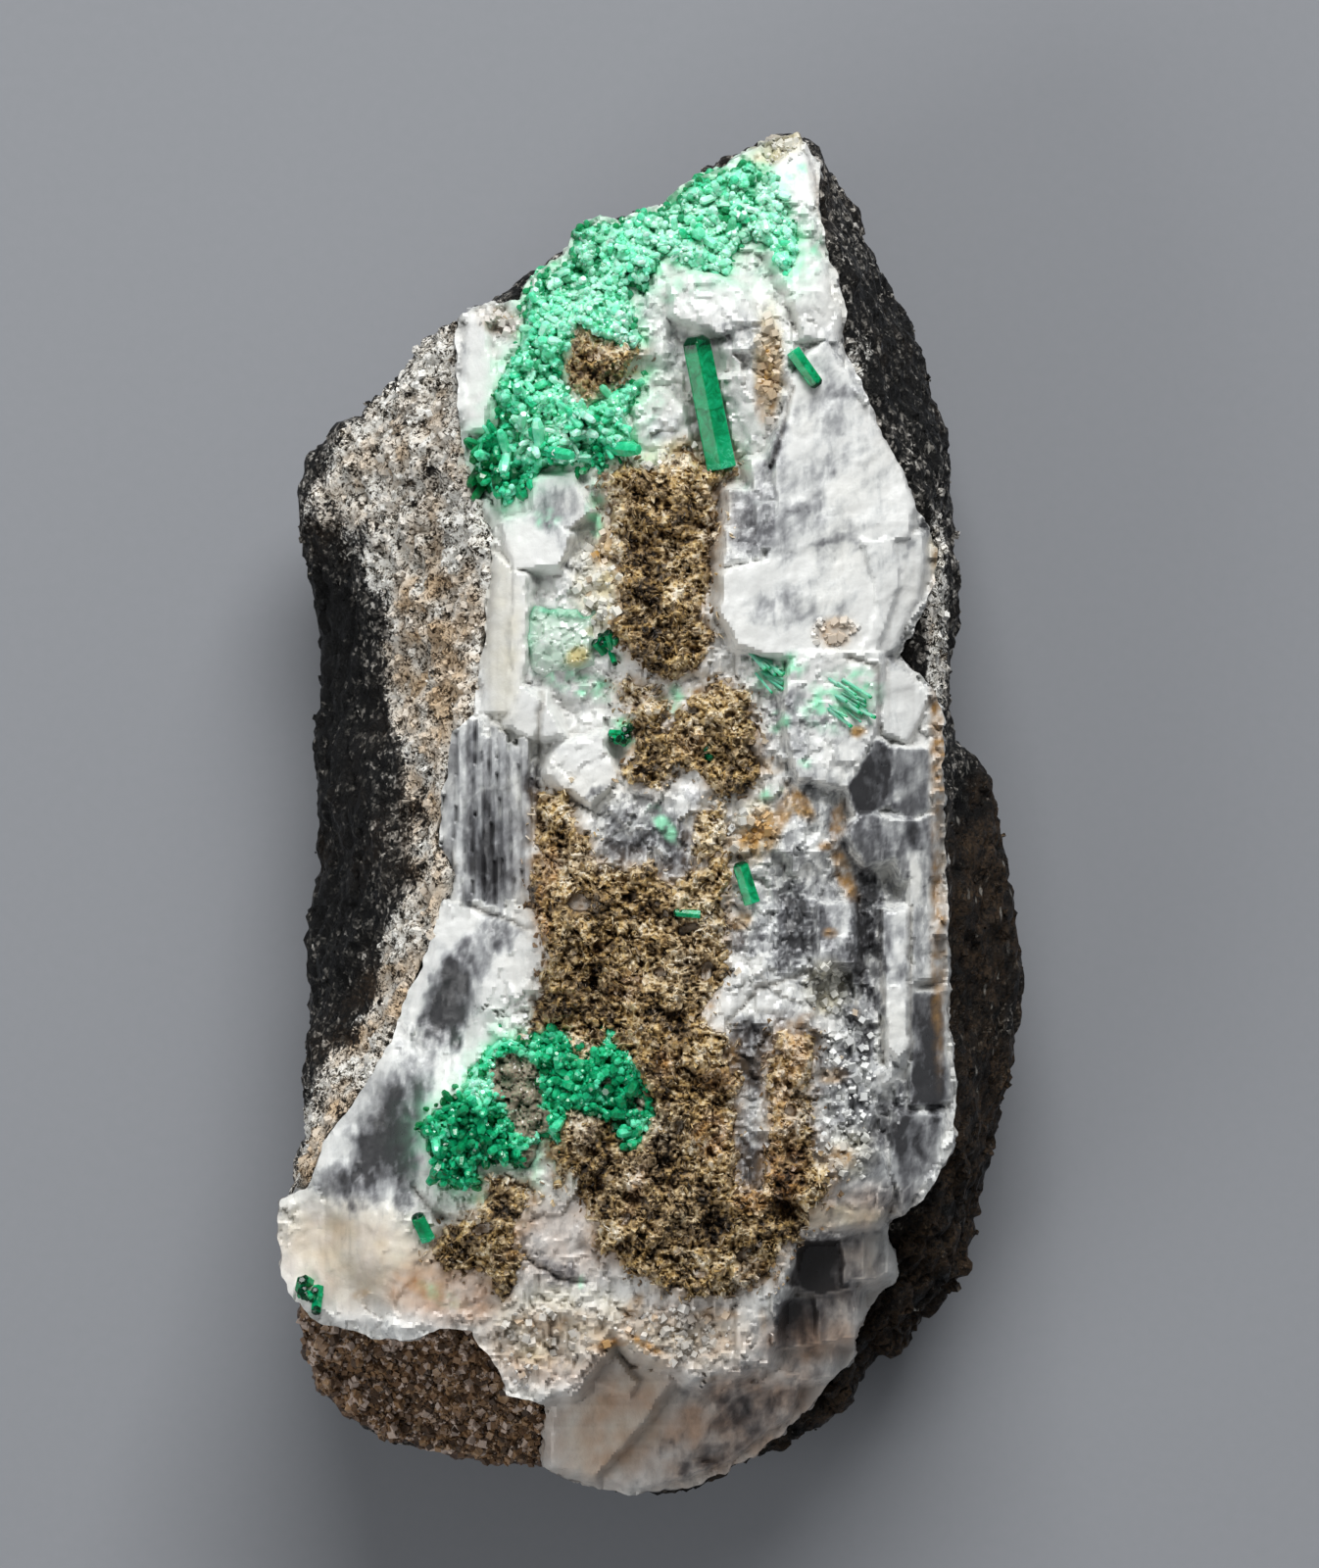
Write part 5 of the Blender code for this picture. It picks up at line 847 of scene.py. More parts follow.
# The painted edge highlight makes the calcite whiter along those edges.
smoke = smoke * (1 - 0.6 * bright) + 0.06 * streak
cream = spots(points, CREAM) * (0.8 + 0.5 * mottle(points, 2.5, 72, 3)) + 0.12 * mottle(points, 8, 73, 2)
rosy = spots(points, ROSY) * (0.85 + 0.5 * mottle(points, 3, 79, 3))
amber = spots(points, AMBER) * (0.8 + 0.9 * mottle(points, 1.3, 80, 3))
stain = spots(points, STAIN) * (0.75 + 0.8 * mottle(points, 1.2, 74, 3))
stain = np.maximum(stain, 0.75 * np.exp(np.minimum(brown_near, 0) / 0.7) * (0.7 + 0.6 * mottle(points, 1.1, 75, 3)))
green = np.exp(np.minimum(green_near, 0) / 0.9) * (0.6 + 0.7 * mottle(points, 1.4, 76, 2))
green = np.maximum(green, spots(points, GREENED) * (0.5 + 1.6 * mottle(points, 1.3, 77, 3)))
# How far each point lies below the face round it, for painted shade in the hollows.
hollow = np.maximum(hollows(points, tops, 0.8), 0) + 0.4 * np.maximum(hollows(points, tops, 2.4), 0)
sides = read(vein)
banded = 0.22 + 0.5 * mottle(sides * (1, 1, 1.7), 3.6, 69, 4, 0.6)
stained = 0.5 * mottle(sides, 3.2, 68, 4, 0.6)
mark(
    vein, smoke=np.clip(with_sides(smoke, source, banded), 0, 1.2), cream=np.clip(cream, 0, 1)[source],
    stain=np.clip(with_sides(stain, source, stained), 0, 1),
    rosy=np.clip(rosy, 0, 1)[source], amber=np.clip(amber, 0, 1)[source],
    green=np.clip(green, 0, 1)[source], crack=np.clip(cracked, 0, 1)[source], hollow=np.clip(hollow, 0, 1)[source],
    calm=calm[source],
)

calcite, tree = new_material("cleaved calcite")
# Broken along its cleavage, so its faces are glassy and flat, white where light scatters inside and
# grey where the crystal is clear enough to see into. Iron has stained it brown along its edges.
place = put(tree, "TexCoord").outputs["Object"]
masks = {name: put(tree, "Attribute", attribute_name=name).outputs["Fac"] for name in ("smoke", "cream", "rosy", "amber", "stain", "green", "crack", "hollow", "calm")}
place_turned = put(tree, "Mapping", {"Rotation": (0, 0, math.radians(-14)), "Scale": (1.0, 0.6, 1.0)}, {"Vector": place}).outputs[0]
chip = put(tree, "TexVoronoi", {"Scale": 2300.0}, {"Vector": place_turned}, distance="CHEBYCHEV")
chip_tone = put(tree, "SeparateColor", links={"Color": chip.outputs["Color"]})
restless = put(tree, "Math", {0: 1.15}, {1: masks["calm"]}, operation="SUBTRACT", use_clamp=True).outputs[0]
veil_place = put(tree, "Mapping", {"Rotation": (0, 0, math.radians(28)), "Scale": (1.0, 0.45, 1.0)}, {"Vector": place}).outputs[0]
veil = put(tree, "TexNoise", {"Scale": 700.0, "Detail": 6.0, "Roughness": 0.62, "Distortion": 0.6}, {"Vector": veil_place}).outputs["Fac"]
speck = put(tree, "TexNoise", {"Scale": 3200.0, "Detail": 3.0, "Roughness": 0.6}, {"Vector": place}).outputs["Fac"]
swirl = put(tree, "Math", {1: 0.55}, {0: veil}, operation="SUBTRACT").outputs[0]
swirl = put(tree, "Math", {1: 0.8}, {0: swirl}, operation="MULTIPLY").outputs[0]
chipped = put(tree, "Math", {1: 0.30, 2: -0.15}, {0: chip_tone.outputs[0]}, operation="MULTIPLY_ADD").outputs[0]
chipped = put(tree, "Math", {}, {0: chipped, 1: restless}, operation="MULTIPLY").outputs[0]
smoky = put(tree, "Math", {}, {0: masks["smoke"], 1: swirl}, operation="ADD").outputs[0]
smoky = put(tree, "Math", {}, {0: smoky, 1: chipped}, operation="ADD").outputs[0]
body = put(tree, "ValToRGB", links={"Fac": smoky})
ramp = body.color_ramp
ramp.elements[0].position, ramp.elements[0].color = -0.02, linear("E0E1DE")
ramp.elements[1].position, ramp.elements[1].color = 1.0, linear("3A3A3C")
for position, code in ((0.14, "D2D4D2"), (0.36, "A6A8A9"), (0.68, "6C6D70")):
    ramp.elements.new(position).color = linear(code)
colour = put(tree, "MixRGB", {"Color2": linear("EFE3BE")}, {"Fac": masks["cream"], "Color1": body.outputs[0]}, blend_type="MULTIPLY").outputs[0]
# Painted warm reflected light, pinkish tan over the blunt end.
colour = put(tree, "MixRGB", {"Color2": linear("DBB9A2")}, {"Fac": masks["rosy"], "Color1": colour}, blend_type="MULTIPLY").outputs[0]
colour = put(tree, "MixRGB", {"Color2": linear("E8B870")}, {"Fac": masks["amber"], "Color1": colour}, blend_type="MULTIPLY").outputs[0]
colour = put(tree, "MixRGB", {"Color2": linear("9EE6C0")}, {"Fac": masks["green"], "Color1": colour}).outputs[0]
rust = put(tree, "MixRGB", {"Color1": linear("7A5C36"), "Color2": linear("B58E58")}, {"Fac": speck}).outputs[0]
colour = put(tree, "MixRGB", {}, {"Fac": masks["stain"], "Color1": colour, "Color2": rust}).outputs[0]
# Painted shade: darker where the face lies below its surroundings, and dark along the cracks.
dirt = put(tree, "Math", {1: 0.40}, {0: masks["hollow"]}, operation="MULTIPLY").outputs[0]
dirt = put(tree, "Math", {}, {0: dirt, 1: masks["crack"]}, operation="MAXIMUM").outputs[0]
dirt = put(tree, "Math", {1: 0.55}, {0: dirt}, operation="MULTIPLY", use_clamp=True).outputs[0]
colour = put(tree, "MixRGB", {"Color2": linear("857A6C")}, {"Fac": dirt, "Color1": colour}, blend_type="MULTIPLY").outputs[0]
grit = put(tree, "TexNoise", {"Scale": 1800.0, "Detail": 4.0, "Roughness": 0.7}, {"Vector": place}).outputs["Fac"]
dull = put(tree, "MapRange", {"From Min": 0.3, "From Max": 0.7, "To Min": 0.24, "To Max": 0.50}, {"Value": grit}).outputs[0]
relief_bump = put(tree, "Bump", {"Strength": 0.45, "Distance": 0.00014}, {"Height": grit}).outputs[0]
chip_height = put(tree, "Math", {}, {0: chip_tone.outputs[1], 1: restless}, operation="MULTIPLY").outputs[0]
relief_bump = put(tree, "Bump", {"Strength": 0.5, "Distance": 0.00010}, {"Height": chip_height, "Normal": relief_bump}).outputs[0]
surface = put(
    tree, "BsdfPrincipled", {"IOR": 1.55, "Specular IOR Level": 0.5, "Subsurface Weight": 0.12,
    "Subsurface Radius": (1.0, 1.0, 1.0), "Subsurface Scale": 0.0007},
    {"Base Color": colour, "Roughness": dull, "Normal": relief_bump},
)
put(tree, "OutputMaterial", links={"Surface": surface.outputs[0]})

# Loose grains of it where it is broken as fine as sugar.
dice = np.random.default_rng(11)
feet = dice.uniform((-22, -60), (31, 70), (60000, 2))
feet = feet[(spots(feet, SUGARY) > dice.uniform(0.3, 1.6, len(feet))) & (depth_in(feet, VEIN_EDGE) > -0.2)]
feet = feet[(np.max([growth_depth(feet, n) for n in GROWTHS], 0) < 0.6) | (feet[:, 1] < -47)]
size = 0.16 + 0.42 * dice.random(len(feet)) ** 2.2
leans = np.column_stack((dice.normal(0, 0.7, (len(feet), 2)), np.ones(len(feet))))
sugar, whose = grown_over(
    "calcite_vein_grains", np.column_stack((feet, vein_top(feet) - 0.45 * size)), leans, size * dice.uniform(0.8, 1.6, len(feet)), size,
    dice.uniform(0, 6, len(feet)), rhomb(),
)
mark(
    sugar, smoke=(0.30 * dice.random(len(feet)) ** 2)[whose], cream=(0.4 * spots(feet, CREAM))[whose], rosy=(0.45 * spots(feet, ROSY))[whose],
    amber=np.clip(spots(feet, AMBER) + 0.5 * (dice.random(len(feet)) > 0.965), 0, 1)[whose], stain=(0.5 * spots(feet, STAIN))[whose],
    green=np.zeros(len(whose)), crack=np.zeros(len(whose)), hollow=np.zeros(len(whose)), calm=np.ones(len(whose)),
)
for piece in (vein, sugar):
    piece.data.materials.append(calcite)
    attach(piece, "root")
    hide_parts("calcite_vein")

# ---- The shale --------------------------------------------------------------------------------
# The host rock: black fine-grained shale, broken rough all round, with silvery mica flecks. Beside
# the vein it is bleached and crumbly, salt-and-pepper coloured.

SHALE_VOXEL = 0.62 * MM


def work_on(obj):
    bpy.ops.object.select_all(action="DESELECT")
    obj.select_set(True)
    bpy.context.view_layer.objects.active = obj


def write(obj, points):
    obj.data.vertices.foreach_set("co", (points * MM).astype(np.float32).ravel())
    obj.data.update()


host = frame["nodes"]["shale_matrix"].copy()
host.data = host.data.copy()
host.name = "shale_host_rock"
bpy.context.scene.collection.objects.link(host)
work_on(host)
bpy.ops.object.mode_set(mode="EDIT")
bpy.ops.mesh.select_all(action="SELECT")
bpy.ops.mesh.remove_doubles(threshold=0.000001)
bpy.ops.object.mode_set(mode="OBJECT")
lumpy = host.modifiers.new("break", "REMESH")
lumpy.mode, lumpy.voxel_size = "VOXEL", SHALE_VOXEL
bpy.ops.object.modifier_apply(modifier=lumpy.name)
places, ways = read(host), read(host, "normal")
across_bed = places * (1.0, 0.6, 0.8)  # its bedding runs along the specimen, near upright
swell = 0.75 * mottle(places, 13, 81, 2) + 0.55 * mottle(across_bed, 4.2, 82, 3, 0.6)
middle, border, _, keys = grains(places * (1.0, 0.6, 1.0), 2.6, 83)
chips = shares(keys, 2)
blocky = 1 + 1.3 * ease(places[:, 0], 13, 19) * ease(-places[:, 1], 30, 38)
swell += blocky * (0.45 * (chips[:, 0] - 0.5) - 0.30 * (1 - ease(border, 0, 0.5)))
middle, border, _, keys = grains(places * (1.0, 0.7, 1.0), 1.1, 84)
swell += 0.42 * (shares(keys, 1)[:, 0] - 0.5) + 0.22 * mottle(places, 1.6, 85, 2)
near_vein = ease(vein_depth(places[:, :2]), -2.2, -0.4) * ease(places[:, 2], 22, 30)
swell = swell * (1 - 0.5 * near_vein) + 0.25 * near_vein
swell *= ease(places[:, 2], 0.0, 1.2)
places += ways * swell[:, None]
places[:, 2] = np.maximum(places[:, 2], 0)
write(host, places)

# The bleached band beside the vein, where it is brown, and where mica flecks show.
BLEACHED = (
    (-27, 37.6, 10, 5.6, 50, 1.25), (-23.6, 31, 9, 5.6, 70, 1.3), (-20, 27, 18, 3.8, 90, 1.2), (-21, 46, 8, 4.0, 40, 1.1),
    (-22.4, 17, 12, 5.4, 90, 1.3), (-22.6, 4, 12, 3.0, 90, 0.55), (-24.5, -13, 9, 3.2, 68, 0.9), (-29.5, -24, 9, 3.4, 55, 0.8),
    (-35.0, -34, 6, 3.0, 70, 0.8), (-33.5, 31, 6, 4.0, 60, 0.38), (21, 47, 3, 1.2, 70, 0.4), (-36.5, 15.5, 1.6, 0.8, 80, 0.8),
    (29, 20, 12, 1.2, 90, 0.5),
)
BROWNED = (
    (-22.6, 17, 12, 5.0, 90, 0.9), (-23, 2, 14, 3.0, 90, 0.7), (-23.5, 23, 4, 3.0, 30, 1.0), (-26, 35, 12, 8.0, 50, 0.35),
    (-27, -19, 8, 4.0, 40, 0.8), (-31.5, -29.5, 2.4, 1.6, 20, 1.0), (-34, -36, 6, 3.0, 60, 0.7), (24, -54, 14, 6.0, 30, 1.0),
    (30, -45, 14, 6.0, 70, 0.9), (34, -12, 20, 6.0, 85, 0.8), (10, -66, 14, 5.0, 35, 1.0), (20, -60, 8, 5.0, 60, 1.0),
    (-14, -62, 14, 8.0, 0, 0.9), (-33.5, 31, 5, 3.0, 80, 0.3), (34, -34, 18, 6, 80, 0.9),
)
# The darkest rock: black where no calcite dust lies on it, and darkened with painted shade on the left flank, the right
# bulge and the blunt end, which face away from the light.
BLACKEST = (
    (-34.6, 1, 26, 7.0, 91, 0.5), (-36.0, 27, 5.0, 3.4, 62, 0.35), (-34.5, 19, 7, 4, 90, 0.7), (34.5, -8, 16, 6, 85, 1.0), (34, -36, 16, 7, 78, 1.0), (29, -47, 9, 6, 70, 1.0),
    (22, -57, 12, 7, 45, 1.0), (-34, 19, 8, 4, 95, 0.9), (-30.5, -20, 6, 2.4, 65, 0.5), (10, -66.5, 12, 4, 30, 0.8), (26, 46, 12, 4, -70, 0.4), (31, -20, 14, 2, 85, 0.8),
)
flat = places[:, :2]
front_side = ease(places[:, 2] + 3.5 * mottle(places, 7, 90, 3, 0.6), 9, 25)
# Painted shade over the black rock; the bleaching is kept off there.
blackest = spots(flat, BLACKEST) * (0.95 + 0.4 * mottle(places, 3.2, 89, 3))
bleached = (spots(flat, BLEACHED) * (1.25 + 1.0 * mottle(places, 3.4, 86, 4, 0.6)) - 1.1 * blackest) * front_side
browned = spots(flat, BROWNED) * (0.7 + 0.9 * mottle(places, 3.2, 87, 3)) + 0.25 * mottle(places, 11, 88, 2)
# Where the face dips, for painted shade in the pits and the gaps between lumps.
pits = np.clip(-swell, 0, 1.2)
keep = np.clip(bleached, 0, 1)
for width, seed, rise in ((2.9, 95, 0.75), (1.5, 96, 0.5)):
    middle, border, _, keys = grains(places + 0.5 * mottle(places, 2, seed, 2)[:, None], width, seed)
    proud = shares(keys, 2)[:, 0]
    lumps = rise * keep * (proud * (1 - ease(middle, 0.1 * width, 0.6 * width)) - 0.5 * (1 - ease(border, 0, 0.3 * width)))
    places += ways * lumps[:, None]
    pits += np.clip(-1.5 * lumps, 0, 1)
    bleached += 0.35 * keep * (proud - 0.4)
    browned += 0.5 * keep * (shares(keys, 2)[:, 1] - 0.5)
write(host, places)
mark(
    host, bleached=np.clip(bleached, 0, 1), browned=np.clip(browned, 0, 1), pit=pits,
    blackest=np.clip(blackest, 0, 1), flecked=ease(flat[:, 0], 12, 17) * ease(flat[:, 1], -37, -31), tint=np.full(len(flat), 0.5),
)
work_on(host)
bpy.ops.object.shade_smooth_by_angle(angle=math.radians(40))

shale, tree = new_material("black mica shale")
# Broken across its bedding: dull black clay with glints of mica, and pale crumbs of calcite and
# feldspar where the vein bleached it.
place = put(tree, "TexCoord").outputs["Object"]
masks = {name: put(tree, "Attribute", attribute_name=name).outputs["Fac"] for name in ("bleached", "browned", "blackest", "flecked", "tint", "pit")}
fine_crumb = put(tree, "TexVoronoi", {"Scale": 3000.0}, {"Vector": place})
fine_tone = put(tree, "SeparateColor", links={"Color": fine_crumb.outputs["Color"]}).outputs
coarse_crumb = put(tree, "TexVoronoi", {"Scale": 1350.0}, {"Vector": place})
coarse_tone = put(tree, "SeparateColor", links={"Color": coarse_crumb.outputs["Color"]}).outputs
clots = put(tree, "TexNoise", {"Scale": 560.0, "Detail": 6.0, "Roughness": 0.68}, {"Vector": place}).outputs["Fac"]
net = put(tree, "TexNoise", {"Scale": 1150.0, "Detail": 4.0, "Roughness": 0.6, "Distortion": 1.6}, {"Vector": place}).outputs["Fac"]
net = put(tree, "Math", {1: 0.5}, {0: net}, operation="SUBTRACT").outputs[0]
net = put(tree, "Math", {}, {0: net}, operation="ABSOLUTE").outputs[0]
net = put(tree, "MapRange", {"From Min": 0.008, "From Max": 0.085}, {"Value": net}).outputs[0]
half = put(tree, "Math", {1: 0.5}, {0: fine_tone[0]}, operation="MULTIPLY").outputs[0]
crumbs = put(tree, "Math", {1: 0.5}, {0: coarse_tone[0], 2: half}, operation="MULTIPLY_ADD").outputs[0]
swing = put(tree, "Math", {1: 0.9, 2: -0.45}, {0: clots}, operation="MULTIPLY_ADD").outputs[0]
crumbs = put(tree, "Math", {}, {0: crumbs, 1: swing}, operation="ADD").outputs[0]
grain_tone = put(tree, "Math", {1: 0.8, 2: -0.40}, {0: masks["tint"]}, operation="MULTIPLY_ADD").outputs[0]
crumbs = put(tree, "Math", {}, {0: crumbs, 1: grain_tone}, operation="ADD").outputs[0]
# Painted shade: the colour level drops where the rock is blackest and where it faces away from the light.
sunk = put(tree, "Math", {1: 0.48}, {0: masks["blackest"]}, operation="MULTIPLY").outputs[0]
sunk = put(tree, "Math", {}, {0: crumbs, 1: sunk}, operation="SUBTRACT").outputs[0]
black = put(tree, "ValToRGB", links={"Fac": sunk})
ramp = black.color_ramp
ramp.elements[0].position, ramp.elements[0].color = 0.20, linear("0A0A0A")
ramp.elements[1].position, ramp.elements[1].color = 0.96, linear("C4C1BA")
for position, code in ((0.44, "131312"), (0.56, "272624"), (0.66, "4A4844"), (0.80, "7E7A74")):
    ramp.elements.new(position).color = linear(code)
netted = put(tree, "Math", {1: 0.5, 2: -0.34}, {0: net}, operation="MULTIPLY_ADD").outputs[0]
netted = put(tree, "Math", {}, {0: crumbs, 1: netted}, operation="ADD").outputs[0]
pale = put(tree, "ValToRGB", links={"Fac": netted})
ramp = pale.color_ramp
ramp.elements[0].position, ramp.elements[0].color = 0.06, linear("24211D")
ramp.elements[1].position, ramp.elements[1].color = 0.52, linear("FFFEF8")
for position, code in ((0.15, "4E4840"), (0.25, "B0A99B"), (0.36, "E8E3D7")):
    ramp.elements.new(position).color = linear(code)
patch = put(tree, "Math", {1: 0.5}, {0: clots}, operation="SUBTRACT").outputs[0]
patch = put(tree, "Math", {1: 2.4}, {0: patch}, operation="MULTIPLY").outputs[0]
patch = put(tree, "Math", {}, {0: patch, 1: masks["bleached"]}, operation="MULTIPLY").outputs[0]
share = put(tree, "Math", {}, {0: masks["bleached"], 1: patch}, operation="ADD").outputs[0]
uneven = put(tree, "Math", {1: 0.5, 2: -0.25}, {0: fine_tone[2]}, operation="MULTIPLY_ADD").outputs[0]
share = put(tree, "Math", {}, {0: share, 1: uneven}, operation="ADD").outputs[0]
worn = put(tree, "Math", {1: 0.34, 2: -0.22}, {0: net}, operation="MULTIPLY_ADD").outputs[0]
share = put(tree, "Math", {}, {0: share, 1: worn}, operation="ADD").outputs[0]
share = put(tree, "MapRange", {"From Min": 0.18, "From Max": 0.46}, {"Value": share}).outputs[0]
reached = put(tree, "MapRange", {"From Min": 0.03, "From Max": 0.22}, {"Value": masks["bleached"]}).outputs[0]
share = put(tree, "Math", {}, {0: share, 1: reached}, operation="MULTIPLY").outputs[0]
colour = put(tree, "MixRGB", {}, {"Fac": share, "Color1": black.outputs[0], "Color2": pale.outputs[0]}).outputs[0]
colour = put(tree, "MixRGB", {"Color2": linear("EFD6B8")}, {"Fac": masks["browned"], "Color1": colour}, blend_type="MULTIPLY").outputs[0]
rusty = put(tree, "MixRGB", {"Color1": linear("1E1813"), "Color2": linear("96785A")}, {"Fac": fine_tone[2]}).outputs[0]
rust_share = put(tree, "Math", {1: 0.22}, {0: masks["browned"]}, operation="MULTIPLY", use_clamp=True).outputs[0]
colour = put(tree, "MixRGB", {}, {"Fac": rust_share, "Color1": colour, "Color2": rusty}).outputs[0]
fleck_place = put(tree, "Mapping", {"Rotation": (0, 0, math.radians(-12)), "Scale": (1.0, 0.22, 0.6)}, {"Vector": place}).outputs[0]
fleck = put(tree, "TexVoronoi", {"Scale": 1500.0}, {"Vector": fleck_place})
fleck_tone = put(tree, "SeparateColor", links={"Color": fleck.outputs["Color"]})
fleck_on = put(tree, "MapRange", {"From Min": 0.86, "From Max": 0.90}, {"Value": fleck_tone.outputs[0]}).outputs[0]
fleck_core = put(tree, "MapRange", {"From Min": 0.34, "From Max": 0.20}, {"Value": fleck.outputs["Distance"]}).outputs[0]
fleck_on = put(tree, "Math", {}, {0: fleck_on, 1: fleck_core}, operation="MULTIPLY").outputs[0]
fleck_on = put(tree, "Math", {1: 0.55}, {0: fleck_on}, operation="MULTIPLY").outputs[0]
fleck_on = put(tree, "Math", {}, {0: fleck_on, 1: masks["flecked"]}, operation="MULTIPLY").outputs[0]
colour = put(tree, "MixRGB", {"Color2": linear("A8A59D")}, {"Fac": fleck_on, "Color1": colour}).outputs[0]
# Painted shade in the pits and the gaps between the lumps.
shade = put(tree, "Math", {1: 0.36}, {0: masks["pit"]}, operation="MULTIPLY", use_clamp=True).outputs[0]
colour = put(tree, "MixRGB", {"Color2": linear("8A847A")}, {"Fac": shade, "Color1": colour}, blend_type="MULTIPLY").outputs[0]
dull = put(tree, "MapRange", {"To Min": 0.18, "To Max": 0.66}, {"Value": coarse_tone[1]}).outputs[0]
rough_bump = put(tree, "Bump", {"Strength": 1.0, "Distance": 0.0010}, {"Height": clots}).outputs[0]
rough_bump = put(tree, "Bump", {"Strength": 0.9, "Distance": 0.00035}, {"Height": coarse_tone[2], "Normal": rough_bump}).outputs[0]
rough_bump = put(tree, "Bump", {"Strength": 0.8, "Distance": 0.00016}, {"Height": fine_tone[1], "Normal": rough_bump}).outputs[0]
surface = put(tree, "BsdfPrincipled", {"IOR": 1.5, "Specular IOR Level": 0.16}, {"Base Color": colour, "Roughness": dull, "Normal": rough_bump})
put(tree, "OutputMaterial", links={"Surface": surface.outputs[0]})
host.data.materials.clear()

# Crumbs of it that stand up from its face, thickest where it is bleached.
dice = np.random.default_rng(12)
places, ways = read(host), read(host, "normal")
keep = np.clip(bleached, 0, 1)
odds = (0.5 * keep * ease(ways[:, 2], 0.1, 0.4) + 0.02) * ease(places[:, 2], 5, 12) * (vein_depth(places[:, :2]) < -0.2)
chosen = np.flatnonzero(dice.random(len(places)) < odds)
size = 0.13 + 0.40 * dice.random(len(chosen)) ** 3.5
loose, whose = grown_over(
    "shale_host_crumbs", places[chosen] + dice.uniform(-0.25, 0.25, (len(chosen), 3)) - 0.6 * size[:, None] * ways[chosen],
    ways[chosen] + dice.normal(0, 0.5, (len(chosen), 3)), size * dice.uniform(0.9, 1.8, len(chosen)), size,
    dice.uniform(0, 6, len(chosen)), rhomb(),
)
mark(
    loose, bleached=keep[chosen][whose], browned=np.clip(browned, 0, 1)[chosen][whose], pit=np.zeros(len(whose)),
    blackest=np.clip(blackest, 0, 1)[chosen][whose], flecked=np.zeros(len(whose)), tint=(0.15 + 0.85 * dice.random(len(chosen)))[whose],
)
for piece in (host, loose):
    piece.data.materials.append(shale)
    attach(piece, "root")
    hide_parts("shale_matrix")

# ---- The sandy crust ---------------------------------------------------------------------------
# A druse of sand-sized dolomite under the ledge at the left of the blunt end: brown between the
# grains, with bigger clear lumps here and there.

SANDY_EDGE = (
    (-35.9, -49.0), (-12.0, -49.0), (-11.6, -66.6), (-16.8, -66.2), (-22.2, -65.0), (-27.0, -63.6),
    (-30.8, -61.6), (-33.8, -58.8), (-35.6, -55.4),
)
SANDY_LUMPS = (  # x, y, radius
    (-32.6, -53.2, 1.9), (-30.2, -53.6, 1.9), (-27.4, -53.0, 1.9), (-34.0, -54.4, 1.4), (-21.5, -53.2, 1.6), (-19.6, -54.6, 1.2),
    (-21.0, -57.0, 1.0), (-17.6, -57.2, 0.8), (-28.0, -63.0, 1.7), (-30.8, -59.8, 1.0), (-22.4, -65.2, 1.3),
    (-24.4, -58.4, 0.9), (-26.4, -60.4, 0.7), (-14.6, -58.6, 0.8), (-33.4, -57.6, 0.8), (-18.8, -62.8, 0.6),
)


def sandy_depth(points):
    return depth_in(points, SANDY_EDGE) + 0.5 * mottle(points, 2.5, 90, 2) + 0.5


def sandy_height(points):
    grain_rise, border, _ = facets(points, 0.62, 91, 0.8, 0.16)
    height = 56.6 + 0.54 * points[:, 1] + grain_rise + 0.5 * mottle(points, 4, 92, 3) - 0.12 * (1 - ease(border, 0, 0.25))
    for x, y, size in SANDY_LUMPS:
        away = np.hypot(points[:, 0] - x, points[:, 1] - y) + 0.5 * size * mottle(points, 1.4, 94, 2)
        dome = 56.9 + 0.54 * y + 0.75 * np.sqrt(np.maximum(size**2 - away**2, 0)) - 0.6 * np.maximum(away - size, 0) * 4
        height = np.maximum(height, dome + 0.6 * facets(points, 1.3, 93, 0.9, 0.5)[0])
    return height - 1.2 * (1 - ease(sandy_depth(points), 0, 0.9))


sand, points, source = relief(
    "sandy_crust_rock", 0.2, SANDY_EDGE, sandy_depth, sandy_height, lambda p: 51.6 + 0.54 * p[:, 1], swing=0.4
)
_, border, _, keys = grains(points, 0.62, 91)
tint = shares(keys, 3)
clear = np.zeros(len(points))
for x, y, size in SANDY_LUMPS:
    away = np.hypot(points[:, 0] - x, points[:, 1] - y) + 0.5 * size * mottle(points, 1.4, 94, 2)
    clear = np.maximum(clear, 0.8 * (1 - ease(away, 0.7 * size, 1.05 * size)))
hollow = np.clip(hollows(points, sandy_height(points), 1.0), 0, 1)
sides = 0.45 + 0.6 * mottle(read(sand), 1.2, 98, 3)
mark(sand, tint=with_sides(tint[:, 0], source, sides), ochre=tint[source, 1], clear=clear[source], hollow=hollow[source])

dolomite, tree = new_material("sandy brown dolomite")
# Rhombs the size of sand grains, clear to pinkish, with the gaps between them darkened iron-brown by painted shade.
place = put(tree, "TexCoord").outputs["Object"]
masks = {name: put(tree, "Attribute", attribute_name=name).outputs["Fac"] for name in ("tint", "ochre", "clear", "hollow")}
grit = put(tree, "TexNoise", {"Scale": 1500.0, "Detail": 5.0, "Roughness": 0.68}, {"Vector": place}).outputs["Fac"]
mixed = put(tree, "Math", {}, {0: masks["tint"], 1: grit}, operation="MULTIPLY").outputs[0]
body = put(tree, "ValToRGB", links={"Fac": mixed})
ramp = body.color_ramp
ramp.elements[0].position, ramp.elements[0].color = 0.0, linear("3A2A1C")
ramp.elements[1].position, ramp.elements[1].color = 0.72, linear("C9B49A")
for position, code in ((0.14, "5C442E"), (0.30, "806143"), (0.50, "9E7F5E")):
    ramp.elements.new(position).color = linear(code)
colour = put(tree, "MixRGB", {"Color2": linear("D2BEB0")}, {"Fac": masks["clear"], "Color1": body.outputs[0]}).outputs[0]
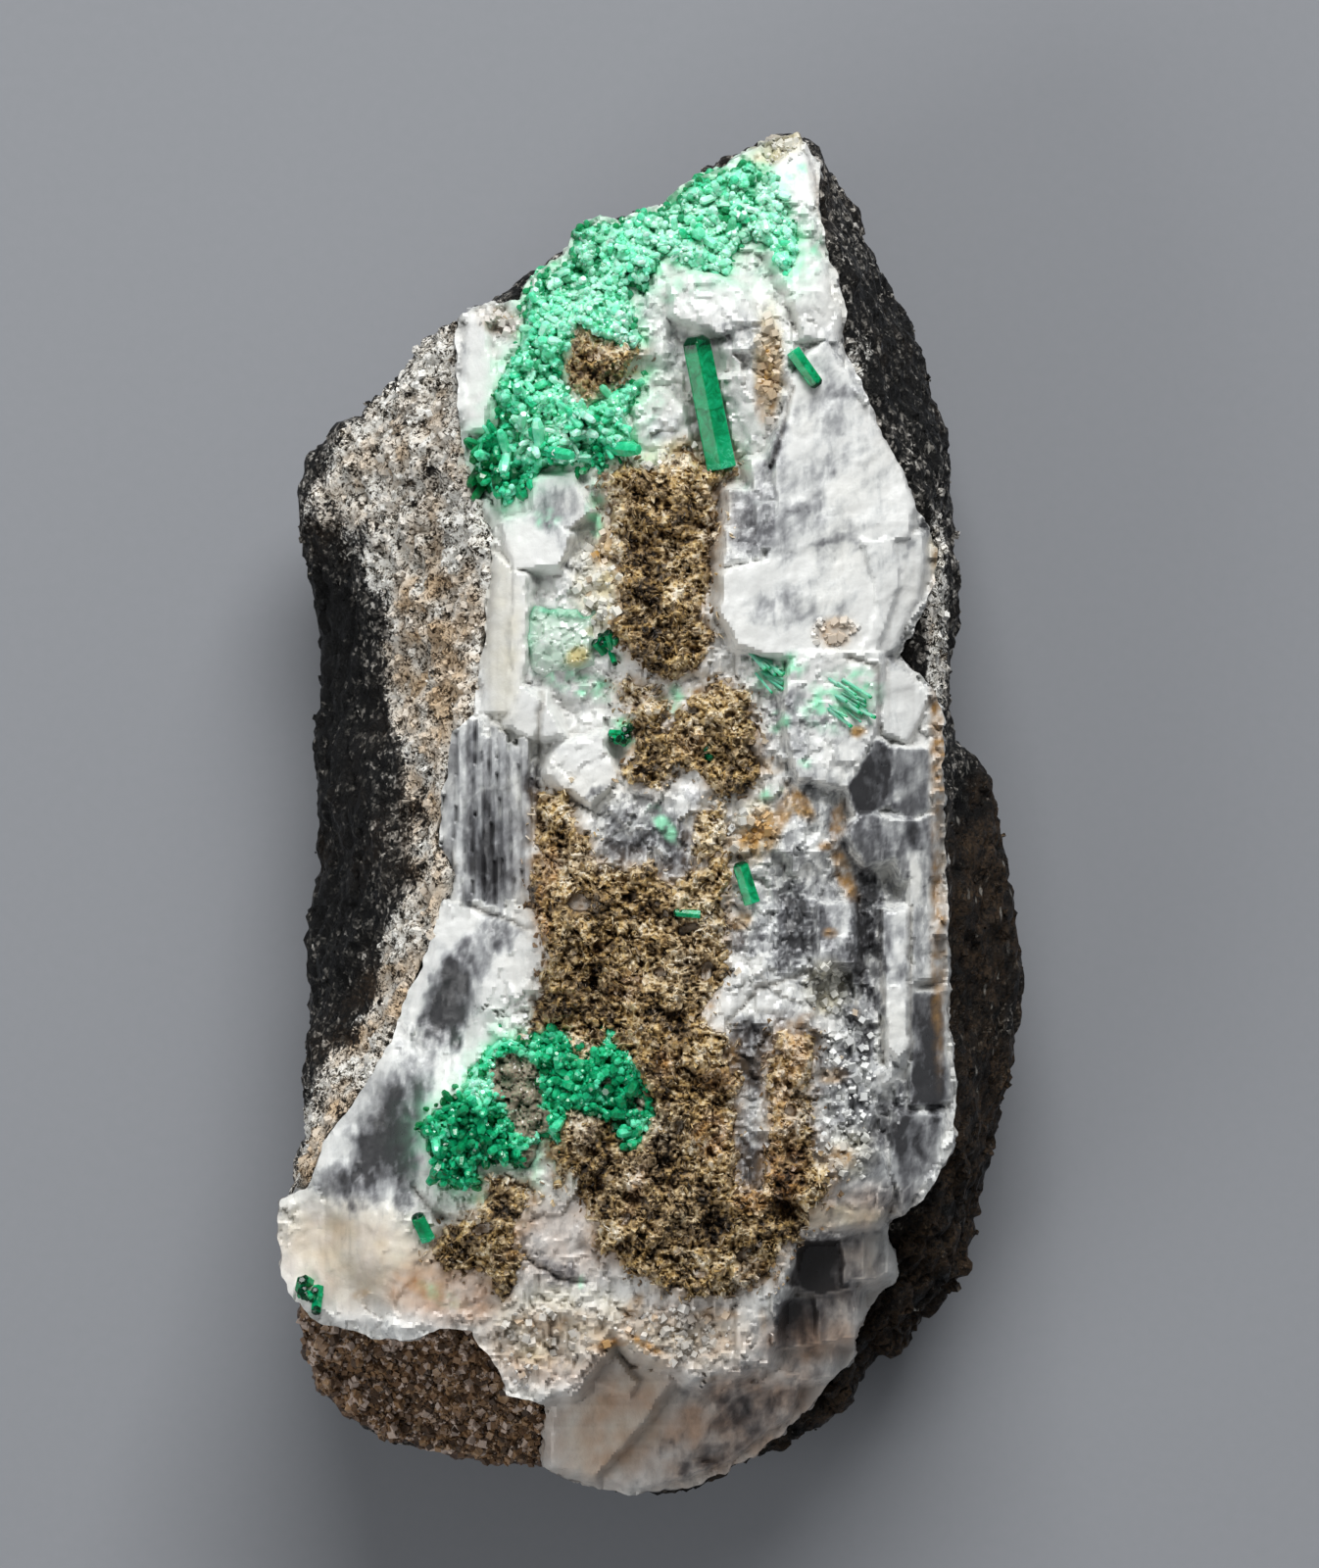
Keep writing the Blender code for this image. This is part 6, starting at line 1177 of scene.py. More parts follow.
# Painted shade, brown, in the hollows between the grains.
shade = put(tree, "Math", {1: 0.8}, {0: masks["hollow"]}, operation="MULTIPLY", use_clamp=True).outputs[0]
colour = put(tree, "MixRGB", {"Color2": linear("6A4C30")}, {"Fac": shade, "Color1": colour}, blend_type="MULTIPLY").outputs[0]
dull = put(tree, "MapRange", {"To Min": 0.75, "To Max": 0.28}, {"Value": masks["tint"]}).outputs[0]
fine_bump = put(tree, "Bump", {"Strength": 0.6, "Distance": 0.00018}, {"Height": grit}).outputs[0]
surface = put(
    tree, "BsdfPrincipled", {"IOR": 1.6, "Subsurface Weight": 0.15, "Subsurface Radius": (1.0, 0.8, 0.6), "Subsurface Scale": 0.0006},
    {"Base Color": colour, "Roughness": dull, "Normal": fine_bump},
)
put(tree, "OutputMaterial", links={"Surface": surface.outputs[0]})
dice = np.random.default_rng(13)
feet = dice.uniform((-37, -68), (-10, -48), (7000, 2))
feet = feet[(sandy_depth(feet) > 0.3) & (vein_depth(feet) < 0.4)]
size = 0.15 + 0.42 * dice.random(len(feet)) ** 3
loose, whose = grown_over(
    "sandy_crust_grains", np.column_stack((feet, sandy_height(feet) - 0.5 * size)),
    np.column_stack((dice.normal(0, 1, (len(feet), 2)), np.ones(len(feet)))), size * dice.uniform(0.9, 1.6, len(feet)), size,
    dice.uniform(0, 6, len(feet)), rhomb(),
)
mark(
    loose, tint=dice.random(len(feet))[whose], ochre=np.zeros(len(whose)), hollow=np.zeros(len(whose)),
    clear=(0.75 * (dice.random(len(feet)) > 0.8))[whose],
)
for piece in (sand, loose):
    piece.data.materials.append(dolomite)
    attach(piece, "root")
    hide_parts("sandy_crust")

# ---- The brown crusts --------------------------------------------------------------------------
# Weathered iron-stained dolomite and limonite that grew over the calcite in loose sugary grains. It
# sits in hollows of the vein and spills over their edges.

CRUST_GRID = 0.165
CRUMBS = 6.5  # loose grains to the square millimetre, before they are thinned out
CRUST_PROUD = {
    "brown_crust_top": 0.5, "brown_crust_upper": 1.5, "brown_crust_middle": 1.1, "brown_crust_lower": 1.3,
    "brown_crust_left": 0.9,
}
DARK_CLOTS = (
    (-1, 24, 7, 2.6, 90, 0.7), (0, 18, 4, 2.4, 90, 0.8), (8.6, 4, 2.6, 2.0, 0, 0.7), (-1.4, 7, 4, 1.6, 80, 0.6),
    (-6, 46.4, 2.4, 1.4, 0, 0.4), (-8, -12, 3.4, 2.4, 60, 0.4), (-9, -18.5, 3, 2, 20, 0.7), (2, -20, 6, 3, 60, 0.5),
    (0, -27, 4, 2, 90, 0.5), (-6, -34, 3.2, 1.8, 80, 0.8), (0.6, -37, 4, 2.2, 60, 0.8), (4, -41, 6, 3.4, 20, 0.75),
    (2.6, -47, 2.4, 1.2, 0, 0.8), (-20, -43, 2.4, 1.6, 30, 0.6), (-16, -41, 4, 1.4, 80, 0.5), (13, -38, 3, 1.4, 80, 0.6),
    (0, 1, 3, 1.8, 0, 0.6), (12, -41.6, 3, 1.6, 30, 0.6), (-15.6, -46.8, 3, 0.9, 80, 0.7),
)
OCHRE_CLOTS = (
    (14, -24, 3.4, 2.2, 90, 0.6), (13.2, -30, 7, 2.0, 90, 0.5), (13, -35.5, 4, 2.6, 90, 0.9), (5.6, -32, 2.8, 2.2, 80, 0.8),
    (-3, -17, 2.6, 1.8, 0, 0.7), (-11.4, -10, 4, 1.0, 90, 0.8), (6, -26.5, 2.4, 1.6, 0, 0.6), (10, -38.6, 2.6, 1.4, 0, 0.9),
    (0.8, -24.8, 1.8, 1.2, 80, 0.7), (-14, -43.8, 2.6, 1.0, 20, 0.5), (-2, -38, 4, 0.8, 70, 0.6), (3.6, 7.6, 2, 1.4, 0, 0.4),
    (-10.6, -5, 3, 1.0, 80, 0.7), (10, -45.5, 2.2, 1.2, 30, 0.5), (-5, 47.6, 2.4, 0.9, 30, 0.4),
)
PALE_CLOTS = (
    (5.8, 29, 4.4, 0.9, 90, 0.9), (3, 36.6, 4.6, 1.6, 10, 0.9), (-4.2, 26, 7, 0.9, 85, 0.7), (5.4, 22, 3, 0.8, 80, 0.6),
    (4.6, -9, 7, 2.6, 90, 0.5), (6.4, -18.4, 2.4, 1.4, 0, 0.7), (8.2, -29.4, 3, 1.2, 60, 0.8), (3.6, -44.4, 3, 1.6, 0, 0.5),
    (8.6, -45.4, 1.8, 1.6, 0, 0.8), (-6, -41.4, 2.4, 1.4, 50, 0.6), (4.4, 9.4, 2, 1.4, 0, 0.7), (-1, 11.8, 3, 1.4, 0, 0.6),
    (13.4, -31.2, 2, 1.2, 0, 0.6), (9, 12.4, 2.4, 1.2, 0, 0.6), (-4.4, 47.8, 2.6, 0.9, 20, 0.8), (-18, -41.0, 2.4, 1.0, 20, 0.6),
    (3.6, -2, 1.2, 2.2, 0, 0.7), (-9.6, 0.8, 1.6, 1.6, 0, 0.5), (15.6, -38.8, 2.2, 1.4, 40, 0.5),
    (13.8, -26.6, 6.4, 2.6, 90, 0.9), (6.0, 0, 3.4, 1.6, 80, 0.8), (-10.4, 0.2, 2.6, 1.6, 0, 0.8),
)
GREYED = ((-3, -3.5, 8, 2.4, 10, 0.7), (-1, -34, 6, 3, 60, 0.5), (1.6, -41, 5, 3, 0, 0.1), (-7, -31, 4, 2, 80, 0.7), (4, -12, 6, 3, 90, 0.35))


def walls(points):
    """Thin crooked walls standing up from the crust: 1 along their crests, 0 between them."""
    bent = points + 0.5 * np.stack((mottle(points, 1.8, 110, 3, 0.6), mottle(points, 1.8, 111, 3, 0.6)), 1)
    coarse = 1 - np.minimum(1, 3.0 * np.abs(mottle(bent, 1.5, 112, 2)))
    return np.maximum(coarse, 0.7 - np.minimum(0.7, 2.6 * np.abs(mottle(bent, 0.75, 113))))


def shard():
    """A thin broken plate of radius 1 and length 1 with a slanting top, as corners and faces."""
    corners = [
        (0.2 * x * (1 - 0.4 * z) + 0.3 * z, y * (1 - 0.35 * z), z * (0.72 + 0.28 * (y > 0)))
        for z in (0, 1) for x, y in ((-1, -0.9), (1, -0.8), (1, 0.8), (-1, 0.9))
    ]
    return np.array(corners), rhomb()[1]


def crust_height(points, name):
    depth = growth_depth(points, name)
    clumps, clump_edge, _ = facets(points, 2.9, 101, 0.35, 0.60)
    lumps, lump_edge, _ = facets(points + 0.2 * mottle(points, 1.5, 9)[:, None], 0.92, 102, 0.85, 0.26)
    fine, _, _ = facets(points, 0.45, 103, 0.9, 0.12)
    rough = (1.1 * mottle(points, 4.4, 104, 4, 0.6) + 0.8 * clumps) * ease(depth, 0, 2) + 0.45 * lumps + fine
    rough += 0.75 * walls(points) - 0.3
    rough -= 0.16 * (1 - ease(lump_edge, 0, 0.25)) + 0.2 * (1 - ease(clump_edge, 0, 0.5))
    under = 0.5 * vein_front(points) + 0.5 * vein_face(points)[0]
    return under - 1.0 + (1.0 + CRUST_PROUD[name]) * ease(depth, -0.6, 1.8) + rough


limonite, tree = new_material("limonite-stained dolomite")
# Loose grains, half of them clear or cream rhombs that glint, the rest dull brown iron oxide, and
# near-black between them, partly dark dust and partly painted shade in the hollows.
place = put(tree, "TexCoord").outputs["Object"]
masks = {
    name: put(tree, "Attribute", attribute_name=name).outputs["Fac"]
    for name in ("tint", "second", "dark", "ochre", "pale", "grey", "hollow")
}
grit = put(tree, "TexNoise", {"Scale": 1700.0, "Detail": 6.0, "Roughness": 0.7}, {"Vector": place}).outputs["Fac"]
spread = put(tree, "Math", {1: 0.45}, {0: grit}, operation="SUBTRACT").outputs[0]
spread = put(tree, "Math", {1: 1.1}, {0: spread}, operation="MULTIPLY").outputs[0]
level = put(tree, "Math", {1: 0.78, 2: 0.02}, {0: masks["tint"]}, operation="MULTIPLY_ADD").outputs[0]
level = put(tree, "Math", {}, {0: level, 1: spread}, operation="ADD").outputs[0]
raised = put(tree, "Math", {1: 0.42}, {0: masks["pale"]}, operation="MULTIPLY").outputs[0]
level = put(tree, "Math", {}, {0: level, 1: raised}, operation="ADD").outputs[0]
lowered = put(tree, "Math", {1: 0.34}, {0: masks["dark"]}, operation="MULTIPLY").outputs[0]
level = put(tree, "Math", {}, {0: level, 1: lowered}, operation="SUBTRACT").outputs[0]
body = put(tree, "ValToRGB", links={"Fac": level})
ramp = body.color_ramp
ramp.elements[0].position, ramp.elements[0].color = 0.0, linear("261D14")
ramp.elements[1].position, ramp.elements[1].color = 1.0, linear("EADFC8")
for position, code in ((0.18, "4A381E"), (0.36, "80663A"), (0.54, "AC8E57"), (0.74, "D2BA88")):
    ramp.elements.new(position).color = linear(code)
ochre_share = put(tree, "Math", {1: 0.55}, {0: masks["ochre"]}, operation="MULTIPLY", use_clamp=True).outputs[0]
colour = put(tree, "MixRGB", {"Color2": linear("E0A24C")}, {"Fac": ochre_share, "Color1": body.outputs[0]}, blend_type="MULTIPLY").outputs[0]
greyed = put(tree, "HueSaturation", {"Saturation": 0.45}, {"Color": colour}).outputs[0]
grey_share = put(tree, "Math", {1: 0.5}, {0: masks["second"]}, operation="GREATER_THAN").outputs[0]
grey_share = put(tree, "Math", {1: 0.35}, {0: grey_share}, operation="MULTIPLY").outputs[0]
grey_share = put(tree, "Math", {}, {0: grey_share, 1: masks["grey"]}, operation="MAXIMUM").outputs[0]
colour = put(tree, "MixRGB", {}, {"Fac": grey_share, "Color1": colour, "Color2": greyed}).outputs[0]
# Painted shade in the hollows between the grains.
shade = put(tree, "Math", {1: 0.9}, {0: masks["hollow"]}, operation="MULTIPLY", use_clamp=True).outputs[0]
colour = put(tree, "MixRGB", {"Color2": linear("745C3C")}, {"Fac": shade, "Color1": colour}, blend_type="MULTIPLY").outputs[0]
dull = put(tree, "MapRange", {"To Min": 0.80, "To Max": 0.25}, {"Value": masks["second"]}).outputs[0]
fine_bump = put(tree, "Bump", {"Strength": 0.8, "Distance": 0.00018}, {"Height": grit}).outputs[0]
surface = put(
    tree, "BsdfPrincipled", {"IOR": 1.6, "Subsurface Weight": 0.10, "Subsurface Radius": (1.0, 0.8, 0.6), "Subsurface Scale": 0.0005},
    {"Base Color": colour, "Roughness": dull, "Normal": fine_bump},
)
put(tree, "OutputMaterial", links={"Surface": surface.outputs[0]})

for name in CRUST_PROUD:
    crust, points, source = relief(
        name + "_grains", CRUST_GRID, GROWTHS[name], lambda p: growth_depth(p, name) + 0.5,
        lambda p: crust_height(p, name), lambda p: vein_front(p) - 3.6, swing=0.1,
    )
    _, _, _, keys = grains(points + 0.2 * mottle(points, 1.5, 9)[:, None], 0.92, 102)
    _, _, _, fine_keys = grains(points, 0.45, 103)
    tint = 0.26 * shares(keys, 2)[:, 1] + 0.22 * shares(fine_keys, 1)[:, 0] + 0.14 + 0.34 * mottle(points, 3.6, 97, 4, 0.7)
    tint += 0.5 * walls(points)
    tops = crust_height(points, name)
    hollow = 0.8 * np.maximum(hollows(points, tops, 0.9), 0) + 0.5 * np.maximum(hollows(points, tops, 2.2), 0)
    sides = 0.5 + 0.6 * mottle(read(crust), 1.4, 98, 3)
    mark(
        crust, tint=with_sides(tint, source, sides), second=shares(fine_keys, 2)[source, 1],
        dark=(spots(points, DARK_CLOTS) * (0.7 + 0.8 * mottle(points, 1.6, 105, 2)))[source],
        ochre=(spots(points, OCHRE_CLOTS) * (0.8 + 0.8 * mottle(points, 1.6, 106, 2)) + 0.25 * mottle(points, 5, 107))[source],
        pale=(spots(points, PALE_CLOTS) * (0.8 + 0.8 * mottle(points, 1.2, 108, 2)))[source],
        grey=np.clip(spots(points, GREYED) + 0.3 * mottle(points, 6, 109), 0, 1)[source],
        hollow=np.clip(hollow, 0, 1)[source],
    )
    dice = np.random.default_rng(len(name))
    low, high = np.min(GROWTHS[name], 0) - 3, np.max(GROWTHS[name], 0) + 3
    feet = dice.uniform(low, high, (int(CRUMBS * (high - low).prod()), 2))
    depth = growth_depth(feet, name)
    feet = feet[(dice.random(len(feet)) < np.where(depth > 1.2, 0.55, np.exp((depth - 1.2) / 0.7))) & (vein_depth(feet) > 0.5) & (depth > -0.9)]
    radii = 0.16 + 0.30 * dice.random(len(feet)) ** 2
    leans = np.column_stack((dice.normal(0, 0.9, (len(feet), 2)), np.ones(len(feet))))
    level = np.maximum(vein_top(feet), crust_height(feet, name))
    loose, whose = grown_over(
        name + "_crumbs", np.column_stack((feet, level - 0.35 * radii)), leans, radii * dice.uniform(1.1, 2.2, len(feet)), radii,
        dice.uniform(0, 6, len(feet)), shard(),
    )
    # Painted light on each crumb: lighter at its top corners, with painted shade at its foot.
    crest = np.tile(np.repeat((0.0, 1.0), 4), len(feet))
    outside = 1 - ease(growth_depth(feet, name), 0, 1.4)
    mark(
        loose, tint=(0.5 * dice.random(len(feet)) + 0.10 + 0.34 * mottle(feet, 3.6, 97, 4, 0.7))[whose] + 0.34 * crest, second=dice.random(len(feet))[whose],
        hollow=np.clip(0.9 * hollows(feet, level, 2.0)[whose] + 0.25 * (1 - crest), 0, 1),
        dark=spots(feet, DARK_CLOTS)[whose], ochre=np.clip(spots(feet, OCHRE_CLOTS) + 0.2 * outside, 0, 1)[whose],
        pale=np.clip(spots(feet, PALE_CLOTS) + 0.9 * outside, 0, 1)[whose], grey=np.clip(dice.random(len(feet)) - 0.4, 0, 1)[whose],
    )
    for piece in (crust, loose):
        piece.data.materials.append(limonite)
        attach(piece, "root")
        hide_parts(name)

# ---- The emerald druses ------------------------------------------------------------------------
# Hundreds of small emeralds grown together in a sugary crust: pale and minty where they are thin,
# deep green where they are thick. They grew on the calcite and out of it.

DEEP_GREEN = (
    (-16.6, 36, 5, 2.4, 80, 0.7), (-12, 34.5, 3, 1.6, 0, 0.5), (-14.5, 42, 4, 2.0, 70, 0.5), (-20, -33, 6.5, 5.5, 0, 0.8),
    (-8.4, -26, 5, 4.4, 60, 0.75), (-2, -27, 4.4, 3.4, -50, 0.85), (-14, -22.4, 3, 1.4, 20, 0.4),
    (-8.6, -28, 3.6, 2.0, 60, 0.7), (-5.4, -21, 2.4, 1.4, 60, 0.8), (0.4, -29.4, 2.6, 1.0, -55, 1.0), (-10.2, -21.6, 2.6, 1.6, 60, 0.7),
    (-3, -32.8, 3.4, 1.4, 0, 1.0), (-14.6, -34.6, 3.4, 1.8, 0, 0.8), (-4, -29.6, 4, 1.2, 10, 0.9), (4, 60, 5, 1.4, 20, 0.25),
    (-11, 50, 4, 1.2, 80, 0.25), (-10.8, 37.8, 1.2, 0.8, 0, 1.2), (-5.8, 37.2, 0.9, 1.4, 0, 1.2), (3.8, 59.2, 0.8, 0.7, 0, 1.1),
    (7.2, 54.4, 0.9, 0.6, 0, 1.3), (-10.3, 45.2, 0.6, 1.2, 0, 0.9), (-7.6, 40.2, 1.6, 0.6, 20, 0.8), (-15, 35.4, 2.2, 0.9, -30, 1.3), (9, 61.4, 2.4, 0.6, 50, 0.6),
)
MINTY = (
    (-21.6, -32, 2.2, 1.2, 60, 1.0), (-17.4, -27.4, 1.8, 1.4, 0, 1.0), (-8.2, -25.2, 2.0, 0.8, -40, 1.0), (-2, -25.4, 2.4, 0.7, -50, 1.0),
    (-14.6, -22, 2.6, 1.0, 20, 1.0), (-5.4, -27.6, 1.4, 0.6, -40, 0.9), (5, 60, 9, 4, 20, 0.7), (-8, 54, 6, 4, 50, 0.7),
    (-10.5, 38.5, 5, 2.2, 0, 0.7), (11, 62, 5, 3, 60, 0.8), (-2.8, 50.6, 4, 2, 80, 0.8),
)
GANGUE = (  # where grey-brown grains show between the crystals
    (-14, -26.8, 4.0, 2.8, -60, 1.0), (-12.6, -30.6, 2.4, 2.0, 0, 1.0), (-7.0, -22.0, 1.0, 1.0, 60, 0.9), (-4.9, -26.8, 0.9, 0.7, 0, 0.8),
    (-7.4, -32.6, 1.8, 2.6, 0, 1.0), (-1.8, -28.4, 1.4, 0.8, -60, 0.8), (-12.2, -34.4, 1.6, 1.6, 0, 1.0), (-5.2, -30.8, 2.4, 0.8, 0, 0.7),
)
RODS = ((-9, 38.5, 9, 3.6, 0, 1.0), (-16.5, 38, 5, 2.6, 90, 0.7), (6, 61, 8, 3, 30, 0.4), (-20, -32, 6, 5, 0, 0.6))
DRUSE = {
    # name: (how proud, width of a crystal, how many stand up, seed, how deep its green is all over)
    "emerald_druse_top": (1.1, 1.25, 1500, 5, 0.0),
    "emerald_druse_lower": (1.0, 1.05, 900, 6, 0.26),
}


def druse_height(points, name):
    proud, size, _, seed, _ = DRUSE[name]
    depth = growth_depth(points, name)
    packed, border, _ = facets(points + 0.15 * mottle(points, 1, 119)[:, None], size, 120 + seed, 0.9, 0.26)
    fine, fine_border, _ = facets(points, 0.5 * size, 130 + seed, 0.7, 0.12)
    body = proud + 0.9 * mottle(points, 4.6, 140 + seed, 3) + packed + fine - 0.22 * (1 - ease(border, 0, 0.2))
    body += 0.35 * spots(points, DEEP_GREEN) - 0.8 * spots(points, GANGUE)
    under = 0.6 * vein_front(points) + 0.4 * vein_face(points)[0]
    return under - 1.2 + (1.2 + body) * ease(depth, -0.3, 1.1)


def hexagonal(sides=6, end=0.80, bevel=0.14):
    """A short six-sided crystal of radius 1 and length 1 with a bevelled end, as corners and faces."""
    corners, faces = [], []
    for level, size in ((0.0, 0.9), (1 - bevel, 1.0), (1.0, end)):
        corners += [(size * math.cos(math.tau * s / sides), size * math.sin(math.tau * s / sides), level) for s in range(sides)]
    for ring in (0, 1):
        for s in range(sides):
            low, high = ring * sides, (ring + 1) * sides
            faces.append((low + s, low + (s + 1) % sides, high + (s + 1) % sides, high + s))
    faces.append(tuple(range(2 * sides, 3 * sides)))
    faces.append(tuple(reversed(range(sides))))
    return np.array(corners), faces


emerald_sugar, tree = new_material("druse of small emeralds")
# Beryl coloured by chromium. Each crystal is glassy with light edges, and the crust is cloudy inside,
# so light soaks through it and comes back mint green.
place = put(tree, "TexCoord").outputs["Object"]
masks = {name: put(tree, "Attribute", attribute_name=name).outputs["Fac"] for name in ("tint", "deep", "minty", "gangue", "hollow")}
grit = put(tree, "TexNoise", {"Scale": 1300.0, "Detail": 5.0, "Roughness": 0.62}, {"Vector": place}).outputs["Fac"]
level = put(tree, "Math", {1: 0.42, 2: 0.45}, {0: masks["tint"]}, operation="MULTIPLY_ADD").outputs[0]
spread = put(tree, "Math", {1: 0.7, 2: -0.35}, {0: grit}, operation="MULTIPLY_ADD").outputs[0]
level = put(tree, "Math", {}, {0: level, 1: spread}, operation="ADD").outputs[0]
raised = put(tree, "Math", {1: 0.25}, {0: masks["minty"]}, operation="MULTIPLY").outputs[0]
lowered = put(tree, "Math", {1: 0.48}, {0: masks["deep"]}, operation="MULTIPLY").outputs[0]
level = put(tree, "Math", {}, {0: level, 1: raised}, operation="ADD").outputs[0]
level = put(tree, "Math", {}, {0: level, 1: lowered}, operation="SUBTRACT").outputs[0]
body = put(tree, "ValToRGB", links={"Fac": level})
ramp = body.color_ramp
ramp.elements[0].position, ramp.elements[0].color = 0.0, linear("056B42")
ramp.elements[1].position, ramp.elements[1].color = 1.0, linear("CFFBE6")
for position, code in ((0.14, "0A9460"), (0.30, "1FB87E"), (0.46, "50D8A4"), (0.66, "90F0C8")):
    ramp.elements.new(position).color = linear(code)
stone = put(tree, "MixRGB", {"Color1": linear("5C5344"), "Color2": linear("B9AF9B")}, {"Fac": masks["tint"]}).outputs[0]
bare = put(tree, "MapRange", {"From Min": 0.35, "From Max": 0.55}, {"Value": masks["gangue"]}).outputs[0]
colour = put(tree, "MixRGB", {}, {"Fac": bare, "Color1": body.outputs[0], "Color2": stone}).outputs[0]
# Painted shade in the hollows between the crystals.
shade = put(tree, "Math", {1: 1.0}, {0: masks["hollow"]}, operation="MULTIPLY", use_clamp=True).outputs[0]
colour = put(tree, "MixRGB", {"Color2": linear("459C7A")}, {"Fac": shade, "Color1": colour}, blend_type="MULTIPLY").outputs[0]
fine_bump = put(tree, "Bump", {"Strength": 0.25, "Distance": 0.0001}, {"Height": grit}).outputs[0]
surface = put(
    tree, "BsdfPrincipled", {"IOR": 1.58, "Roughness": 0.16, "Subsurface Weight": 0.35, "Subsurface Radius": (0.3, 1.0, 0.7), "Subsurface Scale": 0.0009},
    {"Base Color": colour, "Normal": fine_bump},
)
put(tree, "OutputMaterial", links={"Surface": surface.outputs[0]})

for name, (proud, size, count, seed, thick) in DRUSE.items():
    bed, points, source = relief(
        name + "_sugar", CRUST_GRID, GROWTHS[name], lambda p: growth_depth(p, name) + 0.3,
        lambda p: druse_height(p, name), lambda p: vein_front(p) - 4.0, swing=0.1,
    )
    _, _, _, keys = grains(points, size, 120 + seed)
    _, _, _, fine_keys = grains(points, 0.5 * size, 130 + seed)
    tint = 0.6 * shares(keys, 2)[:, 1] + 0.4 * shares(fine_keys, 1)[:, 0]
    hollow = np.maximum(hollows(points, druse_height(points, name), 1.0), 0)
    ragged = 0.35 * mottle(points, 1.3, 150, 2)
    sides = 0.5 + 0.6 * mottle(read(bed), 1.4, 152, 3)
    mark(
        bed, tint=with_sides(tint, source, sides), deep=np.clip(thick + spots(points, DEEP_GREEN) + 0.3 * mottle(points, 3, 151), 0, 1.2)[source],
        minty=np.clip(spots(points, MINTY) + ragged, 0, 1)[source],
        gangue=np.clip(spots(points, GANGUE) + ragged, 0, 1)[source], hollow=np.clip(1.2 * hollow, 0, 1)[source],
    )
    dice = np.random.default_rng(seed)
    low, high = np.min(GROWTHS[name], 0), np.max(GROWTHS[name], 0)
    feet = dice.uniform(low, high, (count * 6, 2))
    feet = feet[growth_depth(feet, name) > 0.1]
    feet = feet[spots(feet, GANGUE) < dice.uniform(0.2, 0.9, len(feet))][:count]
    count = len(feet)
    deep = spots(feet, DEEP_GREEN)
    rods = spots(feet, RODS)
    radii = size * (0.12 + 0.26 * dice.random(count) ** 2) * (1 + 0.9 * deep * dice.random(count))
    lengths = radii * dice.uniform(1.3, 3.6, count) * (1 + 1.1 * rods)
    leans = np.column_stack((dice.normal(0, 1.0, (count, 2)), np.ones(count)))
    base = np.column_stack((feet, druse_height(feet, name) - 0.25 * lengths))
    small, whose = grown_over(name + "_crystals", base, leans, lengths, radii, dice.uniform(0, 6, count), hexagonal(6, 0.62, 0.22))
    mark(
        small, tint=np.clip(dice.random(count) * 1.0, 0, 1)[whose], deep=np.clip(thick + deep + 0.2 * mottle(feet, 3, 151), 0, 1.2)[whose],
        minty=spots(feet, MINTY)[whose], gangue=np.zeros(len(whose)),
        hollow=np.clip(1.4 * hollows(feet, druse_height(feet, name), 2.0), 0, 1)[whose],
    )
    for piece in (bed, small):
        piece.data.materials.append(emerald_sugar)
        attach(piece, "root")
        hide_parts(name)

# ---- The pale beryl ----------------------------------------------------------------------------
# One stubby, nearly colourless beryl sunk in the calcite, milky grey-green, with a thin skin of
# green crystals along its top and its left side.

BERYL_SKIN = ((-13.0, 16.9), (-13.0, 20.4), (-12.3, 21.6), (-9.6, 20.9), (-6.3, 20.7))


def beryl_height(points):
    depth = depth_in(points, GROWTHS["pale_beryl_crystal"]) + 0.2 * mottle(points, 1.6, 160, 2)
    flat, border, _ = facets(points, 2.6, 161, 0.35, 0.25, 20, 1.3)
    fine, _, _ = facets(points, 0.8, 162, 0.5, 0.08)
    rim = 0.45 * np.exp(-((along(points, BERYL_SKIN) / 0.5) ** 2))
    body = 1.3 + flat + fine - 0.15 * (1 - ease(border, 0, 0.25)) + rim
    return vein_front(points) - 0.6 + body * ease(depth, -0.1, 0.8) + 0.2 * mottle(points, 3, 163, 2)


beryl, points, source = relief(
    "pale_beryl_block", 0.16, GROWTHS["pale_beryl_crystal"],
    lambda p: depth_in(p, GROWTHS["pale_beryl_crystal"]) + 0.2 * mottle(p, 1.6, 160, 2) + 0.2,
    beryl_height, lambda p: vein_front(p) - 3.4, swing=0.05,
)
_, _, beryl_tone = facets(points, 0.8, 162, 0.5, 0.08)
skin = np.exp(-((along(points, BERYL_SKIN) / 0.55) ** 2)) * (0.85 + 0.5 * mottle(points, 0.8, 165))
yellow = spots(points, ((-7.8, 16.4, 1.5, 1.1, 30, 0.8), (-6.4, 19.0, 0.8, 0.6, 0, 0.4)))
milky = spots(points, ((-11.2, 15.0, 1.8, 0.9, 0, 0.7), (-10.6, 18.4, 1.6, 0.9, 40, 0.6), (-8.2, 19.2, 0.9, 0.6, 0, 0.8)))
mark(
    beryl, skin=np.clip(skin, 0, 1)[source], yellow=yellow[source], tone=beryl_tone[source],
    milky=np.clip(milky + 0.5 * mottle(points, 0.9, 166, 2), 0, 1)[source],
)
goshenite, tree = new_material("milky pale beryl")
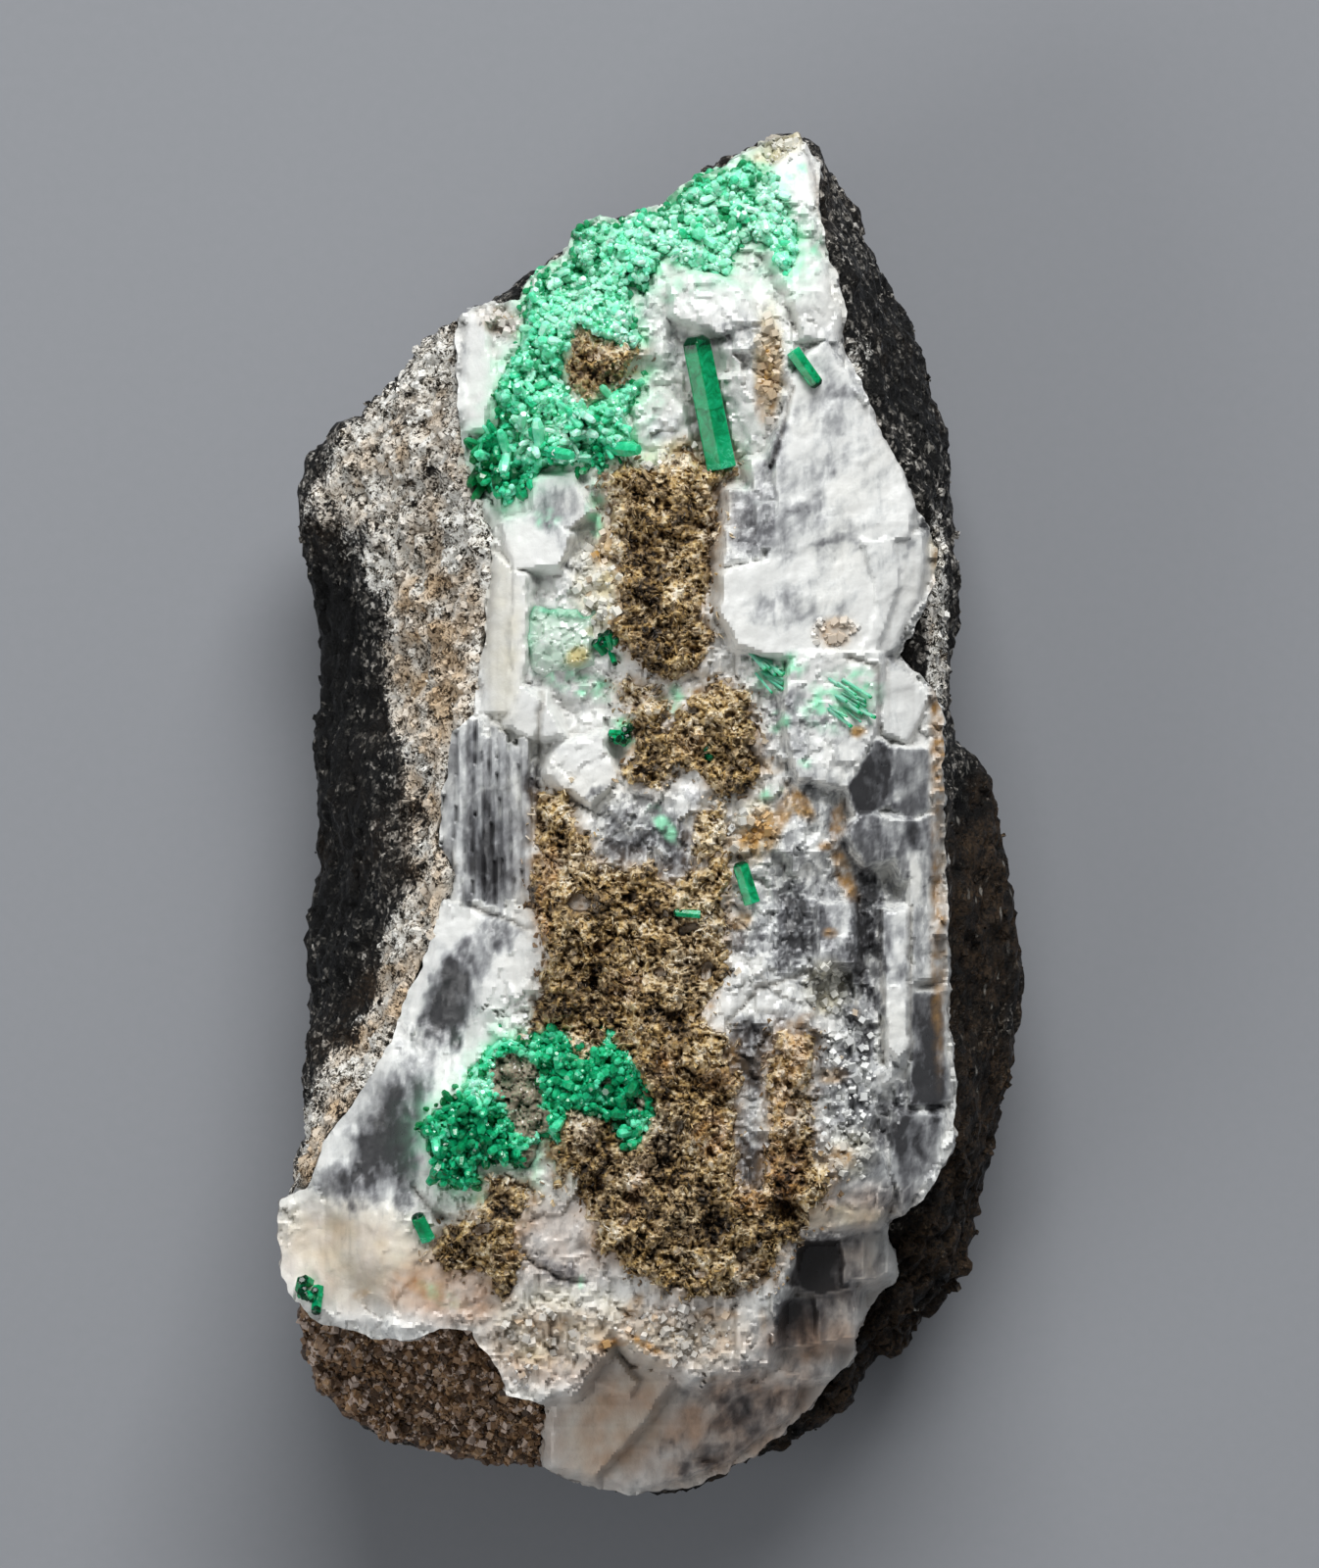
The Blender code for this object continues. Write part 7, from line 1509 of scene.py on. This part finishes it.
# Almost colourless beryl full of fine cracks, so it is cloudy grey-green with glassy glints.
place = put(tree, "TexCoord").outputs["Object"]
masks = {name: put(tree, "Attribute", attribute_name=name).outputs["Fac"] for name in ("skin", "yellow", "milky", "tone")}
grit = put(tree, "TexNoise", {"Scale": 1500.0, "Detail": 5.0, "Roughness": 0.6}, {"Vector": place}).outputs["Fac"]
colour = put(tree, "MixRGB", {"Color1": linear("B0D2BE"), "Color2": linear("E4F3E4")}, {"Fac": grit}).outputs[0]
colour = put(tree, "MixRGB", {"Color2": linear("E6EFE8")}, {"Fac": masks["milky"], "Color1": colour}).outputs[0]
colour = put(tree, "MixRGB", {"Color2": linear("D8C47C")}, {"Fac": masks["yellow"], "Color1": colour}).outputs[0]
green_skin = put(tree, "MixRGB", {"Color1": linear("2FA577"), "Color2": linear("9CE8C4")}, {"Fac": masks["tone"]}).outputs[0]
colour = put(tree, "MixRGB", {}, {"Fac": masks["skin"], "Color1": colour, "Color2": green_skin}).outputs[0]
fine_bump = put(tree, "Bump", {"Strength": 0.4, "Distance": 0.00012}, {"Height": grit}).outputs[0]
surface = put(
    tree, "BsdfPrincipled", {"IOR": 1.58, "Roughness": 0.18, "Transmission Weight": 0.25, "Subsurface Weight": 0.3,
    "Subsurface Radius": (0.8, 1.0, 0.9), "Subsurface Scale": 0.0010}, {"Base Color": colour, "Normal": fine_bump},
)
put(tree, "OutputMaterial", links={"Surface": surface.outputs[0]})
beryl.data.materials.append(goshenite)
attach(beryl, "root")
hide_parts("pale_beryl_crystal")

# ---- The single emeralds -----------------------------------------------------------------------
# Clear six-sided prisms, the largest 13 mm long, lying in the calcite. Beryl grows as a hexagon with a
# flat end whose edge is often bevelled; here and there a frosty band crosses it.

PRISMS = {
    # name: foot, tip, radius, frosty from the foot up to this share
    "emerald_prism_large": ((6.8, 35.6, 39.8), (4.1, 48.9, 41.8), 1.72, 0.12),
    "emerald_prism_right": ((14.0, 47.4, 41.9), (16.6, 43.8, 41.9), 0.85, 0.1),
    "emerald_prism_centre": ((9.9, -8.6, 42.2), (8.6, -4.4, 42.4), 0.95, 0.1),
    "emerald_prism_left": ((-23.0, -42.8, 38.4), (-24.2, -40.2, 39.4), 0.85, 0.2),
    "emerald_prism_thin": ((4.6, -9.7, 43.8), (1.9, -9.5, 44.0), 0.45, 0.3),
}
KNOTS = {
    # name: centre, how far the crystals reach, how many, the way that they lean, their thickness, how frosty
    "emerald_knot_edge": ((-35.2, -48.2, 33.4), 1.9, 10, (-0.2, -0.2, 0.8), 0.30, 0.2),
    "emerald_knot_middle": ((-3.0, 8.6, 40.4), 1.5, 9, (0.0, 0.2, 1.0), 0.28, 0.3),
    "emerald_knot_centre": ((4.9, 6.7, 42.2), 1.4, 10, (0.4, 0.5, 0.8), 0.26, 0.6),
    "emerald_knot_beryl": ((-4.9, 17.4, 41.4), 1.6, 8, (-0.2, 0.3, 0.9), 0.28, 0.2),
    "emerald_fan_middle": ((11.6, 15.0, 43.8), 2.2, 16, (0.7, -0.55, 0.10), 0.10, 2.2),
    "emerald_fan_right": ((19.4, 12.2, 43.2), 2.4, 20, (0.8, -0.5, 0.08), 0.085, 2.5),
}
PRISM_TAPER, PRISM_END, PRISM_BEVEL = 0.94, 0.55, 0.35


def prism(name, foot, tip, radius, cuts=3):
    """A six-sided prism with a bevelled end, its long edges chipped a little round."""
    foot, run = Vector(foot), Vector(tip) - Vector(foot)
    long, wide = run.length * MM, radius * MM
    bpy.ops.object.select_all(action="DESELECT")
    bpy.ops.mesh.primitive_cylinder_add(vertices=6, radius=wide, depth=long, end_fill_type="NGON", location=(0, 0, long / 2))
    made = bpy.context.object
    made.name = name
    bpy.ops.object.transform_apply(location=True, rotation=True, scale=True)
    bpy.ops.object.mode_set(mode="EDIT")
    bpy.ops.mesh.select_mode(type="FACE")
    bpy.ops.mesh.select_all(action="DESELECT")
    bpy.ops.object.mode_set(mode="OBJECT")
    for face in made.data.polygons:
        face.select = face.normal.z > 0.9
    bpy.ops.object.mode_set(mode="EDIT")
    middle = (0, 0, long)
    bpy.ops.transform.resize(value=(PRISM_TAPER, PRISM_TAPER, 1), center_override=middle)
    bpy.ops.transform.translate(value=(0, 0, -PRISM_BEVEL * wide))
    bpy.ops.mesh.extrude_region_move(TRANSFORM_OT_translate={"value": (0, 0, PRISM_BEVEL * wide)})
    bpy.ops.transform.resize(value=(PRISM_END / PRISM_TAPER, PRISM_END / PRISM_TAPER, 1), center_override=middle)
    bpy.ops.object.mode_set(mode="OBJECT")
    rounding = made.modifiers.new("chipped edges", "BEVEL")
    rounding.width, rounding.segments, rounding.limit_method = 0.07 * wide, 2, "ANGLE"
    bpy.ops.object.modifier_apply(modifier=rounding.name)
    bpy.ops.object.mode_set(mode="EDIT")
    bpy.ops.mesh.select_all(action="SELECT")
    if cuts:
        bpy.ops.mesh.quads_convert_to_tris()
        bpy.ops.mesh.subdivide(number_cuts=cuts)
        bpy.ops.mesh.tris_convert_to_quads()
    bpy.ops.object.mode_set(mode="OBJECT")
    places = read(made)
    mark(made, up=places[:, 2] / run.length)
    turn = run.to_track_quat("Z", "Y").to_matrix().to_4x4()
    made.data.transform(Matrix.Translation(foot * MM) @ turn)
    return made


emerald, tree = new_material("clear emerald")
# Clear beryl coloured by chromium: glassy growth faces with fine lines across the prism, a garden of
# cracks that lights up inside it, a frosty lower part and a dark clear end.
place = put(tree, "TexCoord").outputs["Object"]
masks = {name: put(tree, "Attribute", attribute_name=name).outputs["Fac"] for name in ("up", "frost")}
garden = put(tree, "TexNoise", {"Scale": 750.0, "Detail": 6.0, "Roughness": 0.68, "Distortion": 1.4}, {"Vector": place}).outputs["Fac"]
lines = put(tree, "TexNoise", {"Scale": 34.0, "Detail": 3.0}, {"Vector": put(tree, "CombineXYZ", {}, {"Z": masks["up"]}).outputs[0]}).outputs["Fac"]
end = put(tree, "MapRange", {"From Min": 0.86, "From Max": 0.97}, {"Value": masks["up"]}).outputs[0]
milk = put(tree, "Math", {1: 0.16}, {0: masks["frost"], 2: garden}, operation="MULTIPLY_ADD").outputs[0]
darker = put(tree, "Math", {1: 0.40}, {0: end}, operation="MULTIPLY").outputs[0]
milk = put(tree, "Math", {}, {0: milk, 1: darker}, operation="SUBTRACT").outputs[0]
body = put(tree, "ValToRGB", links={"Fac": milk})
ramp = body.color_ramp
ramp.elements[0].position, ramp.elements[0].color = 0.20, linear("033A22")
ramp.elements[1].position, ramp.elements[1].color = 1.0, linear("A8F4D2")
for position, code in ((0.36, "06804F"), (0.48, "08AA6A"), (0.62, "18CC8A"), (0.78, "62E4B2")):
    ramp.elements.new(position).color = linear(code)
dull = put(tree, "MapRange", {"From Min": 0.4, "From Max": 0.9, "To Min": 0.06, "To Max": 0.42}, {"Value": milk}).outputs[0]
fine_bump = put(tree, "Bump", {"Strength": 0.30, "Distance": 0.00010}, {"Height": garden}).outputs[0]
fine_bump = put(tree, "Bump", {"Strength": 0.25, "Distance": 0.00008}, {"Height": lines, "Normal": fine_bump}).outputs[0]
surface = put(
    tree, "BsdfPrincipled", {"IOR": 1.58, "Specular IOR Level": 0.06, "Transmission Weight": 0.4, "Subsurface Weight": 0.35,
    "Subsurface Radius": (0.2, 1.0, 0.5), "Subsurface Scale": 0.0012}, {"Base Color": body.outputs[0], "Roughness": dull, "Normal": fine_bump}
)
depth_colour = put(tree, "VolumeAbsorption", {"Color": linear("10C878"), "Density": 900.0})
put(tree, "OutputMaterial", links={"Surface": surface.outputs[0], "Volume": depth_colour.outputs[0]})

for name, (foot, tip, radius, frosty) in PRISMS.items():
    stone = prism(name + "_stone", foot, tip, radius)
    up = np.empty(len(stone.data.vertices), np.float32)
    stone.data.attributes["up"].data.foreach_get("value", up)
    mark(stone, frost=1 - ease(up, frosty - 0.1, frosty + 0.15))
    stone.data.materials.append(emerald)
    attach(stone, "root")
    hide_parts(name)

for name, (centre, reach, count, way, thick, frosty) in KNOTS.items():
    dice, loose_way = random.Random(name), 0.3 if "fan" in name else 1.0
    stems = []
    for turn in range(count):
        lean = Vector(way) + loose_way * Vector((dice.gauss(0, 0.4), dice.gauss(0, 0.4), dice.gauss(0, 0.3)))
        lean.normalize()
        aside = Vector((dice.uniform(-1, 1), dice.uniform(-1, 1), 0.0)) * reach * 0.6
        foot = Vector((centre[0], centre[1], 0)) + aside
        foot.z = float(vein_top(np.array([foot[:2]]))[0]) + 0.1 - 0.35 * lean.z * reach
        foot -= Vector((lean.x, lean.y, 0)) * reach * 0.5
        tip = foot + lean * reach * dice.uniform(0.9, 1.6)
        stems.append(prism(f"{name}_{turn}", foot, tip, reach * thick * dice.uniform(0.6, 1.2), 0))
    work_on(stems[0])
    for stem in stems:
        stem.select_set(True)
    bpy.ops.object.join()
    cluster = bpy.context.object
    cluster.name = name + "_crystals"
    mark(cluster, frost=np.full(len(cluster.data.vertices), frosty))
    cluster.data.materials.clear()
    cluster.data.materials.append(emerald)
    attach(cluster, "root")
    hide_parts(name)
